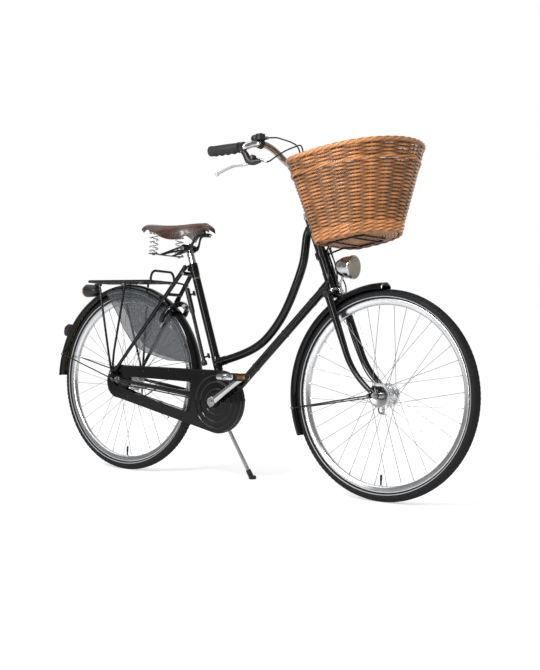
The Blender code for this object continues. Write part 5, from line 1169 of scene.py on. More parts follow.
@dataclass
class DrumBrake:
    """The fixed plate of a drum brake with its axle, nuts and working arm."""

    bench: Bench
    word: str
    body: str
    axle: Vector
    cam: Vector
    hub_half: float
    plate_r: float
    end_y: float
    spacer: float
    axle_r: float = 0.0048
    nut_r: float = 0.0085
    plate_t: float = 0.006
    arm_len: float = 0.04

    def build(self) -> None:
        """Build and dress the plate, the axle and the arm."""
        face = self.hub_half + 0.0007
        outer = face + self.plate_t
        r = self.plate_r
        profile = [
            (0.0, face), (r, face), (r, face + 0.003), (r - 0.0012, face + 0.0042),
            (r - 0.005, face + 0.0046),
        ]
        profile += [
            (r - 0.0065, outer - 0.0004), (r - 0.0085, outer), (r * 0.55, outer), (r * 0.5, outer - 0.001),
        ]
        profile += [(0.015, outer - 0.001), (0.0135, outer), (0.0095, outer), (0.009, self.end_y - 0.003)]
        profile += [(0.0, self.end_y - 0.003)]
        self.bench.make(
            f"{self.word}_brake_cover", lathe(profile, self.axle, SIDE, 64), ALLOY, self.body,
            f"{self.word}_brake_plate",
        )
        width = self.end_y + 0.0028
        shaft = [(0.0, -width - 0.016), (self.axle_r - 0.0006, -width - 0.016)]
        turns = 30
        for k in range(turns):
            along = -width - 0.0155 + k * 0.001
            shaft += [(self.axle_r, along), (self.axle_r - 0.0004, along + 0.0005)]
        shaft += [(r, -y) for r, y in reversed(shaft)]
        parts = [lathe(shaft, self.axle, SIDE, 20)]
        for side in (-1, 1):
            parts.append(hexagon(self.axle, SIDE * side, self.nut_r, width + 0.0022, width + 0.01))
            parts.append(
                washer(self.axle, SIDE * side, self.axle_r, self.nut_r + 0.0022, width, width + 0.002)
            )
        parts.append(disc(self.axle, -SIDE, 0.0085, self.spacer, self.end_y - 0.003, 32))
        parts.append(disc(self.cam, SIDE, 0.0065, outer - 0.0016, outer + 0.0022))
        parts.append(disc(self.cam, SIDE, 0.0028, outer, outer + 0.0074))
        self.bench.make(f"{self.word}_axle_set", parts, STEEL, self.body)
        low = outer + 0.0025
        tip = self.cam - UP * self.arm_len
        thick = SIDE * 0.0026
        outline = arc(self.cam + SIDE * low, FORE, UP, 0.0075, radians(-50), radians(230), 20)
        outline += arc(tip + SIDE * low, FORE, UP, 0.0053, radians(160), radians(380), 14)
        arm = [plate(outline, thick, 0.0005)]
        arm.append(hexagon(self.cam, SIDE, 0.0058, low + 0.0026, low + 0.006))
        arm.append(disc(tip, SIDE, 0.003, low - 0.0015, low + 0.0045))
        self.bench.make(
            f"{self.word}_brake_lever", arm, STEEL, f"{self.word}_brake", f"{self.word}_brake_arm",
        )


# Frame and fork


@dataclass
class Geometry:
    """Angles, axes and points that several sub-assemblies share."""

    rear_axle: Vector
    front_axle: Vector
    bracket: Vector
    seat_up: Vector
    steer_up: Vector
    steer_fore: Vector
    rake: float = 0.056
    head_low: float = 0.386
    head_len: float = 0.252
    seat_len: float = 0.508
    tube_r: float = 0.0143
    head_r: float = 0.0168
    cup_h: float = 0.009
    crown_h: float = 0.022

    @classmethod
    def roadster(cls) -> "Geometry":
        """Return this bicycle's geometry.

        Returns:
            The geometry.
        """
        seat, head = radians(69.8), radians(66.6)
        return cls(
            rear_axle=at(0.0, 0.0, WHEEL_R),
            front_axle=at(1.099, 0.0, WHEEL_R),
            bracket=at(0.465, 0.0, 0.277),
            seat_up=at(-cos(seat), 0.0, sin(seat)),
            steer_up=at(-cos(head), 0.0, sin(head)),
            steer_fore=at(sin(head), 0.0, cos(head)),
        )

    @property
    def head_top(self) -> float:
        """Return the head tube's top along the steering axis."""
        return self.head_low + self.head_len

    @property
    def crown_top(self) -> float:
        """Return the top of the fork's crown along the steering axis."""
        return self.head_low - self.cup_h - GAP

    @property
    def crown(self) -> float:
        """Return the middle of the fork's crown along the steering axis."""
        return self.crown_top - self.crown_h / 2

    @property
    def seat_top(self) -> Vector:
        """Return the seat tube's upper end."""
        return self.bracket + self.seat_up * self.seat_len

    def steer(self, up: float, fore: float = 0.0, side: float = 0.0) -> Vector:
        """Return a point given along the steering axis, ahead of it and to its left."""
        foot = self.front_axle - self.steer_fore * self.rake
        return foot + self.steer_up * up + self.steer_fore * fore + SIDE * side


@dataclass
class MainFrame:
    """Seat tube, down tube, curved top tube, head tube, lugs and bracket shell."""

    bench: Bench
    geo: Geometry
    lug_wall: float = 0.0016
    cup: Rows = ((0.015, 0.0), (0.0186, 0.0), (0.0192, 0.001), (0.0192, 0.003), (0.0205, 0.0046))

    def lug(self, start: Vector, end: Vector, radius: float) -> Mesh:
        """Return a socket with a rolled mouth that narrows onto its tube.

        Args:
            start: Where the socket starts.
            end: Where its mouth ends.
            radius: The tube's radius.

        Returns:
            A closed mesh.
        """
        length = (end - start).length
        wall = self.lug_wall
        profile = [(radius - 0.001, 0.0), (radius + wall, 0.0008), (radius + wall, length * 0.62)]
        profile += [(radius + wall * 0.8, length * 0.66), (radius + wall * 0.7, length - 0.003)]
        profile += [
            (radius + wall * 1.1, length - 0.0022), (radius + wall * 1.1, length - 0.0008),
            (radius - 0.001, length),
        ]
        return lathe(profile, start, end - start, 32, ring=True)

    def build(self) -> None:
        """Build and dress the main frame."""
        g = self.geo
        low, high = g.steer(g.head_low), g.steer(g.head_top)
        down_end = g.steer(g.head_low + 0.027)
        top_end = g.steer(g.head_top - 0.024)
        bend = [
            top_end, at(0.783, 0.0, 0.842), at(0.7735, 0.0, 0.761), at(0.745, 0.0, 0.678),
            at(0.696, 0.0, 0.578), at(0.624, 0.0, 0.493), at(0.539, 0.0, 0.446),
            g.bracket + g.seat_up * 0.14,
        ]
        rough = smooth(bend, 2)
        curve = smooth(rough, 4)
        down = (down_end - g.bracket).normalized()
        tail = (rough[-2] - rough[-1]).normalized()
        r, head = g.tube_r, g.head_r
        parts = [
            rod(g.bracket, g.seat_top, r, 32),
            sweep(curve, r, 32, SIDE),
            rod(g.bracket, down_end, r, 32),
            self.lug(g.bracket, g.bracket + g.seat_up * 0.05, r),
            self.lug(g.bracket, g.bracket + down * 0.052, r),
            self.lug(g.seat_top + g.seat_up * 0.0015, g.seat_top - g.seat_up * 0.042, r),
            self.lug(rough[-1], rough[-1] - g.seat_up * 0.026, r),
            self.lug(rough[-1], rough[-1] + g.seat_up * 0.026, r),
            self.lug(rough[-1], rough[-1] + tail * 0.04, r),
            self.lug(down_end, down_end - down * 0.046, r),
            self.lug(top_end, rough[1] + (rough[1] - rough[0]) * 0.3, r),
            rod(low, high, head, 36),
            self.lug(low, down_end + g.steer_up * 0.034, head),
            self.lug(high, top_end - g.steer_up * 0.03, head),
            rod(g.bracket - SIDE * 0.034, g.bracket + SIDE * 0.034, 0.0205, 40, edge=0.0008),
        ]
        bolt = g.seat_top - g.seat_up * 0.014 + FORE * -0.0185
        parts.append(block(bolt, (0.016, 0.022, 0.015), turn_to(SIDE.cross(g.seat_up), SIDE), 0.002))
        self.bench.make("main_frame_tubes", parts, BLACK, "frame", "main_frame")
        nuts = [
            hexagon(bolt, SIDE, 0.0052, 0.0105, 0.016),
            hexagon(bolt, -SIDE, 0.0052, 0.0105, 0.016),
            rod(bolt - SIDE * 0.017, bolt + SIDE * 0.017, 0.003, 16),
        ]
        self.bench.make("seat_bolt", nuts, CHROME, "frame")
        cup = [*self.cup, (0.0205, g.cup_h), (0.015, g.cup_h)]
        cups = [lathe(cup, low, -g.steer_up, 40, ring=True), lathe(cup, high, g.steer_up, 40, ring=True)]
        self.bench.make("headset_cups", cups, CHROME, "frame")
        lines = []
        for foot, way, spots in (
            (g.bracket, g.seat_up, (0.062, 0.066, 0.45, 0.454)), (g.bracket, down, (0.062, 0.066)),
        ):
            for spot in spots:
                lines.append(washer(foot, way, r - 0.0006, r + 0.00012, spot, spot + 0.0009, 48))
        self.bench.make("frame_gold_lines", lines, GOLD, "frame")


@dataclass
class RearFrame:
    """Chain stays, seat stays, dropouts, bridges and the stand's bracket."""

    bench: Bench
    geo: Geometry
    chain_stay: tuple[float, ...] = (0.0092, 0.009, 0.009, 0.0086, 0.0072, 0.005)
    seat_stay: tuple[float, ...] = (0.0057, 0.0073, 0.0082)

    def build(self) -> None:
        """Build and dress the rear frame."""
        g = self.geo
        parts = []
        for side in (-1, 1):
            stay = [
                at(0.4405, 0.019 * side, 0.2795), at(0.362, 0.0212 * side, 0.2885),
                at(0.325, 0.0265 * side, 0.2935), at(0.2, 0.042 * side, 0.3085),
                at(0.09, 0.057 * side, 0.3215), at(0.012, 0.0623 * side, 0.331),
            ]
            parts.append(tapered(stay, 6, self.chain_stay, None, 24, UP))
            top, foot = at(0.2735, 0.0255 * side, 0.74), REAR_EYELET + SIDE * 0.069 * side
            parts.append(tapered([foot, (top + foot) / 2, top], 8, self.seat_stay, None, 24, UP))
            parts.append(ball(top, 0.0086, (1.0, 1.0, 1.25)))
            outline = arc(at(0.0, 0.0598 * side, WHEEL_R), FORE, UP, 0.0155, radians(-150), radians(95), 24)
            outline += [
                at(x, 0.0598 * side, z) for x,
                z in ((-0.01, 0.364), (-0.027, 0.362), (-0.036, 0.34), (-0.032, 0.324))
            ]
            parts.append(plate(outline, SIDE * 0.005 * side, 0.0007))
            parts.append(disc(REAR_EYELET, SIDE * side, 0.0085, 0.0598, 0.0745))
        bridge = at(0.385, 0.0, 0.2855)
        parts.append(rod(bridge - SIDE * 0.022, bridge + SIDE * 0.022, 0.006, 20))
        yoke = g.seat_top - g.seat_up * 0.036 - FORE * (g.tube_r + 0.0183)
        parts.append(rod(yoke - SIDE * 0.03, yoke + SIDE * 0.03, 0.0072, 24, edge=0.002))
        arch = g.rear_axle + around(radians(56.5)) * 0.3755
        parts.append(rod(arch - SIDE * 0.037, arch + SIDE * 0.037, 0.0058, 20))
        parts.append(block(at(SideStand.pivot.x, 0.033, 0.2705), (0.04, 0.03, 0.012), None, 0.0016))
        self.bench.make("rear_frame_stays", parts, BLACK, "frame", "rear_frame")
        axis = SideStand.axis()
        pivot = SideStand.pivot
        ear = pivot + axis * 0.0103
        bits = [
            block(ear, (0.022, 0.022, 0.006), turn_to(axis, FORE), 0.0012),
            rod(ear + axis * 0.003, at(SideStand.pivot.x, 0.033, 0.268), 0.0062, 20),
            rod(pivot - axis * 0.0106, ear, 0.0045, 20),
            hexagon(pivot, -axis, 0.008, 0.0073, 0.0111),
        ]
        self.bench.make("stand_bracket", bits, STEEL, "frame")
        yoke_bolts = [hexagon(yoke, SIDE * side, 0.0062, 0.03, 0.0345) for side in (-1, 1)]
        self.bench.make("stay_bolts", yoke_bolts, CHROME, "frame")


@dataclass
class Fork:
    """Raked fork with its crown and ends, and the headset's nuts."""

    bench: Bench
    geo: Geometry
    crown_s: float = 0.358
    end_y: float = 0.05
    top_y: float = 0.04
    lock_ring: Rows = ((0.013, 0.0), (0.0178, 0.0), (0.0184, 0.001), (0.0178, 0.0042), (0.013, 0.0042))
    locknut: Rows = (
        (0.013, 0.0044), (0.0182, 0.0044), (0.019, 0.0052), (0.019, 0.0122), (0.0182, 0.0132),
        (0.013, 0.0134),
    )

    def blade(self, up: float, side: float) -> Vector:
        """Return a blade's middle at a height along the steering axis.

        Args:
            up: How far up the steering axis.
            side: 1 for the left blade, -1 for the right.

        Returns:
            The blade's middle.
        """
        share = max(0.0, 1.0 - up / 0.165)
        spread = self.end_y + (self.top_y - self.end_y) * min(1.0, up / self.crown_s)
        return self.geo.steer(up, self.geo.rake * share**2, spread * side)

    def build(self) -> None:
        """Build and dress the fork."""
        g = self.geo
        top, middle = g.crown_top, g.crown
        wide = self.top_y + 0.0125
        arch = smooth(
            [
                g.steer(middle - 0.0024, 0.0, -wide), g.steer(middle, 0.0, -wide + 0.008),
                g.steer(middle + 0.0004), g.steer(middle, 0.0, wide - 0.008),
                g.steer(middle - 0.0024, 0.0, wide),
            ],
            6,
        )
        sizes = []
        for k in range(len(arch)):
            share = abs(2 * k / (len(arch) - 1) - 1) ** 6
            sizes.append((0.011 - 0.004 * share, 0.0152 - 0.0045 * share))
        parts = [sweep(arch, sizes, 28, g.steer_up)]
        parts.append(rod(g.steer(top - 0.006), g.steer(top), 0.0185, 40))
        parts.append(rod(g.steer(middle), g.steer(g.head_top + g.cup_h + 0.013), 0.0127, 32))
        for side in (-1, 1):
            ups = [self.crown_s - 0.338 * k / 30 for k in range(31)]
            line = [self.blade(up, side) for up in ups]
            sizes = [
                (
                    0.0108 - 0.0034 * (1 - up / self.crown_s), 0.014 - 0.006 * (1 - up / self.crown_s),
                ) for up in ups
            ]
            parts.append(sweep(line, sizes, 28, SIDE))
            end = g.front_axle + SIDE * self.end_y * side
            up = end + g.steer_up * 0.023 - g.steer_fore * 0.003
            flat = end - SIDE * 0.0025 * side
            outline = arc(flat, FORE, UP, 0.0125, radians(-110), radians(6), 14)
            outline += [at(x, flat.y, z) for x, z in (
                (up.x + 0.01, up.z + 0.004), (up.x - 0.009, up.z + 0.002), (end.x - 0.015, end.z + 0.0075),
                (end.x - 0.03, end.z + 0.004), (end.x - 0.031, end.z - 0.007),
                (end.x - 0.018, end.z - 0.01),
            )]
            parts.append(plate(outline, SIDE * 0.005 * side, 0.0007))
            parts.append(rod(self.blade(0.04, side), end + g.steer_up * 0.012, 0.0066, 24, 0.0036))
        self.bench.make("fork_blades", parts, BLACK, "steering", "fork")
        low = g.head_top + g.cup_h + 0.0003
        nuts = []
        for profile, sides in ((self.lock_ring, 40), (self.locknut, 8)):
            rows = [(radius, low + rise) for radius, rise in profile]
            nuts.append(lathe(rows, g.steer(0.0), g.steer_up, sides, ring=True))
        self.bench.make("headset_nuts", nuts, CHROME, "steering", "headset_locknut", sharp=25)


@dataclass
class Mudguard:
    """A rolled steel mudguard with beaded edges and its wire stays."""

    bench: Bench
    word: str
    body: str
    middle: Vector
    radius: float
    first: float
    last: float
    stay_angle: float
    eyelet: Vector
    half: float = 0.0265
    skin: float = 0.0011
    drop: float = 0.019
    wire: float = 0.0024

    def point(self, angle: float, turn: float, inset: float = 0.0) -> Vector:
        """Return a point of the skin from its angle round the wheel and round the section.

        Args:
            angle: Its angle round the wheel.
            turn: Its angle round the section, from the middle to a rim.
            inset: How far it is moved inwards.

        Returns:
            The point.
        """
        out = around(angle)
        reach = self.radius - inset - self.drop * (1.0 - cos(turn))
        return self.middle + out * reach + SIDE * ((self.half - inset) * sin(turn))

    def build(self) -> None:
        """Build and dress the mudguard."""
        span = self.last - self.first
        edge = radians(90)

        def shape(u: float, v: float) -> Vector:
            """Return a point of the skin from its two shares."""
            return self.point(self.first + span * u, -edge + 2 * edge * v)

        skin = sheet(110, 22, shape, self.skin)
        parts = [skin]
        steps = [self.first + span * k / 110 for k in range(111)]
        for side in (-1, 1):
            parts.append(sweep([self.point(a, edge * side, 0.0009) for a in steps], 0.0011, 8, SIDE))
        self.bench.make(f"{self.word}_mudguard_skin", parts, BLACK, self.body, f"{self.word}_mudguard")
        if self.word == "rear":
            self.lines(steps)
        else:
            self.tip()
        self.stays()

    def lines(self, steps: Sequence[float]) -> None:
        """Draw the pair of fine gold lines along the skin.

        Args:
            steps: The angles round the wheel.
        """
        made = []
        for side in (-1, 1):
            for turn, width in ((38.0, 0.00055), (31.0, 0.0003)):
                line = [self.point(a, radians(turn) * side, 0.00005) for a in steps[2:-2]]
                made.append(sweep(line, (width, 0.00018), 4, SIDE))
        self.bench.make(f"{self.word}_mudguard_lines", made, GOLD, self.body)

    def tip(self) -> None:
        """Bind the guard's front end with a bright lip."""
        reach = radians(88)
        line = [self.point(self.first, reach * (k / 12 - 1.0), -0.0002) for k in range(25)]
        self.bench.make(
            f"{self.word}_mudguard_tip", sweep(line, (0.0016, 0.003), 12, UP), CHROME, self.body,
        )

    def stays(self) -> None:
        """Build the pair of wire stays with their eyes, bolts and lip clips."""
        out = around(self.stay_angle)
        wires = []
        bolts = []
        for side in (-1, 1):
            rim = self.middle + out * (self.radius - self.drop) + SIDE * side * (self.half - 0.0008)
            hub = at(self.eyelet.x, self.eyelet.y * side, self.eyelet.z)
            run = at(rim.x - hub.x, 0.0, rim.z - hub.z).normalized()
            elbow = hub + run * 0.022
            into = (elbow - rim).normalized()
            line = smooth([rim - into * 0.012, rim + into * 0.02, rim + (elbow - rim) * 0.6, elbow, hub], 5)
            wires.append(sweep(line, self.wire, 14, UP))
            wires.append(disc(hub, SIDE * side, 0.0058, -self.wire, 0.0028))
            clip = rim - into * 0.004
            wires.append(block(clip, (0.01, 0.0052, 0.014), turn_to(into, FORE), 0.001))
            bolts.append(hexagon(hub, SIDE * side, 0.0046, 0.0026, 0.0048))
            bolts.append(ball(clip + SIDE * side * 0.003, 0.0026, (1.0, 0.6, 1.0), 2))
        self.bench.make(f"{self.word}_mudguard_stays", wires, BLACK, self.body)
        self.bench.make(f"{self.word}_mudguard_bolts", bolts, CHROME, self.body)


# Pieces on the rear frame


@dataclass
class Chaincase:
    """Full chaincase with a rolled seam, a pressed front disc and a window."""

    bench: Bench
    geo: Geometry
    out_y: float = 0.059
    in_y: float = 0.0325
    front_r: float = 0.108
    rear_r: float = 0.06
    window: Rows = (
        (0.004, 0.346), (0.342, 0.34), (0.352, 0.331), (0.352, 0.24), (0.341, 0.232), (0.092, 0.281),
        (0.006, 0.306),
    )
    pressings: Rows = (
        (0.09, 0.0042, 0.003), (0.069, 0.005, 0.0034), (0.044, 0.0034, 0.0024), (0.03, 0.0022, 0.0018),
    )
    eye: Rows = ((0.0215, -0.0006), (0.0215, 0.0012), (0.0235, 0.002), (0.0255, 0.0012), (0.0262, -0.0006))
    screws: Rows = (
        (0.405, 0.372), (0.386, 0.199), (0.02, 0.381), (0.12, 0.366), (0.245, 0.374), (0.25, 0.209),
        (0.11, 0.25), (-0.048, 0.345),
    )

    def build(self) -> None:
        """Build and dress the chaincase."""
        g = self.geo
        self.bench.carry("chaincase", BLACK, "frame", 30.0)
        rear = g.rear_axle - UP * 0.0075
        face = -SIDE * (self.out_y - 0.0004)
        trim = []
        for grow, y, radius in (
            (0.0002, 0.0458, 0.0016), (-0.0012, self.out_y - 0.0009, 0.0013),
            (-0.0012, self.in_y + 0.0009, 0.0013),
        ):
            line = belt(g.bracket, self.front_r + grow, rear, self.rear_r + grow, 60, 34)
            line = finer(line, 60)
            trim.append(sweep([p - SIDE * y for p in line], radius, 8, SIDE, looped=True))
        corners = [at(x, 0.0, z) for x, z in self.window]
        hole = finer([*corners, corners[0]], 200)[:-1]
        for y in (self.out_y - 0.0002, self.in_y + 0.0002):
            trim.append(sweep([p - SIDE * y for p in hole], 0.0013, 8, SIDE, looped=True))
        self.bench.make("chaincase_seams", trim, BLACK, "frame")
        rings = []
        for radius, wide, proud in self.pressings:
            profile = [
                (radius - wide, -0.0008), (radius - wide * 0.6, proud * 0.55), (radius, proud),
                (radius + wide * 0.6, proud * 0.55), (radius + wide, -0.0008),
            ]
            rings.append(lathe(profile, g.bracket + face, -SIDE, 96, ring=True))
        rings.append(lathe(self.eye, g.bracket + face, -SIDE, 64, ring=True))
        self.bench.make("chaincase_pressings", rings, BLACK, "frame")
        screws = [ball(at(x, 0.0, z) + face, 0.0036, (1.0, 0.35, 1.0), 2) for x, z in self.screws]
        self.bench.make("chaincase_screws", screws, BLACK, "frame")


@dataclass
class Chain:
    """A roller chain of real links round the chainring and the sprocket, seen through the window."""

    bench: Bench
    geo: Geometry
    line: float = CHAIN_LINE
    pitch: float = CHAIN_PITCH

    def build(self) -> None:
        """Build and dress the chain."""
        g = self.geo
        front_r = self.pitch / (2 * sin(pi / CHAINRING_TEETH))
        rear_r = self.pitch / (2 * sin(pi / SPROCKET_TEETH))
        route = belt(g.bracket, front_r, g.rear_axle, rear_r, 60, 40)
        length = sum((there - here).length for here, there in spans(route))
        joints = evenly(route, 2 * round(length / self.pitch / 2))
        parts = []
        for number, (here, there) in enumerate(spans(joints)):
            low = 0.0031 if number % 2 else 0.0019
            way = (there - here).normalized()
            square = SIDE.cross(way)
            outline = arc(here, square, -way, 0.0041, 0.0, pi, 6) + arc(
                there, -square, way, 0.0041, 0.0, pi, 6,
            )
            for side in (-1, 1):
                flat = [p - SIDE * (self.line + side * low) for p in outline]
                parts.append(plate(flat, -SIDE * side * 0.001, 0.0))
            middle = here - SIDE * self.line
            for half, radius, sides in ((0.0045, 0.0018, 6), (0.0017, 0.0038, 10)):
                parts.append(rod(middle - SIDE * half, middle + SIDE * half, radius, sides, edge=0.0002))
        self.bench.make("chain_links", parts, DARK_STEEL, "frame", "chain")


@dataclass
class Rack:
    """Tubular rear rack with its spring clip, legs and struts."""

    bench: Bench
    level: float = RACK_LEVEL
    rear_x: float = -0.185
    front_x: float = 0.145
    half: float = 0.06
    tube: float = RACK_TUBE_R
    leg: float = 0.0042

    def build(self) -> None:
        """Build and dress the rack."""
        z, h, c = self.level, self.half, 0.022
        corner = [at(self.front_x, h, z), at(self.rear_x + c, h, z)]
        corner += arc(at(self.rear_x + c, h - c, z), -FORE, SIDE, c, radians(80), 0.0, 8)
        rail = corner + mirrored(corner)
        parts = [sweep(rail, self.tube, 18, UP)]
        bend = ((-h, -0.004), (-h - 0.002, 0.012), (-h * 0.93, 0.029), (-h * 0.72, 0.038))
        hoop = smooth([at(self.front_x, y, z + rise) for y, rise in bend], 5)
        hoop += mirrored(hoop)
        parts.append(sweep(hoop, self.tube * 0.9, 18, FORE))
        for x in (self.front_x, 0.075, -0.045, -0.12):
            parts.append(rod(at(x, -h, z), at(x, h, z), 0.0042, 18))
        for side in (-1, 1):
            out = 0.0795 * side
            foot = REAR_EYELET + SIDE * out
            rear = [at(-0.12, h * side, z), at(-0.03, out, 0.4), foot]
            parts.append(sweep(self.eased_bend(rear), self.leg, 16, SIDE))
            front = [at(0.018, h * side, z), at(-0.01, out, 0.43), at(-0.013, out, 0.37)]
            parts.append(sweep(self.eased_bend(front), self.leg, 16, SIDE))
            parts.append(disc(REAR_EYELET, SIDE * side, 0.0095, 0.0748, 0.085))
            strut = [
                at(self.front_x, 0.046 * side, z), at(0.19, 0.0445 * side, z - 0.003),
                at(0.229, 0.0413 * side, 0.679),
            ]
            parts.append(sweep(smooth(strut, 5), 0.0036, 16, SIDE))
        self.bench.make("rack_tubes", parts, BLACK, "frame", "rear_rack")
        bed = [block(at(-0.025, 0.0, z + 0.0042), (0.3, 0.034, 0.002), None, 0.0008)]
        for side in (-1, 1):
            bed.append(
                rod(at(-0.174, 0.015 * side, z + 0.0036), at(0.124, 0.015 * side, z + 0.0036), 0.0017, 12)
            )
        self.bench.make("rack_plate", bed, BLACK, "frame")
        hooks = []
        for side in (-1, 1):
            bent = [
                at(0.03, 0.03 * side, z + 0.0046), at(-0.01, 0.034 * side, z - 0.004),
                at(-0.03, 0.036 * side, z - 0.011), at(-0.046, 0.03 * side, z - 0.006),
                at(-0.045, 0.022 * side, z + 0.0035),
            ]
            hooks.append(sweep(smooth(bent, 6), 0.0019, 12, SIDE))
        self.bench.make("rack_spring_wires", hooks, STEEL, "frame")
        bolts = []
        for side in (-1, 1):
            bolts.append(hexagon(REAR_EYELET, SIDE * side, 0.0056, 0.085, 0.0886))
            bolts.append(hexagon(at(0.2265, 0.0, 0.68), SIDE * side, 0.0046, 0.045, 0.048))
        self.bench.make("rack_bolts", bolts, CHROME, "frame")

    def eased_bend(self, line: Sequence[Vector]) -> list[Vector]:
        """Round the middle corner of a three-point line.

        Args:
            line: The three points.

        Returns:
            The ends with the bend between them.
        """
        first, corner, last = line
        back = (first - corner).normalized() * 0.016
        ahead = (last - corner).normalized() * 0.016
        bend = []
        for k in range(7):
            t = k / 6
            bend.append((corner + back) * (1 - t) ** 2 + corner * 2 * t * (1 - t) + (corner + ahead) * t**2)
        return [first, *bend, last]


@dataclass
class RearLights:
    """Rear lamp under the rack and the reflector on the mudguard."""

    bench: Bench
    lamp: Vector = at(-0.24, 0.0, 0.66)
    half: float = 0.0265
    rise: float = 0.0245

    def oval(self, stops: Sequence[tuple[float, float, float]], start: float) -> Mesh:
        """Return a solid through oval sections along the bicycle.

        Args:
            stops: Distance ahead of the lamp's face, half width and half height of each section.
            start: Where the first section lies.

        Returns:
            A closed mesh.
        """
        points = [self.lamp + FORE * (start + x) for x, _, _ in stops]
        return sweep(points, [(half, rise) for _, half, rise in stops], 40, SIDE)

    def build(self) -> None:
        """Build and dress the rear lights."""
        h, r = self.half, self.rise
        stops = [
            (0.0, h - 0.0012, r - 0.0012), (0.0006, h, r), (0.012, h, r), (0.026, h - 0.0006, r - 0.0008),
            (0.04, h - 0.0022, r - 0.0022),
        ]
        stops += [
            (0.05, h - 0.005, r - 0.0046), (0.057, h - 0.0092, r - 0.0082), (0.061, h - 0.0145, r - 0.0125),
        ]
        shell = self.oval(stops, 0.0)
        top = RACK_LEVEL - RACK_TUBE_R - GAP
        stem = block(at(-0.185, 0.0, top - 0.004), (0.026, 0.016, 0.008), None, 0.0012)
        self.bench.make("rear_lamp_shell", [shell, stem], PLASTIC, "frame", "rear_lamp")
        lens = [
            (-0.0003, h * 0.965, r * 0.965), (-0.006, h * 0.95, r * 0.95), (-0.0092, h * 0.86, r * 0.86),
            (-0.0112, h * 0.66, r * 0.66), (-0.0124, h * 0.3, r * 0.3),
        ]
        self.bench.make("rear_lamp_glass", self.oval(lens, 0.0), RED, "frame", "rear_lamp_lens", sharp=60)
        rim = arc(self.lamp - FORE * 0.0015, SIDE, UP, 1.0, 0.0, tau * 47 / 48, 47)
        band = [
            self.lamp - FORE * 0.0012 + SIDE * ((p.y) * (h - 0.0004)) + UP * (
                (p.z - self.lamp.z) * (r - 0.0004)
            ) for p in rim
        ]
        self.bench.make("rear_lamp_rim", sweep(band, 0.0009, 8, FORE, looped=True), CHROME, "frame")
        self.reflector()

    def reflector(self) -> None:
        """Build the reflector's housing and its red face."""
        angle = radians(150)
        out = around(angle)
        back = at(-sin(angle), 0.0, cos(angle))
        seat = REAR_GUARD_MIDDLE + out * 0.3563
        outline = [(-0.024, 0.0)]
        outline += [
            (-0.0255 * cos(radians(9 * k)), 0.005 + 0.0185 * sin(radians(9 * k))) for k in range(21)
        ]
        outline += [(0.024, 0.0)]
        face = [seat + back * a + out * b - SIDE * 0.019 for a, b in outline]
        shell = plate(face, SIDE * 0.038, 0.0016)
        self.bench.make("rear_reflector_shell", shell, PLASTIC, "frame", "rear_reflector")
        rear_way = (out * 0.35 - FORE * 0.94).normalized()
        disc_at = seat + out * 0.0118 + rear_way * 0.0118
        self.bench.make(
            "rear_reflector_face", disc(disc_at, rear_way, 0.0115, -0.003, 0.01, 40), RED, "frame",
        )


@dataclass
class SkirtGuards:
    """Smoky side panels with a pale bound edge, clipped under the mudguard."""

    bench: Bench
    middle: Vector = REAR_GUARD_MIDDLE
    inner: float = 0.0268
    hem: Rows = ((-0.06, 0.585), (-0.012, 0.515), (0.037, 0.462), (0.099, 0.434), (0.21, 0.41))

    def build(self) -> None:
        """Build and dress both panels."""
        upper = arc(self.middle, FORE, UP, 0.34, radians(14), radians(107), 60)
        lower = [at(x, 0.0, z) for x, z in self.hem]
        turns = [radians(16 + 90 * k / 60) for k in range(61)]
        for side, word in SIDES:
            self.bench.carry(f"skirt_guard_{word}", SMOKE, "frame")
            line = [p + SIDE * side * (self.inner + 0.0006) for p in finer(upper + lower, 90)]
            self.bench.make(
                f"skirt_guard_edge_{word}", sweep(line, (0.0014, 0.001), 8, SIDE, looped=True), PLASTIC,
                "frame",
            )
            band = [self.middle + around(a) * 0.3285 + SIDE * side * (self.inner + 0.0013) for a in turns]
            self.bench.make(
                f"skirt_guard_piping_{word}", sweep(band, (0.0009, 0.0005), 8, SIDE), PIPING, "frame",
            )
            clips = []
            for degrees in (24, 46, 68, 92):
                out = around(radians(degrees))
                spot = self.middle + out * 0.3345 + SIDE * side * (self.inner + 0.0012)
                clips.append(block(spot, (0.016, 0.003, 0.01), turn_to(out, SIDE.cross(out)), 0.001))
            self.bench.make(f"skirt_guard_clips_{word}", clips, PLASTIC, "frame")


@dataclass
class RingLock:
    """Horseshoe lock on the seat stays with its sliding shackle."""

    bench: Bench
    geo: Geometry
    angle: float = radians(49.0)
    centre_r: float = 0.317
    arc_r: float = 0.0545
    rod_r: float = 0.004
    opening: float = radians(118)

    def build(self) -> None:
        """Build and dress the lock."""
        out = around(self.angle)
        normal = SIDE.cross(out)
        centre = self.geo.rear_axle + out * self.centre_r
        end = pi - self.opening / 2
        self.bench.carry("ring_lock", BLACK, "frame", 50.0)
        tail = -end + radians(154)
        bar = arc(centre, out, SIDE, self.arc_r, -end + radians(4), tail, 48)
        knob = arc(centre, out, SIDE, self.arc_r, tail - 0.04, tail, 1)[0]
        parts = [
            sweep(bar, self.rod_r, 20, normal),
            rod(knob, knob + normal * 0.02, 0.0026, 16),
            disc(knob, normal, 0.0065, 0.015, 0.021, 32, 0.0014),
        ]
        self.bench.make("lock_bar", parts, CHROME, "lock", "lock_shackle")
        face = centre + out * self.arc_r + normal * 0.0092
        cover = [
            disc(face, normal, 0.008, -0.001, 0.0016, 40, 0.0006),
            block(face + normal * 0.002, (0.0052, 0.0012, 0.0012), turn_to(normal, SIDE), 0.0002),
        ]
        self.bench.make("lock_cylinder", cover, CHROME, "frame")


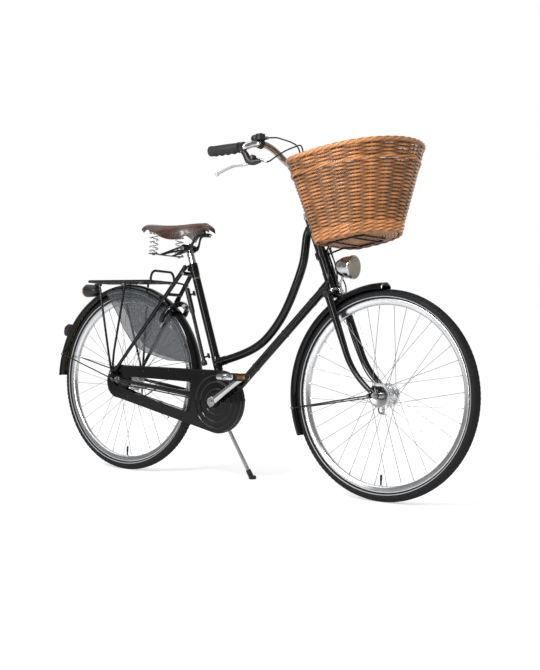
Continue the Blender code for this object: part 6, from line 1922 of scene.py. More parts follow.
@dataclass
class Pump:
    """Frame pump with ribbed handle and pegs, behind the seat tube."""

    bench: Bench
    top: Vector = at(0.2665, -0.002, 0.67)
    foot: Vector = at(0.364, -0.002, 0.396)
    ribs: int = 14
    cap: Rows = ((0.0, 0.0), (0.005, 0.0), (0.0062, 0.001), (0.008, 0.004))
    rib: Rows = ((0.009, 0.0), (0.009, 0.004), (0.0083, 0.0046), (0.0083, 0.0054))
    barrel: Rows = (
        (0.009, 0.092), (0.0072, 0.095), (0.0065, 0.0965), (0.0065, 0.271), (0.0086, 0.2725),
        (0.01, 0.2745), (0.01, 0.287), (0.0088, 0.289), (0.0, 0.29),
    )
    peg: Sequence[float] = (0.018, 0.01, 0.005)

    def build(self) -> None:
        """Build and dress the pump."""
        along = (self.foot - self.top).normalized()
        profile = [*self.cap]
        for k in range(self.ribs):
            profile += [(radius, 0.006 + k * 0.006 + z) for radius, z in self.rib]
        profile += self.barrel
        square = along.cross(SIDE)
        square = square if square.x > 0 else -square
        pegs = []
        for down in (0.03, 0.262):
            start = self.top + along * down
            pegs.append(rod(start, start + square * 0.0265, 0.0034, 16))
            pegs.append(block(start + square * 0.0262, self.peg, turn_to(square, along), 0.001))
        self.bench.make("pump_pegs", pegs, BLACK, "frame")
        self.bench.make("pump_barrel", lathe(profile, self.top, along, 32), PLASTIC, "frame", "pump")


# Drive


@dataclass
class Drive:
    """Chainring, sprocket, cranks and block pedals."""

    bench: Bench
    geo: Geometry
    angle: float = radians(32.5)
    length: float = 0.168
    crank_y: float = 0.08
    flare: float = 0.01
    line: float = CHAIN_LINE
    tooth: Rows = (
        (0.0, -0.0036), (0.18, -0.0022), (0.36, 0.0024), (0.5, 0.0032), (0.64, 0.0024), (0.82, -0.0022),
    )
    arm_wide: tuple[float, ...] = (0.0068, 0.0067, 0.0063, 0.006, 0.0058)
    arm_deep: tuple[float, ...] = (0.0135, 0.0122, 0.0104, 0.0098, 0.0098)

    def build(self) -> None:
        """Build and dress the whole drive."""
        g = self.geo
        cog = self.toothed(SPROCKET_TEETH, g.rear_axle, 0.013)
        driver = washer(g.rear_axle, -SIDE, 0.0062, 0.015, 0.029, 0.046, 40)
        self.bench.make("sprocket_teeth", [cog, driver], DARK_STEEL, "sprocket", "sprocket")
        ring = self.toothed(CHAINRING_TEETH, g.bracket, 0.07)
        spider = [ring]
        for k in range(5):
            way = around(tau * k / 5)
            spider.append(
                block(
                    g.bracket + way * 0.045 - SIDE * self.line, (0.016, 0.004, 0.06),
                    turn_to(way, FORE if k else UP), 0.001,
                )
            )
        spider.append(disc(g.bracket, -SIDE, 0.03, self.line - 0.0032, self.line + 0.0032))
        self.bench.make("chainring", spider, STEEL, "crank")
        for side, word in SIDES:
            self.crank(side, word)

    def toothed(self, teeth: int, centre: Vector, bore: float) -> Mesh:
        """Return a flat toothed ring on the chain's line.

        Args:
            teeth: How many teeth it has.
            centre: Its middle.
            bore: Radius of its hole.

        Returns:
            A closed mesh.
        """
        pitch_r = CHAIN_PITCH / (2 * sin(pi / teeth))
        outline = []
        for k in range(teeth):
            for share, rise in self.tooth:
                turn = tau * (k + share) / teeth
                outline.append(centre + around(turn) * (pitch_r + rise))
        bm = bmesh.new()
        rim = [bm.verts.new(p - SIDE * (self.line - 0.0011)) for p in outline]
        edges = [bm.edges.new(pair) for pair in spans(rim)]
        turn = turn_to(SIDE, FORE)
        place = Matrix.Translation(centre - SIDE * (self.line - 0.0011)) @ turn.to_4x4()
        inner = bmesh.ops.create_circle(
            bm, cap_ends=False, segments=len(outline), radius=bore, matrix=place,
        )["verts"]
        edges += [e for e in {e for v in inner for e in v.link_edges}]
        bmesh.ops.bridge_loops(bm, edges=edges)
        grown = bmesh.ops.extrude_face_region(bm, geom=bm.faces[:])["geom"]
        bmesh.ops.translate(
            bm, vec=-SIDE * 0.0022, verts=[v for v in grown if isinstance(v, bmesh.types.BMVert)],
        )
        return closed(bm)

    def crank(self, side: int, word: str) -> None:
        """Build one crank arm and its pedal.

        Args:
            side: 1 for the left, -1 for the right.
            word: The side's name.
        """
        g = self.geo
        reach = around(self.angle) * -side
        pedal = g.bracket + reach * self.length
        out = SIDE * side
        end_y = self.crank_y + self.flare
        stops = (
            (0.0, -0.001), (0.03, -0.0005), (0.08, 0.004), (
                self.length * 0.75, self.flare * 0.75,
            ), (self.length, self.flare),
        )
        line = [g.bracket + reach * far + out * (self.crank_y + flare) for far, flare in stops]
        parts = [tapered(line, 8, self.arm_wide, self.arm_deep, 24, out)]
        parts.append(disc(pedal, out, 0.0125, end_y - 0.006, end_y + 0.006, 36, 0.0012))
        low = 0.0385 if side < 0 else 0.0347
        parts.append(disc(g.bracket, out, 0.0165, low, self.crank_y + 0.0065, 48, 0.0014))
        parts.append(hexagon(g.bracket, out, 0.0078, self.crank_y + 0.006, self.crank_y + 0.0105))
        self.bench.make(f"crank_arm_{word}", parts, CHROME, "crank", f"crank_{word}")
        self.pedal(word, pedal, out)

    def pedal(self, word: str, pedal: Vector, out: Vector) -> None:
        """Build one block pedal with ribbed rubbers, cage plates, cap and reflectors.

        Args:
            word: The side's name.
            pedal: Where the pedal's axis meets the wheel's plane.
            out: Outwards.
        """
        start = self.crank_y + self.flare + 0.0063
        end = start + 0.096
        body = f"pedal_{word}"
        metal = [disc(pedal, out, 0.01, start + 0.003, end - 0.001, 32)]
        metal.append(disc(pedal, out, 0.0075, end - 0.003, end + 0.005, 32, 0.0016))
        metal.append(
            rod(pedal + out * (self.crank_y + self.flare - 0.005), pedal + out * (start + 0.01), 0.0052, 20)
        )
        for low in (start + 0.001, end - 0.006):
            outline = arc(pedal + FORE * 0.026 + out * low, FORE, UP, 0.0085, -pi / 2, pi / 2, 12)
            outline += arc(pedal - FORE * 0.026 + out * low, FORE, UP, 0.0085, pi / 2, pi * 1.5, 12)
            metal.append(plate(outline, out * 0.003, 0.0006))
        self.bench.make(f"pedal_cage_{word}", metal, CHROME, body, body)
        rubbers = []
        tabs = []
        middle_y = (start + end) / 2
        for shift in (-0.02, 0.02):
            spot = pedal + FORE * shift + out * middle_y
            rubbers.append(block(spot, (0.0225, 0.082, 0.0215), None, 0.003))
            for k in range(12):
                along = out * (-0.036 + k * 0.072 / 11)
                rubbers.append(block(spot + along, (0.0238, 0.0036, 0.0248), None, 0.001))
            tabs.append(block(spot + FORE * copysign(0.0125, shift), (0.005, 0.04, 0.013), None, 0.001))
        self.bench.make(f"pedal_rubbers_{word}", rubbers, RUBBER, body)
        self.bench.make(f"pedal_reflectors_{word}", tabs, AMBER, body)


@dataclass
class SideStand:
    """Side stand leg with its rubber-shod foot."""

    bench: Bench
    pivot = at(0.413, 0.0405, 0.226)
    foot = at(0.5126, 0.1, 0.0)
    leg_r: float = 0.0066

    @classmethod
    def sole(cls) -> Vector:
        """Return the middle of the sole, on the ground under the leaning bicycle."""
        low = 0.0175 - 0.0175 / cos(LEAN)
        return at(cls.foot.x, cls.foot.y, low + cls.foot.y * tan(LEAN))

    @classmethod
    def axis(cls) -> Vector:
        """Return the stand's hinge axis."""
        down = (cls.sole() - cls.pivot).normalized()
        return down.cross(at(-0.985, 0.14, 0.1).normalized()).normalized()

    def build(self) -> None:
        """Build and dress the stand."""
        foot = self.sole()
        down = (foot - self.pivot).normalized()
        leg = smooth([self.pivot + down * 0.008, self.pivot + down * 0.09, foot - down * 0.02], 8)
        parts = [
            washer(self.pivot, self.axis(), 0.0052, 0.012, -self.leg_r, self.leg_r, 40),
            sweep(leg, self.leg_r, 24, SIDE),
        ]
        self.bench.make("stand_tube", parts, STEEL, "stand", "stand_leg")
        level = Matrix.Rotation(LEAN, 3, "X") @ UP
        shoe = [
            disc(foot, level, 0.013, 0.0, 0.012, 40, 0.0016),
            rod(foot - down * 0.0115, foot - down * 0.036, 0.0095, 28, 0.0086),
        ]
        self.bench.make("stand_shoe", shoe, RUBBER, "stand")


# Steering group


@dataclass
class Handlebar:
    """Quill stem, swept-back bar and ribbed grips."""

    bench: Bench
    geo: Geometry
    centre: Vector = at(0.766, 0.0, 1.056)
    bar_r: float = 0.0111
    grip_y: float = 0.29
    ribs: int = 24
    flange: Rows = (
        (0.0, 0.0), (0.016, 0.0), (0.017, 0.001), (0.0172, 0.004), (0.0158, 0.0065), (0.0146, 0.0085),
    )
    grip_end: Rows = (
        (0.0148, -0.013), (0.0166, -0.009), (0.0168, -0.005), (0.016, -0.0008), (0.013, 0.0008),
        (0.0, 0.001),
    )
    sweep_back: Rows = (
        (0.77, 0.06, 1.0565), (0.7745, 0.1, 1.0608), (0.778, 0.14, 1.073), (0.7772, 0.175, 1.089),
        (0.7745, 0.207, 1.1005), (0.769, 0.237, 1.1058), (0.759, 0.265, 1.1032), (0.748, 0.282, 1.0965),
    )

    def grip_line(self, side: int) -> tuple[Vector, Vector]:
        """Return the front and rear ends of a grip's axis."""
        return at(0.722, self.grip_y * side, 1.091), at(0.6, self.grip_y * side, 1.0875)

    def half(self, side: int) -> list[Vector]:
        """Return half of the bar's line, from the clamp into the grip.

        Args:
            side: 1 for the left half, -1 for the right.

        Returns:
            The points.
        """
        front, rear = self.grip_line(1)
        aim = (rear - front).normalized()
        turns = [self.centre + SIDE * 0.024, *[at(*row) for row in self.sweep_back], front - aim * 0.019]
        return [at(p.x, p.y * side, p.z) for p in (self.centre, *turns, front, rear - aim * 0.006)]

    def build(self) -> None:
        """Build and dress the stem, the bar and the grips."""
        g, centre = self.geo, self.centre
        foot = g.steer(0.0)
        up = (centre - foot).dot(g.steer_up)
        elbow = g.steer(up - 0.006)
        lift = g.steer_up
        neck = [elbow - lift * 0.012, elbow - lift * 0.004, g.steer(up - 0.003, 0.016), centre]
        stem = [
            rod(g.steer(g.head_low + 0.11), elbow + lift * 0.01, 0.0111, 32, edge=0.001),
            tapered(neck, 5, (0.0118, 0.013, 0.0124, 0.0126), None, 32, SIDE),
            collar(centre, SIDE, (0.0114, 0.0166, 0.0172), (0.02, 0.0192), 40),
            hexagon(elbow, lift, 0.0078, 0.008, 0.0155),
            block(centre - g.steer_fore * 0.002 - lift * 0.0195, (0.012, 0.018, 0.012), None, 0.0016),
        ]
        self.bench.make("stem_forging", stem, CHROME, "steering", "stem")
        bolt = disc(centre - g.steer_fore * 0.002 - lift * 0.0215, SIDE, 0.0048, -0.0118, 0.0118, 24)
        self.bench.make("stem_bolt", bolt, STEEL, "steering")
        line = list(reversed(self.half(-1))) + self.half(1)[1:]
        self.bench.make(
            "handlebar_tube", sweep(smooth(line, 6), self.bar_r, 32, UP), CHROME, "steering", "handlebar",
        )
        for side, word in SIDES:
            front, rear = self.grip_line(side)
            grip = lathe(self.grip_profile((rear - front).length), front, rear - front, 40)
            grip = self.fingered(grip, front, rear)
            self.bench.make(f"grip_rubber_{word}", grip, RUBBER, "steering", f"grip_{word}")

    def grip_profile(self, length: float) -> list[tuple[float, float]]:
        """Return a grip's flange, its ribs and its rounded end.

        Args:
            length: The grip's length.

        Returns:
            Radius and place along the grip of each point.
        """
        profile = [*self.flange]
        for k in range(self.ribs):
            along = 0.012 + k * (length - 0.03) / (self.ribs - 1)
            swell = 0.0004 + 0.0006 * sin(pi * k / (self.ribs - 1))
            low, high = 0.0146 + swell, 0.0151 + swell
            profile += [
                (low, along - 0.0018), (high, along - 0.0009), (high, along + 0.0009),
                (low, along + 0.0018),
            ]
        return profile + [(radius, length + past) for radius, past in self.grip_end]

    @staticmethod
    def fingered(bm: Mesh, front: Vector, rear: Vector) -> Mesh:
        """Swell a grip's underside into four finger waves.

        Args:
            bm: The grip.
            front: Middle of its front end.
            rear: Middle of its rear end.

        Returns:
            The same mesh.
        """
        aim = (rear - front).normalized()
        for vert in bm.verts:
            along = (vert.co - front).dot(aim)
            below = front + aim * along - vert.co
            if 0.012 < along < 0.112 and below.z > 0.0:
                vert.co.z -= 0.003 * sin(pi * (along - 0.012) / 0.025) ** 2 * below.z / 0.015
        return bm


@dataclass
class BrakeLever:
    """One brake lever with its clamp, cable barrel and pivot."""

    bench: Bench
    side: int
    word: str
    hood: Rows = (
        (0.733, 0.2895, 1.08), (0.745, 0.2885, 1.065), (0.756, 0.2875, 1.047), (0.776, 0.285, 1.0425),
        (0.796, 0.2805, 1.046),
    )
    hood_wide: tuple[float, ...] = (0.0085, 0.0095, 0.0098, 0.009, 0.0062)
    hood_deep: tuple[float, ...] = (0.009, 0.0105, 0.0112, 0.0098, 0.0066)
    blade: Rows = (
        (0.76, 0.287, 1.041), (0.738, 0.288, 1.035), (0.698, 0.289, 1.0335), (0.665, 0.289, 1.025),
        (0.63, 0.288, 1.013),
    )
    blade_wide: tuple[float, ...] = (0.003, 0.0045, 0.0068, 0.0074, 0.0066, 0.0052)

    def spot(self, x: float, y: float, z: float) -> Vector:
        """Return a point given on the left side, on this lever's side."""
        return at(x, y * self.side, z)

    def build(self) -> None:
        """Build and dress the bracket and the lever."""
        s = self.spot
        pivot = s(0.772, 0.287, 1.056)
        clamp = collar(s(0.731, 0.29, 1.0918), FORE, (0.0116, 0.0152, 0.0158), (0.0075, 0.0068), 36)
        hood = tapered([s(*row) for row in self.hood], 6, self.hood_wide, self.hood_deep, 24, SIDE)
        cheek = disc(pivot, SIDE, 0.0085, -0.0085, 0.0085, 32, 0.002)
        exit_at = s(0.808, 0.2765, 1.044)
        barrel_at = s(0.767, 0.279, 1.06)
        way = (exit_at - barrel_at).normalized()
        length = (exit_at - barrel_at).length
        self.bench.make(
            f"lever_bracket_{self.word}", [clamp, cheek, hood], PLASTIC, "steering",
            f"brake_perch_{self.word}",
        )
        profile = [(0.0, 0.0), (0.004, 0.0), (0.004, length - 0.018)]
        for k in range(4):
            along = length - 0.017 + k * 0.0022
            profile += [(0.005, along), (0.005, along + 0.0014), (0.0044, along + 0.0018)]
        profile += [(0.0042, length - 0.006), (0.0042, length - 0.0006), (0.0034, length), (0.0, length)]
        metal = [lathe(profile, barrel_at, way, 24)]
        metal.append(disc(pivot, SIDE, 0.004, -0.0104, 0.0104, 28, 0.0012))
        metal.append(disc(s(0.731, 0.29, 1.077), SIDE, 0.0032, -0.01, 0.01, 20, 0.0008))
        self.bench.make(f"lever_barrel_{self.word}", metal, CHROME, "steering")
        row = [pivot + at(-0.003, 0.0, -0.003), *[s(*stop) for stop in self.blade]]
        parts = [
            tapered(row, 8, self.blade_wide, 0.0034, 24, SIDE),
            washer(pivot, SIDE, 0.0026, 0.0062, -0.003, 0.003, 28),
            ball(row[-1], 0.0072, (1.0, 1.0, 0.9), 3),
        ]
        self.bench.make(
            f"lever_blade_{self.word}", parts, ALLOY, f"lever_{self.word}", f"brake_lever_{self.word}",
        )


@dataclass
class Shifter:
    """Thumb shifter on the right of the bar."""

    bench: Bench
    bar: Handlebar
    seat: Vector = at(0.7655, -0.245, 1.1055)
    pod: Rows = (
        (0.0, 0.012), (0.0155, 0.012), (0.0165, 0.013), (0.0165, 0.0222), (0.0155, 0.0235), (0.0, 0.0235),
    )
    cap: Rows = (
        (0.0, 0.0312), (0.0062, 0.0312), (0.0075, 0.0318), (0.0075, 0.0328), (0.006, 0.0342),
        (0.0, 0.0345),
    )
    stop: Vector = at(0.025, 0.0085, 0.0185)

    def build(self) -> None:
        """Build and dress the pod and its thumb lever."""
        seat = self.seat
        half = self.bar.half(-1)
        aim = (half[7] - half[6]).normalized()
        parts = [
            collar(seat, aim, (0.0116, 0.0144, 0.015), (0.008, 0.0073), 32),
            lathe(self.pod, seat, UP, 40),
            rod(seat + at(0.004, 0.003, 0.0175), seat + self.stop, 0.0072, 24, 0.0046, 0.001),
            ball(seat + at(-0.0125, -0.0085, 0.0175), 0.014, (1.15, 1.0, 0.85), 3),
        ]
        self.bench.make("shifter_pod", parts, PLASTIC, "steering", "gear_shifter")
        spot = seat + self.stop - at(0.002, 0, 0)
        metal = [
            lathe(self.cap, seat, UP, 32),
            disc(spot, at(0.017, 0.0045, 0.0005), 0.0046, -0.003, 0.003, 20),
        ]
        self.bench.make("shifter_cap", metal, CHROME, "steering")
        thumb = [
            seat + at(-0.01, 0.004, 0.0272), seat + at(-0.024, 0.012, 0.028),
            seat + at(-0.036, 0.016, 0.03),
        ]
        lever = [
            washer(seat, UP, 0.0052, 0.015, 0.0239, 0.031, 40),
            tapered(thumb, 6, (0.0048, 0.0052, 0.006), 0.0025, 20, SIDE),
        ]
        self.bench.make("shifter_thumb", lever, PLASTIC, "shifter", "shift_lever")


@dataclass
class Bell:
    """Chrome bell with its thumb lever."""

    bench: Bench
    seat: Vector = at(0.7775, 0.175, 1.0888)
    radius: float = 0.0265
    works: Rows = (
        (0.0, 0.023), (0.0166, 0.023), (0.017, 0.0236), (0.017, 0.0286), (0.0164, 0.029), (0.0, 0.029),
    )

    def build(self) -> None:
        """Build and dress the bell and its lever."""
        seat, r = self.seat, self.radius
        aim = at(-0.001, 0.045, 0.02)
        turns = [radians(90 * k / 14) for k in range(15)]
        outer = [(r * cos(t), 0.033 + 0.023 * sin(t)) for t in turns]
        inner = [((r - 0.0016) * cos(t), 0.033 + 0.0212 * sin(t)) for t in reversed(turns)]
        brim = [((r - 0.0016), 0.0312), (r + 0.0002, 0.0312), (r + 0.0004, 0.0322)]
        parts = [
            lathe(inner[:-1] + brim + outer[1:], seat, UP, 64),
            ball(seat + UP * 0.0556, 0.0046, (1.0, 1.0, 0.55), 3),
            collar(seat, aim, (0.0116, 0.0138, 0.0142), (0.0055, 0.0049), 32),
            disc(seat, UP, 0.007, 0.0115, 0.024, 24),
            lathe(self.works, seat, UP, 48),
            disc(seat, UP, 0.004, 0.028, 0.0545, 16),
        ]
        self.bench.make("bell_dome", parts, CHROME, "steering", "bell")
        pivot = seat + at(-0.013, -0.008, 0.0)
        row = [pivot + UP * 0.0305, pivot + at(-0.016, -0.01, 0.0305), pivot + at(-0.026, -0.018, 0.032)]
        lever = [
            disc(pivot, UP, 0.0036, 0.0293, 0.0318, 20),
            tapered(row, 6, (0.003, 0.0036, 0.0048), 0.0011, 16, SIDE),
        ]
        self.bench.make("bell_thumb", lever, STEEL, "bell", "bell_lever")


@dataclass
class Headlamp:
    """Bullet headlamp with its reflector bowl, bulb, fluted glass and bracket."""

    bench: Bench
    geo: Geometry
    face: Vector = at(0.974, 0.0, 0.734)
    aim: Vector = at(1.0, 0.0, -0.03)
    shell: Rows = (
        (0.0, -0.07), (0.006, -0.0697), (0.012, -0.0684), (0.018, -0.065), (0.0232, -0.0598),
        (0.0275, -0.053), (0.0306, -0.046), (0.033, -0.038), (0.0346, -0.03), (0.0355, -0.022),
        (0.0358, -0.011),
    )
    bezel: Rows = (
        (0.0376, -0.0098), (0.0386, -0.0085), (0.0388, -0.006), (0.0386, -0.0028), (0.0376, -0.0008),
        (0.0362, 0.0), (0.0346, -0.0004), (0.034, -0.002),
    )

    def build(self) -> None:
        """Build and dress the lamp."""
        g, face, aim = self.geo, self.face, self.aim.normalized()
        bowl = [(0.0335 * sqrt(1 - k / 8), -0.0035 - 0.03 * k / 8) for k in range(9)]
        parts = [lathe([*self.shell, *self.bezel, *bowl], face, aim, 72)]
        low = g.crown
        turn = turn_to(g.steer_up, g.steer_fore)
        plate_at = g.steer(low + 0.002, 0.0264)
        strut = smooth(
            [plate_at + g.steer_fore * 0.0012, g.steer(low + 0.03, 0.034), at(0.937, 0.0, 0.708)], 6,
        )
        parts += [
            block(plate_at, (0.003, 0.02, 0.02), turn, 0.0008),
            sweep(strut, (0.0065, 0.0022), 16, SIDE),
            hexagon(plate_at, g.steer_fore, 0.0058, 0.0012, 0.0065),
            disc(face - aim * 0.03, SIDE, 0.0034, -0.0378, 0.0378, 20, 0.001),
        ]
        self.bench.make("headlamp_shell", parts, CHROME, "steering", "headlamp")
        bulb = [
            ball(face - aim * 0.019, 0.0052, (1.0, 1.0, 1.0), 3),
            disc(face - aim * 0.027, aim, 0.0046, -0.004, 0.004, 24),
        ]
        self.bench.make("headlamp_bulb", bulb, CLEAR, "steering")
        profile = [(0.0, -0.0024), (0.0338, -0.0024), (0.0338, -0.0008)]
        turns = [radians(9 * k) for k in range(1, 11)]
        profile += [(0.0338 * cos(turn), -0.0006 + 0.008 * sin(turn)) for turn in turns]
        self.bench.make("headlamp_glass", lathe(profile, face, aim, 72), LENS, "steering", "headlamp_lens")


@dataclass
class Basket:
    """Woven willow basket: stakes, weavers, twined bands, a plaited border and a woven base."""

    bench: Bench
    geo: Geometry
    middle: Vector = at(0.949, 0.0, 1.086)
    tilt: float = radians(10.5)
    half_width: float = 0.205
    front: float = 0.24
    rear: float = 0.15
    height: float = 0.268
    taper: float = 0.62
    shift: float = -0.022
    wall: float = 0.007
    stakes: int = 24
    across: Rows = ((-0.1, 0.07), (-0.06, 0.1), (-0.02, 0.11), (0.03, 0.11), (0.07, 0.09), (0.11, 0.05))
    section: tuple[float, float] = (0.0037, 0.0031)
    pitch: float = 0.0052
    sink: float = 0.0022
    swing: float = 0.0027
    bands: Rows = (
        (0.056, 0.0034, 0.003), (0.243, 0.0036, 0.0012), (0.253, 0.0038, 0.0012), (0.263, 0.004, 0.0008),
    )

    def point(self, x: float, y: float, depth: float) -> Vector:
        """Return a point ahead of the tilted basket's middle, to its left and below its rim.

        Args:
            x: How far ahead.
            y: How far to the left.
            depth: How far below the rim.

        Returns:
            The point.
        """
        ahead = around(self.tilt)
        down = at(sin(self.tilt), 0.0, -cos(self.tilt))
        return self.middle + ahead * x + SIDE * y + down * depth

    def loop(self, depth: float, margin: float, count: int) -> list[Vector]:
        """Return evenly spaced points round the wall.

        Args:
            depth: How far below the rim.
            margin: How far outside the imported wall's outer face.
            count: How many points.

        Returns:
            The points, in order from the front towards the left.
        """
        share = depth / self.height
        size = 1.0 - (1.0 - self.taper) * share
        dense = []
        for k in range(720):
            angle = tau * (k + 0.5) / 720
            c, s = cos(angle), sin(angle)
            power = 2.0 / 2.05 if c > 0 else 2.0 / 5.0
            reach = self.front if c > 0 else self.rear
            x = copysign(abs(c) ** power, c) * (reach * size + margin) + self.shift * share
            y = copysign(abs(s) ** power, s) * (self.half_width * size + margin)
            dense.append(self.point(x, y, depth))
        return evenly(dense, count)

    def strand(
        self,
        depth: float,
        size: Size,
        swing: float,
        beats: float,
        phase: float,
        tone: float,
        lift: float = 0.0,
        per: int = 6,
        proud: float = 0.0,
    ) -> tuple[Mesh, list[float]]:
        """Return one strand that weaves round the wall, with painted shade where it passes inside.

        Args:
            depth: How far below the rim.
            size: The strand's radius, or its half height and half depth.
            swing: How far it moves in and out.
            beats: How many times it does so on its way round.
            phase: Where it starts in a beat.
            tone: How light it is, from 0 to 1.
            lift: How far it also moves up and down, which makes a twist.
            per: How many points each half of a beat has.
            proud: How far it stands out of the wall.

        Returns:
            A closed mesh and the tone of each of its points, painted shade included.
        """
        count = int(beats * per * 2)
        sides = 8
        inner = self.loop(depth, proud - self.sink - 0.01, count)
        outer = self.loop(depth, proud - self.sink + 0.01, count)
        upwards = self.point(0.0, 0.0, -1.0) - self.point(0.0, 0.0, 0.0)
        line = []
        tones_and_shade = []
        for k in range(count):
            turn = tau * beats * k / count + phase
            middle = (inner[k] + outer[k]) / 2
            out = (outer[k] - inner[k]).normalized()
            line.append(middle + out * swing * cos(turn) + upwards * lift * sin(turn))
            # Painted shade: the colour darkens as the strand swings inwards, in place of the shadow between
            # strands; the second factor is the strand's own tone.
            crest = (0.5 + 0.5 * cos(turn)) ** 2.0
            tones_and_shade += [(0.1 + 0.9 * crest) * (0.6 + 0.4 * tone)] * sides
        return sweep(line, size, sides, upwards, looped=True), tones_and_shade

    def even(self, bm: Mesh, number: int) -> tuple[Mesh, list[float]]:
        """Return a strand with the same tone all along."""
        return bm, [0.45 + 0.45 * self.tone(number)] * len(bm.verts)

    def woven(self, name: str, strands: Sequence[tuple[Mesh, list[float]]], *replaced: str) -> None:
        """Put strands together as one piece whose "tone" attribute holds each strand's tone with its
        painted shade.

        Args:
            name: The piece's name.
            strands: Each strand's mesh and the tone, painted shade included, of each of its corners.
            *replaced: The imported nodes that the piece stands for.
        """
        tones_and_shade = [tone for _, row in strands for tone in row]
        whole = gather(*[bm for bm, _ in strands])
        layer = whole.verts.layers.float.new("tone")
        for vert, tone in zip(whole.verts, tones_and_shade):
            vert[layer] = tone
        self.bench.make(name, whole, WILLOW, "steering", *replaced, sharp=80.0)

    @staticmethod
    def tone(number: int) -> float:
        """Return a strand's tone, spread without a visible order."""
        return (number * 0.618034 + 0.13 * sin(number * 2.4)) % 1.0

    def build(self) -> None:
        """Build and dress the basket."""
        rows = []
        first, last = 0.0165, self.height - 0.01
        count = int((last - first) / self.pitch)
        for k in range(count):
            depth = first + (last - first) * k / (count - 1) + 0.00035 * sin(k * 1.9)
            if min(abs(depth - band) - radius for band, radius, _ in self.bands) > self.pitch / 2:
                rows.append(
                    self.strand(
                        depth, self.section, self.swing, self.stakes / 2, pi * (k % 2), self.tone(k),
                    )
                )
        self.woven("basket_weave", rows, "basket")
        uprights = []
        tops = self.loop(0.01, -self.sink, self.stakes)
        lows = self.loop(self.height - 0.003, -self.sink, self.stakes)
        for k, (top, low) in enumerate(zip(tops, lows)):
            stake = rod(top, low, 0.003, 8, 0.0024)
            # Painted shade: the stakes get a dark tone in place of the shadow they sit in behind the
            # weavers; only the small spread between stakes is their own tone.
            uprights.append((stake, [0.1 + 0.12 * self.tone(k)] * len(stake.verts)))
        self.woven("basket_stakes", uprights)
        bands = []
        for depth, radius, proud in self.bands:
            for k in range(3):
                bands.append(
                    self.strand(depth, radius, 0.0028, self.stakes / 3, tau * k / 3, 1.0, radius, 12, proud)
                )
        self.woven("basket_bands", bands)
        border = []
        for k in range(4):
            border.append(self.strand(0.0072, 0.0041, 0.0048, self.stakes / 2, tau * k / 4, 0.95, 0.0044))
        self.woven("basket_border", border)
        self.base()

    def base(self) -> None:
        """Build the woven base."""
        floor = self.height - 0.003
        outline = self.loop(floor, -self.wall - 0.001, 96)
        centre = sum(outline, Vector()) / len(outline)
        upwards = self.point(0.0, 0.0, -1.0) - self.point(0.0, 0.0, 0.0)
        rings = 24
        sides = 6
        strands = []
        for ring in range(rings):
            share = (ring + 0.8) / (rings + 0.8)
            line = []
            tones_and_shade = []
            for k, spot in enumerate(outline):
                beat = cos(tau * k / 8 + pi * ring)
                line.append(centre.lerp(spot, share) - upwards * 0.0014 * beat)
                # Painted shade: each base strand darkens where it dips into the weave, with its own random
                # tone on top.
                tones_and_shade += [0.3 + 0.45 * (0.5 + 0.5 * beat) * (0.6 + 0.4 * self.tone(ring + 9))] * sides
            strands.append((sweep(line, 0.0026, sides, upwards, looped=True), tones_and_shade))
        for k, (x, y) in enumerate(self.across):
            ends = [self.point(x + self.shift, reach, floor) for reach in (-y, y)]
            strands.append(self.even(rod(*ends, 0.002, 8), k))
        self.woven("basket_base", strands)

    def rack(self) -> None:
        """Build the wire support under the basket and its bracket on the head tube."""
        g = self.geo
        wire_r, seat = 0.0032, 0.508
        floor = self.height + 0.0003 + wire_r
        back, front, half = -0.098, 0.048, 0.078
        clamp = g.steer(seat)
        side = [
            clamp + at(0.018, 0.006, 0.002), self.point(back - 0.004, 0.04, floor + 0.001),
            self.point(back + 0.02, half, floor), self.point(front - 0.016, half, floor),
            self.point(front, half - 0.016, floor),
        ]
        loop = side + mirrored(side)
        low = g.crown - 0.007
        high = seat + 0.004
        turn = turn_to(g.steer_up, g.steer_fore)
        parts = [
            sweep(loop, wire_r, 14, UP),
            washer(g.steer(0.0), g.steer_up, g.head_r + 0.0007, 0.0222, seat - 0.01, seat + 0.01, 48),
            block(g.steer((low + high) / 2, 0.02285), (0.0034, 0.013, high - low), turn, 0.001),
            block(g.steer(low + 0.0085, 0.0215), (0.003, 0.013, 0.017), turn, 0.0006),
        ]
        for x in (-0.06, 0.01):
            parts.append(rod(self.point(x, -half, floor), self.point(x, half, floor), 0.0028, 14))
        self.bench.make("basket_bracket", parts, BLACK, "steering", "basket_support")
        bolts = [
            hexagon(g.steer(seat, 0.0222), g.steer_fore, 0.005, 0.0, 0.0048),
            hexagon(g.steer(low + 0.03, 0.0245), g.steer_fore, 0.0046, 0.0, 0.0034),
        ]
        self.bench.make("basket_bolts", bolts, CHROME, "steering")


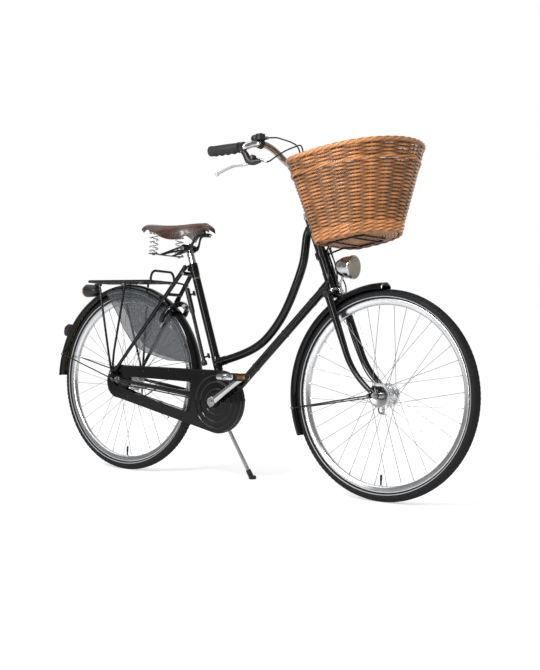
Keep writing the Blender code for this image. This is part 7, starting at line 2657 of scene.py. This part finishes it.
@dataclass
class Straps:
    """Two leather straps with buckles round the bar and the basket's border."""

    bench: Bench
    basket: Basket
    bar: Handlebar
    offset: float = 0.075
    width: float = 0.018
    thick: float = 0.0022
    depth: float = 0.045

    def route(self, y: float) -> list[Vector]:
        """Return the strap's closed middle line.

        Args:
            y: How far to the left the strap lies.

        Returns:
            The points.
        """
        b = self.basket
        bar = self.bar.centre + at(0.0055, 0.0, 0.0018)
        reach = self.bar.bar_r + 0.0027 + self.thick / 2
        turns = [radians(62 + 34 * k) for k in range(7)]
        line = [at(bar.x + reach * cos(t), y, bar.z + reach * sin(t)) for t in turns]
        share = self.depth / b.height
        wall = -b.rear * (1.0 - (1.0 - b.taper) * share) + b.shift * share
        slot = b.point(wall, 0.0, self.depth)
        rest = [
            slot - FORE * 0.006, slot + FORE * 0.006, b.point(
                wall + b.wall + 0.003, 0.0, self.depth - 0.002,
            ),
            b.point(-b.rear + b.wall + 0.0036, 0.0, 0.004), b.point(
                -b.rear + b.wall + 0.0022, 0.0, -0.0036,
            ),
            b.point(-b.rear + b.wall * 0.3, 0.0, -0.0046), b.point(-b.rear - 0.0075, 0.0, -0.001),
        ]
        return line + [at(p.x, y, p.z) for p in rest]

    def build(self) -> None:
        """Build and dress both straps."""
        for side, word in SIDES:
            rough = self.route(self.offset * side)
            line = smooth([rough[-1], *rough, rough[0]], 5)[5:-6]
            self.bench.make(
                f"strap_{word}", sweep(line, (self.width / 2, self.thick / 2), 16, SIDE, looped=True),
                STRAP_HIDE, "steering", f"basket_strap_{word}",
            )
            start, end = rough[-1], rough[0]
            way = (end - start).normalized()
            turn = turn_to(way, SIDE)
            spot = start.lerp(end, 0.45) + way.cross(SIDE) * -0.0016
            frame_line = [
                spot + turn @ at(x, 0.0, z) for x,
                z in ((0.0115, 0.0085), (-0.0115, 0.0085), (-0.0115, -0.0085), (0.0115, -0.0085))
            ]
            edge = finer(frame_line, 24)
            metal = [
                sweep(edge, 0.0013, 8, way.cross(SIDE), looped=True),
                rod(spot - way * 0.0085, spot + way * 0.0095, 0.0011, 10),
            ]
            self.bench.make(f"strap_buckle_{word}", metal, CHROME, "steering")


# Saddle


@dataclass
class Saddle:
    """Sprung leather saddle with rivets, cantle, rails, coil springs and the seat post."""

    bench: Bench
    geo: Geometry
    length: float = 0.268
    width: float = 0.208
    top: float = 0.899
    nose_x: float = 0.372
    leather: float = 0.0045
    cantle: float = 0.0025
    spring_y: float = 0.068
    spring_r: float = 0.0155
    wire_r: float = 0.0021
    coils: float = 4.5
    post_r: float = 0.0131
    post_out: float = 0.075
    outline: Rows = (
        (0.0, 0.62), (0.05, 0.86), (0.14, 0.98), (0.26, 1.0), (0.38, 0.9),
        (0.5, 0.66), (0.62, 0.42), (0.75, 0.27), (0.88, 0.205), (1.0, 0.185),
    )

    def half(self, share: float) -> float:
        """Return the leather's half width from its rear (0) to its nose (1).

        Args:
            share: The place between rear and nose.

        Returns:
            The half width.
        """
        rows = [at(a, b, 0.0) for a, b in self.outline]
        ends = [rows[0] * 2 - rows[1], *rows, rows[-1] * 2 - rows[-2]]
        for k in range(len(rows) - 1):
            if share <= rows[k + 1].x:
                t = (share - rows[k].x) / (rows[k + 1].x - rows[k].x)
                before, first, second, after = (ends[k + n].y for n in range(4))
                curve = 2 * first + (second - before) * t + (
                    2 * before - 5 * first + 4 * second - after
                ) * t**2
                return (curve + (3 * first - before - 3 * second + after) * t**3) * 0.25 * self.width
        return rows[-1].y * self.width / 2

    def point(self, share: float, turn: float, inset: float) -> Vector:
        """Return a point of the leather, from rear to nose and from side to side, moved inwards.

        Args:
            share: The place from the rear (0) to the nose (1).
            turn: The angle from the middle to a side, in radians.
            inset: How far it is moved inwards.

        Returns:
            The point.
        """
        x = self.nose_x - self.length * (1.0 - share)
        half = self.half(share) - inset
        crest = self.top - 0.0065 * sin(pi * min(1.0, share * 1.25)) ** 2 - inset
        crest -= 0.016 * max(0.0, share - 0.9) / 0.1 + 0.012 * max(0.0, 0.08 - share) / 0.08
        skirt = 0.02 + 0.036 * exp(-(((share - 0.52) / 0.22) ** 2))
        y = half * sin(turn)
        drop = 0.01 * (1.0 - cos(turn)) + (skirt - 0.01) * abs(sin(turn)) ** 6
        return at(x, y, crest - drop)

    def build(self) -> None:
        """Build and dress the saddle and the post."""

        def leather(u: float, v: float) -> Vector:
            """Return a point of the leather's outer face."""
            return self.point(u, radians(-90 + 180 * v), 0.0)

        self.bench.make(
            "saddle_leather", sheet(60, 60, leather, self.leather), HIDE, "seat", "saddle_top", sharp=60.0,
        )
        rivets = []
        for k in range(7):
            turn = radians(-60 + 20 * k)
            rivets.append(ball(self.point(0.03, turn, -0.0004), 0.0042, (1.0, 1.0, 0.4), 3))
        for turn in (-38, 0, 38):
            rivets.append(ball(self.point(0.955, radians(turn), -0.0004), 0.0036, (1.0, 1.0, 0.42), 3))
        self.bench.make("saddle_rivets", rivets, CHROME, "seat")
        rear = self.nose_x - self.length
        spring_x, cantle_z, plate_low = rear + 0.056, self.top - 0.031, 0.788
        depth = self.leather + 0.00075
        self.frame(spring_x, cantle_z, plate_low, depth)
        base_top = plate_low + 0.0025
        height = cantle_z - 0.0022 - base_top - 0.0006
        for side, word in SIDES:
            foot = at(spring_x, self.spring_y * side, base_top + 0.0003)
            line = []
            steps = int(self.coils * 36)
            low = self.wire_r * 1.02
            for k in range(steps + 1):
                share = k / steps
                angle = tau * self.coils * share * side
                waist = self.spring_r - 0.0012 * sin(pi * share)
                line.append(
                    foot + at(waist * cos(angle), waist * sin(angle), low + (height - low * 2) * share)
                )
            self.bench.make(
                f"spring_{word}", sweep(line, self.wire_r, 14, UP), CHROME, "seat", f"saddle_spring_{word}",
            )
        top, up, r = self.geo.seat_top, self.geo.seat_up, self.post_r
        out = self.post_out
        profile = [
            (0.0, -0.12), (r, -0.12), (r, out - 0.034), (r * 0.96, out - 0.031), (r * 0.87, out - 0.0295),
            (r * 0.86, out - 0.027), (r * 0.86, out - 0.0006), (r * 0.82, out), (0.0, out),
        ]
        self.bench.make("seat_post_tube", lathe(profile, top, up, 40), CHROME, "seat", "seat_post")

    def frame(self, spring_x: float, cantle_z: float, plate_low: float, depth: float) -> None:
        """Build the cantle plate, the rails, the clamp and the nose.

        Args:
            spring_x: Where the springs stand.
            cantle_z: The height of the springs' upper pads.
            plate_low: The height of their lower pads.
            depth: How far the cantle lies under the leather's outer face.
        """
        share = 0.165

        def skin(u: float, v: float) -> Vector:
            """Return a point of the cantle's outer face."""
            return self.point(0.06 + 0.15 * u, radians(-72 + 144 * v), depth)

        parts = [sheet(8, 40, skin, self.cantle)]
        turn = asin(self.spring_y / (self.half(share) - depth))
        for side in (-1, 1):
            stand = at(spring_x, self.spring_y * side, 0.0)
            top = self.point(share, turn * side, depth + self.cantle * 0.5)
            parts.append(disc(stand, UP, 0.0185, cantle_z - 0.0022, cantle_z + 0.001, 40))
            parts.append(rod(at(top.x, top.y, cantle_z), top, 0.004, 16))
        self.bench.make("cantle_plate", parts, BLACK, "seat", "saddle_cantle")
        clamp = self.geo.seat_top + self.geo.seat_up * (self.post_out - 0.012)
        nose = at(self.nose_x - 0.03, 0.0, self.top - 0.046)
        bar = [
            at(spring_x, -self.spring_y, plate_low + 0.0005), at(spring_x + 0.002, 0.0, plate_low - 0.0005),
            at(spring_x, self.spring_y, plate_low + 0.0005),
        ]
        parts = [sweep(smooth(bar, 8), (0.0025, 0.009), 16, UP)]
        for side in (-1, 1):
            parts.append(
                disc(
                    at(spring_x, self.spring_y * side, 0.0), UP, 0.0185, plate_low - 0.001,
                    plate_low + 0.0025, 40,
                )
            )
            for lift in (0.0, 0.0095):
                row = [
                    at(spring_x + 0.002, (0.03 + lift * 0.3) * side, plate_low + 0.0005),
                    at(clamp.x - 0.03, 0.0215 * side, clamp.z - 0.011 + lift),
                    at(clamp.x + 0.02, 0.0215 * side, clamp.z - 0.007 + lift),
                    at(nose.x - 0.03, 0.012 * side, nose.z - 0.006 + lift * 0.5),
                    nose + SIDE * side * 0.008,
                ]
                parts.append(sweep(smooth(row, 8), 0.0034, 16, SIDE))
        across = clamp + at(-0.002, 0.0, -0.003)
        tongue = self.top - self.leather - 0.0006 - nose.z
        parts += [
            block(nose + at(0.004, 0.0, 0.002), (0.024, 0.026, 0.014), None, 0.002),
            block(nose + at(-0.004, 0.0, tongue * 0.5), (0.008, 0.006, tongue), None, 0.001),
            rod(across - SIDE * 0.03, across + SIDE * 0.03, 0.014, 36, edge=0.0012),
        ]
        self.bench.make("saddle_rails", parts, BLACK, "seat", "saddle_frame")
        nuts = [
            rod(across - SIDE * 0.033, across + SIDE * 0.033, 0.0034, 16),
            rod(nose + at(0.01, 0, 0.002), nose + at(0.03, 0, 0.002), 0.003, 14),
        ]
        nuts += [hexagon(across, SIDE * side, 0.008, 0.03, 0.0345) for side in (-1, 1)]
        for side in (-1, 1):
            nuts.append(
                hexagon(
                    at(spring_x, self.spring_y * side, 0.0), UP, 0.0062, plate_low - 0.005,
                    plate_low - 0.0008,
                )
            )
        self.bench.make("saddle_nuts", nuts, CHROME, "seat")


# Cables


@dataclass
class Cables:
    """Both brake cables and the gear cable, with ferrules and bands."""

    bench: Bench
    geo: Geometry
    radius: float = 0.0024
    lever_rows: Rows = (
        (0.8083, 0.2765, 1.044), (0.8215, 0.272, 1.0425), (0.8262, 0.245, 1.06), (0.8225, 0.19, 1.088),
        (0.8165, 0.125, 1.113),
    )
    right_rows: Rows = (
        (0.81, 0.09, 1.122), (0.8, 0.062, 1.105), (0.7895, 0.042, 1.068), (0.789, 0.036, 1.04),
        (0.808, 0.03, 0.97), (0.848, 0.022, 0.87), (0.879, 0.008, 0.795), (0.891, -0.01, 0.75),
    )
    left_rows: Rows = (
        (0.81, 0.09, 1.12), (0.8, 0.058, 1.103), (0.7895, 0.04, 1.066), (0.789, 0.035, 1.04),
        (0.808, 0.03, 0.97), (0.846, 0.022, 0.87), (0.874, 0.0095, 0.792), (0.888, 0.017, 0.742),
    )
    gear_rows: Rows = (
        (0.7916, 0.2362, 1.1241), (0.7975, 0.2345, 1.1243), (0.801, 0.208, 1.1285), (0.796, 0.165, 1.13),
        (0.793, 0.12, 1.129), (0.792, 0.085, 1.122), (0.7905, 0.064, 1.098), (0.789, 0.056, 1.05),
        (0.809, 0.049, 0.96), (0.843, 0.045, 0.87), (0.869, 0.035, 0.79), (0.886, 0.028, 0.738),
    )
    fork_rows: Rows = (
        (0.42, 0.03, 0.024), (0.392, 0.021, 0.046), (0.366, 0.003, 0.0595), (0.33, -0.013, 0.057),
        (0.29, -0.018, 0.05), (0.2, -0.0165, 0.046), (0.12, -0.0105, 0.046), (0.076, 0.0015, 0.0455),
    )
    drum_rows: Rows = ((1.059, 0.044, 0.345), (1.057, 0.043, 0.312), (1.0555, 0.0412, 0.285))
    down_rows: Rows = (
        (0.8925, 0.025, 0.699), (0.88, 0.0248, 0.6735), (0.856, 0.0212, 0.6545), (0.8, 0.0188, 0.6035),
        (0.65, 0.018, 0.459), (0.53, 0.0188, 0.34), (0.505, 0.019, 0.296), (0.488, 0.019, 0.267),
        (0.47, 0.0188, 0.2528),
    )
    under_left: Rows = (
        (0.44, 0.0188, 0.2568), (0.415, 0.0188, 0.2604), (0.372, 0.0195, 0.2612), (0.335, 0.024, 0.274),
    )
    under_right: Rows = ((0.44, 0.019, 0.26), (0.39, 0.0195, 0.27), (0.34, 0.0245, 0.278))
    stay_rows: Rows = ((0.3, 0.0296, 0.2838), (0.2, 0.042, 0.2957), (0.12, 0.053, 0.3052))
    brake_rows: Rows = ((0.075, 0.051, 0.296), (0.054, 0.043, 0.28))
    hub_rows: Rows = (
        (0.07, 0.064, 0.311), (0.044, 0.079, 0.319), (0.024, 0.09, 0.3275), (0.007, 0.0925, 0.3318),
        (0.0003, 0.0936, 0.332), (0.0, 0.0858, 0.332),
    )

    def on(self, side: int, rows: Rows) -> list[Vector]:
        """Return a row of points given on the left, on one side."""
        return [at(x, y * side, z) for x, y, z in rows]

    def run(self, points: Sequence[Vector]) -> Mesh:
        """Return a round cable along its route."""
        return sweep(smooth(points, 6), self.radius, 12, UP)

    def head_run(self, side: int) -> list[Vector]:
        """Return a brake cable's points from its lever round to the head tube."""
        return self.on(side, (*self.lever_rows, *(self.right_rows if side < 0 else self.left_rows)))

    def build(self) -> None:
        """Build and dress the cables."""
        g = self.geo
        front_tip = g.front_axle + at(-0.025, 0.0, -0.06) + SIDE * (0.03 + 0.0107)
        rear_tip = g.rear_axle + at(0.026, 0.0, -0.06) + SIDE * (0.028 + 0.0107)
        front = [
            *self.head_run(-1), *[g.steer(*row) for row in self.fork_rows], *self.on(1, self.drum_rows),
        ]
        front += [front_tip + at(-0.013, 0.0, 0.001), front_tip + at(-0.0058, 0.0, 0.0)]
        piece = self.bench.make(
            "front_brake_cable_run", self.run(front), PLASTIC, "steering", "front_brake_cable",
        )
        self.bench.bend(piece, "steering", "front_brake", at(*self.drum_rows[1]), front_tip)
        neck = (at(0.81, 0.0, 0.95), at(0.87, 0.0, 0.7))
        down = self.on(1, self.down_rows)
        upper = self.bench.make(
            "rear_brake_cable_upper", self.run([*self.head_run(1), *down[:5]]), PLASTIC, "steering",
            "rear_brake_cable",
        )
        self.bench.bend(upper, "steering", "frame", *neck)
        tail = [*down[4:], *self.on(1, (*self.under_left, *self.stay_rows, *self.brake_rows))]
        tail += [rear_tip + at(0.013, 0.0, 0.0006), rear_tip + at(0.0058, 0.0, 0.0)]
        lower = self.bench.make("rear_brake_cable_lower", self.run(tail), PLASTIC, "frame")
        self.bench.bend(lower, "frame", "rear_brake", at(*self.brake_rows[0]), rear_tip)
        gear = self.on(
            -1, (*self.gear_rows, *self.down_rows, *self.under_right, *self.stay_rows, *self.hub_rows),
        )
        piece = self.bench.make("gear_cable_run", self.run(gear), PLASTIC, "steering", "gear_cable")
        self.bench.bend(piece, "steering", "frame", *neck)
        self.fittings(front, [*self.head_run(1), *down[:5]])

    def fittings(self, front: Sequence[Vector], rear: Sequence[Vector]) -> None:
        """Build the ferrules at the levers and the bands on the down tube.

        Args:
            front: The front brake cable's points.
            rear: The rear brake cable's points.
        """
        ends = [
            rod(line[0], line[0] + (line[1] - line[0]).normalized() * 0.01, 0.0033, 16)
            for line in (front, rear)
        ]
        self.bench.make("cable_ferrules", ends, CHROME, "steering")
        bracket, end = self.geo.bracket, self.geo.steer(self.geo.head_low + 0.027)
        way = end - bracket
        bands = []
        for share in (0.3, 0.58, 0.84):
            spot = bracket + way * share
            bands.append(washer(spot, way, 0.0142, 0.0152, -0.0035, 0.0035, 40))
            for side in (-1, 1):
                bands.append(
                    block(spot + SIDE * side * 0.017, (0.006, 0.007, 0.007), turn_to(way, FORE), 0.001)
                )
        self.bench.make("cable_bands", bands, PLASTIC, "frame")


# Studio


@dataclass
class Studio:
    """White sweep, soft lamps and the photo's viewpoint."""

    place: Matrix
    eye: Vector = at(2.97297, -3.06318, 0.47572)
    right: Vector = at(0.79574848, 0.60462074, 0.03490154)
    up: Vector = at(-0.02233245, -0.02829517, 0.99935011)
    lens: float = 76.2
    ambient: float = 0.42
    room: float = 0.22
    lift: float = 0.44

    def build(self) -> None:
        """Set up the floor, the world, the lamps and the camera."""
        for name in ("Cube", "Light", "Camera"):
            spare = bpy.data.objects.get(name)
            if spare:
                bpy.data.objects.remove(spare)
        self.floor()
        self.world()
        self.sun()
        self.lamp("left_strip", at(-0.6, -3.2, 1.7), 0.34, 2.4, 36.0)
        self.lamp("right_strip", at(3.0, 0.1, 1.5), 0.16, 2.2, 8.0)
        self.lamp("key", at(0.3, -3.1, 2.8), 0.8, 0.8, 52.0)
        self.camera()
        bpy.context.scene.view_settings.view_transform = "Standard"

    def floor(self) -> None:
        """Lay a white floor under the bicycle."""
        bm = bmesh.new()
        bmesh.ops.create_grid(bm, x_segments=1, y_segments=1, size=40.0)
        mesh = bpy.data.meshes.new("floor")
        bm.to_mesh(mesh)
        bm.free()
        graph = Graph(bpy.data.materials.new("floor_white"))
        tone = graph.noise(graph.coords(), 0.4, 2.0).above(0.2, 0.8)
        inputs = {
            "Base Color": graph.blend(tone, (0.9, 0.9, 0.9), (0.91, 0.91, 0.91)),
            "Roughness": 0.9,
            "Specular IOR Level": 0.1,
            "Emission Color": graph.blend(graph.ray("Camera"), (0.0, 0.0, 0.0), (self.lift,) * 3),
            "Emission Strength": 1.0,
        }
        graph.set(graph.shader, inputs)
        mesh.materials.append(graph.owner)
        floor = bpy.data.objects.new("floor", mesh)
        bpy.context.scene.collection.objects.link(floor)

    def world(self) -> None:
        """Show a white backdrop to the eye and in reflections, and a dim room on the camera's side."""
        world = bpy.data.worlds.new("studio")
        bpy.context.scene.world = world
        graph = Graph(world)
        away = -(self.place.to_3x3() @ self.right.cross(self.up))
        way = graph.add("ShaderNodeTexCoord", {}, {}, "Generated")
        ahead = graph.add(
            "ShaderNodeVectorMath", {"operation": "DOT_PRODUCT"}, {0: way, 1: tuple(away)}, "Value",
        )
        mirrored = self.room + (1.0 - self.room) * ahead.above(0.3, 0.9)
        seen = graph.ray("Camera") + graph.ray("Transmission")
        lit = (1.0 - seen - graph.ray("Glossy")) * self.ambient
        graph.set(
            graph.shader,
            {"Color": (1.0, 1.0, 1.0, 1.0), "Strength": seen + graph.ray("Glossy") * mirrored + lit},
        )

    def lamp(self, name: str, spot: Vector, wide: float, tall: float, power: float) -> None:
        """Stand a soft lamp that faces the bicycle.

        Args:
            name: The lamp's name.
            spot: Where it stands.
            wide: Its width.
            tall: Its height.
            power: Its power in watts.
        """
        light = bpy.data.lights.new(name, "AREA")
        light.shape = "RECTANGLE"
        light.size = wide
        light.size_y = tall
        light.energy = power
        lamp = bpy.data.objects.new(name, light)
        lamp.rotation_euler = (at(0.0, 0.0, 0.5) - spot).to_track_quat("-Z", "Y").to_euler()
        lamp.location = spot
        bpy.context.scene.collection.objects.link(lamp)

    def sun(self) -> None:
        """Light bicycle and floor evenly from above with a soft shadow."""
        light = bpy.data.lights.new("sky", "SUN")
        light.angle = radians(50)
        light.energy = 0.8
        lamp = bpy.data.objects.new("sky", light)
        lamp.rotation_euler = (radians(14), radians(-16), 0.0)
        bpy.context.scene.collection.objects.link(lamp)

    def camera(self) -> None:
        """Set up the camera that took the photo."""
        data = bpy.data.cameras.new("photo")
        data.lens = self.lens
        data.sensor_width = 36.0
        data.sensor_fit = "HORIZONTAL"
        camera = bpy.data.objects.new("photo", data)
        axes = Matrix((self.right, self.up, self.right.cross(self.up))).transposed().to_4x4()
        camera.matrix_world = self.place @ Matrix.Translation(self.eye) @ axes
        bpy.context.scene.collection.objects.link(camera)
        bpy.context.scene.camera = camera


def leaning_place() -> Matrix:
    """Return the move from the upright bicycle onto its side stand, read from the rear wheel's joint.

    Returns:
        The move.
    """
    joint = next(j for j in frame["joints"] if j["name"] == "rear_wheel_spin")
    axis = Vector(joint["axis"])
    axis = axis if axis.y > 0 else -axis
    turn = Matrix.Rotation(atan2(axis.z, axis.y), 3, "X")
    spot = Vector(joint["pos_m"])
    return Matrix.Translation(spot - turn @ at(0.0, 0.0, WHEEL_R)) @ turn.to_4x4()


def main() -> None:
    """Build every sub-assembly in order."""
    logging.basicConfig(level=logging.INFO, format="%(name)s: %(message)s")
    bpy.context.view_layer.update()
    place = leaning_place()
    bench = Bench(place, frame["nodes"])
    geo = Geometry.roadster()
    bar = Handlebar(bench, geo)
    basket = Basket(bench, geo)
    Wheel(bench, "front", "front_wheel", geo.front_axle, 0.03, 0.038, 0.031).build()
    Wheel(bench, "rear", "rear_wheel", geo.rear_axle, 0.028, 0.036, 0.029).build()
    DrumBrake(
        bench, "front", "steering", geo.front_axle, geo.front_axle + at(-0.025, 0.0, -0.02), 0.03, 0.037,
        0.05, 0.0307,
    ).build()
    DrumBrake(
        bench, "rear", "frame", geo.rear_axle, geo.rear_axle + at(0.026, 0.0, -0.02), 0.028, 0.042, 0.0623,
        0.0475,
    ).build()
    MainFrame(bench, geo).build()
    RearFrame(bench, geo).build()
    Fork(bench, geo).build()
    Mudguard(
        bench, "front", "steering", geo.front_axle, 0.353, radians(91), radians(205), radians(190),
        geo.front_axle + at(-0.024, 0.0554, -0.002),
    ).build()
    Mudguard(
        bench, "rear", "frame", REAR_GUARD_MIDDLE, 0.356, radians(6), radians(179), radians(165),
        at(-0.026, 0.0677, 0.334),
    ).build()
    for piece in (
        Chaincase(bench, geo), Chain(bench, geo), Rack(bench), RearLights(bench), SkirtGuards(bench),
        RingLock(bench, geo), Pump(bench), Drive(bench, geo), SideStand(bench), bar,
    ):
        piece.build()
    for side, word in SIDES:
        BrakeLever(bench, side, word).build()
    for piece in (
        Shifter(bench, bar), Bell(bench), Headlamp(bench, geo), basket, Straps(bench, basket, bar),
        Saddle(bench, geo), Cables(bench, geo),
    ):
        piece.build()
    basket.rack()
    Studio(place).build()


if __name__ == "__main__":
    main()
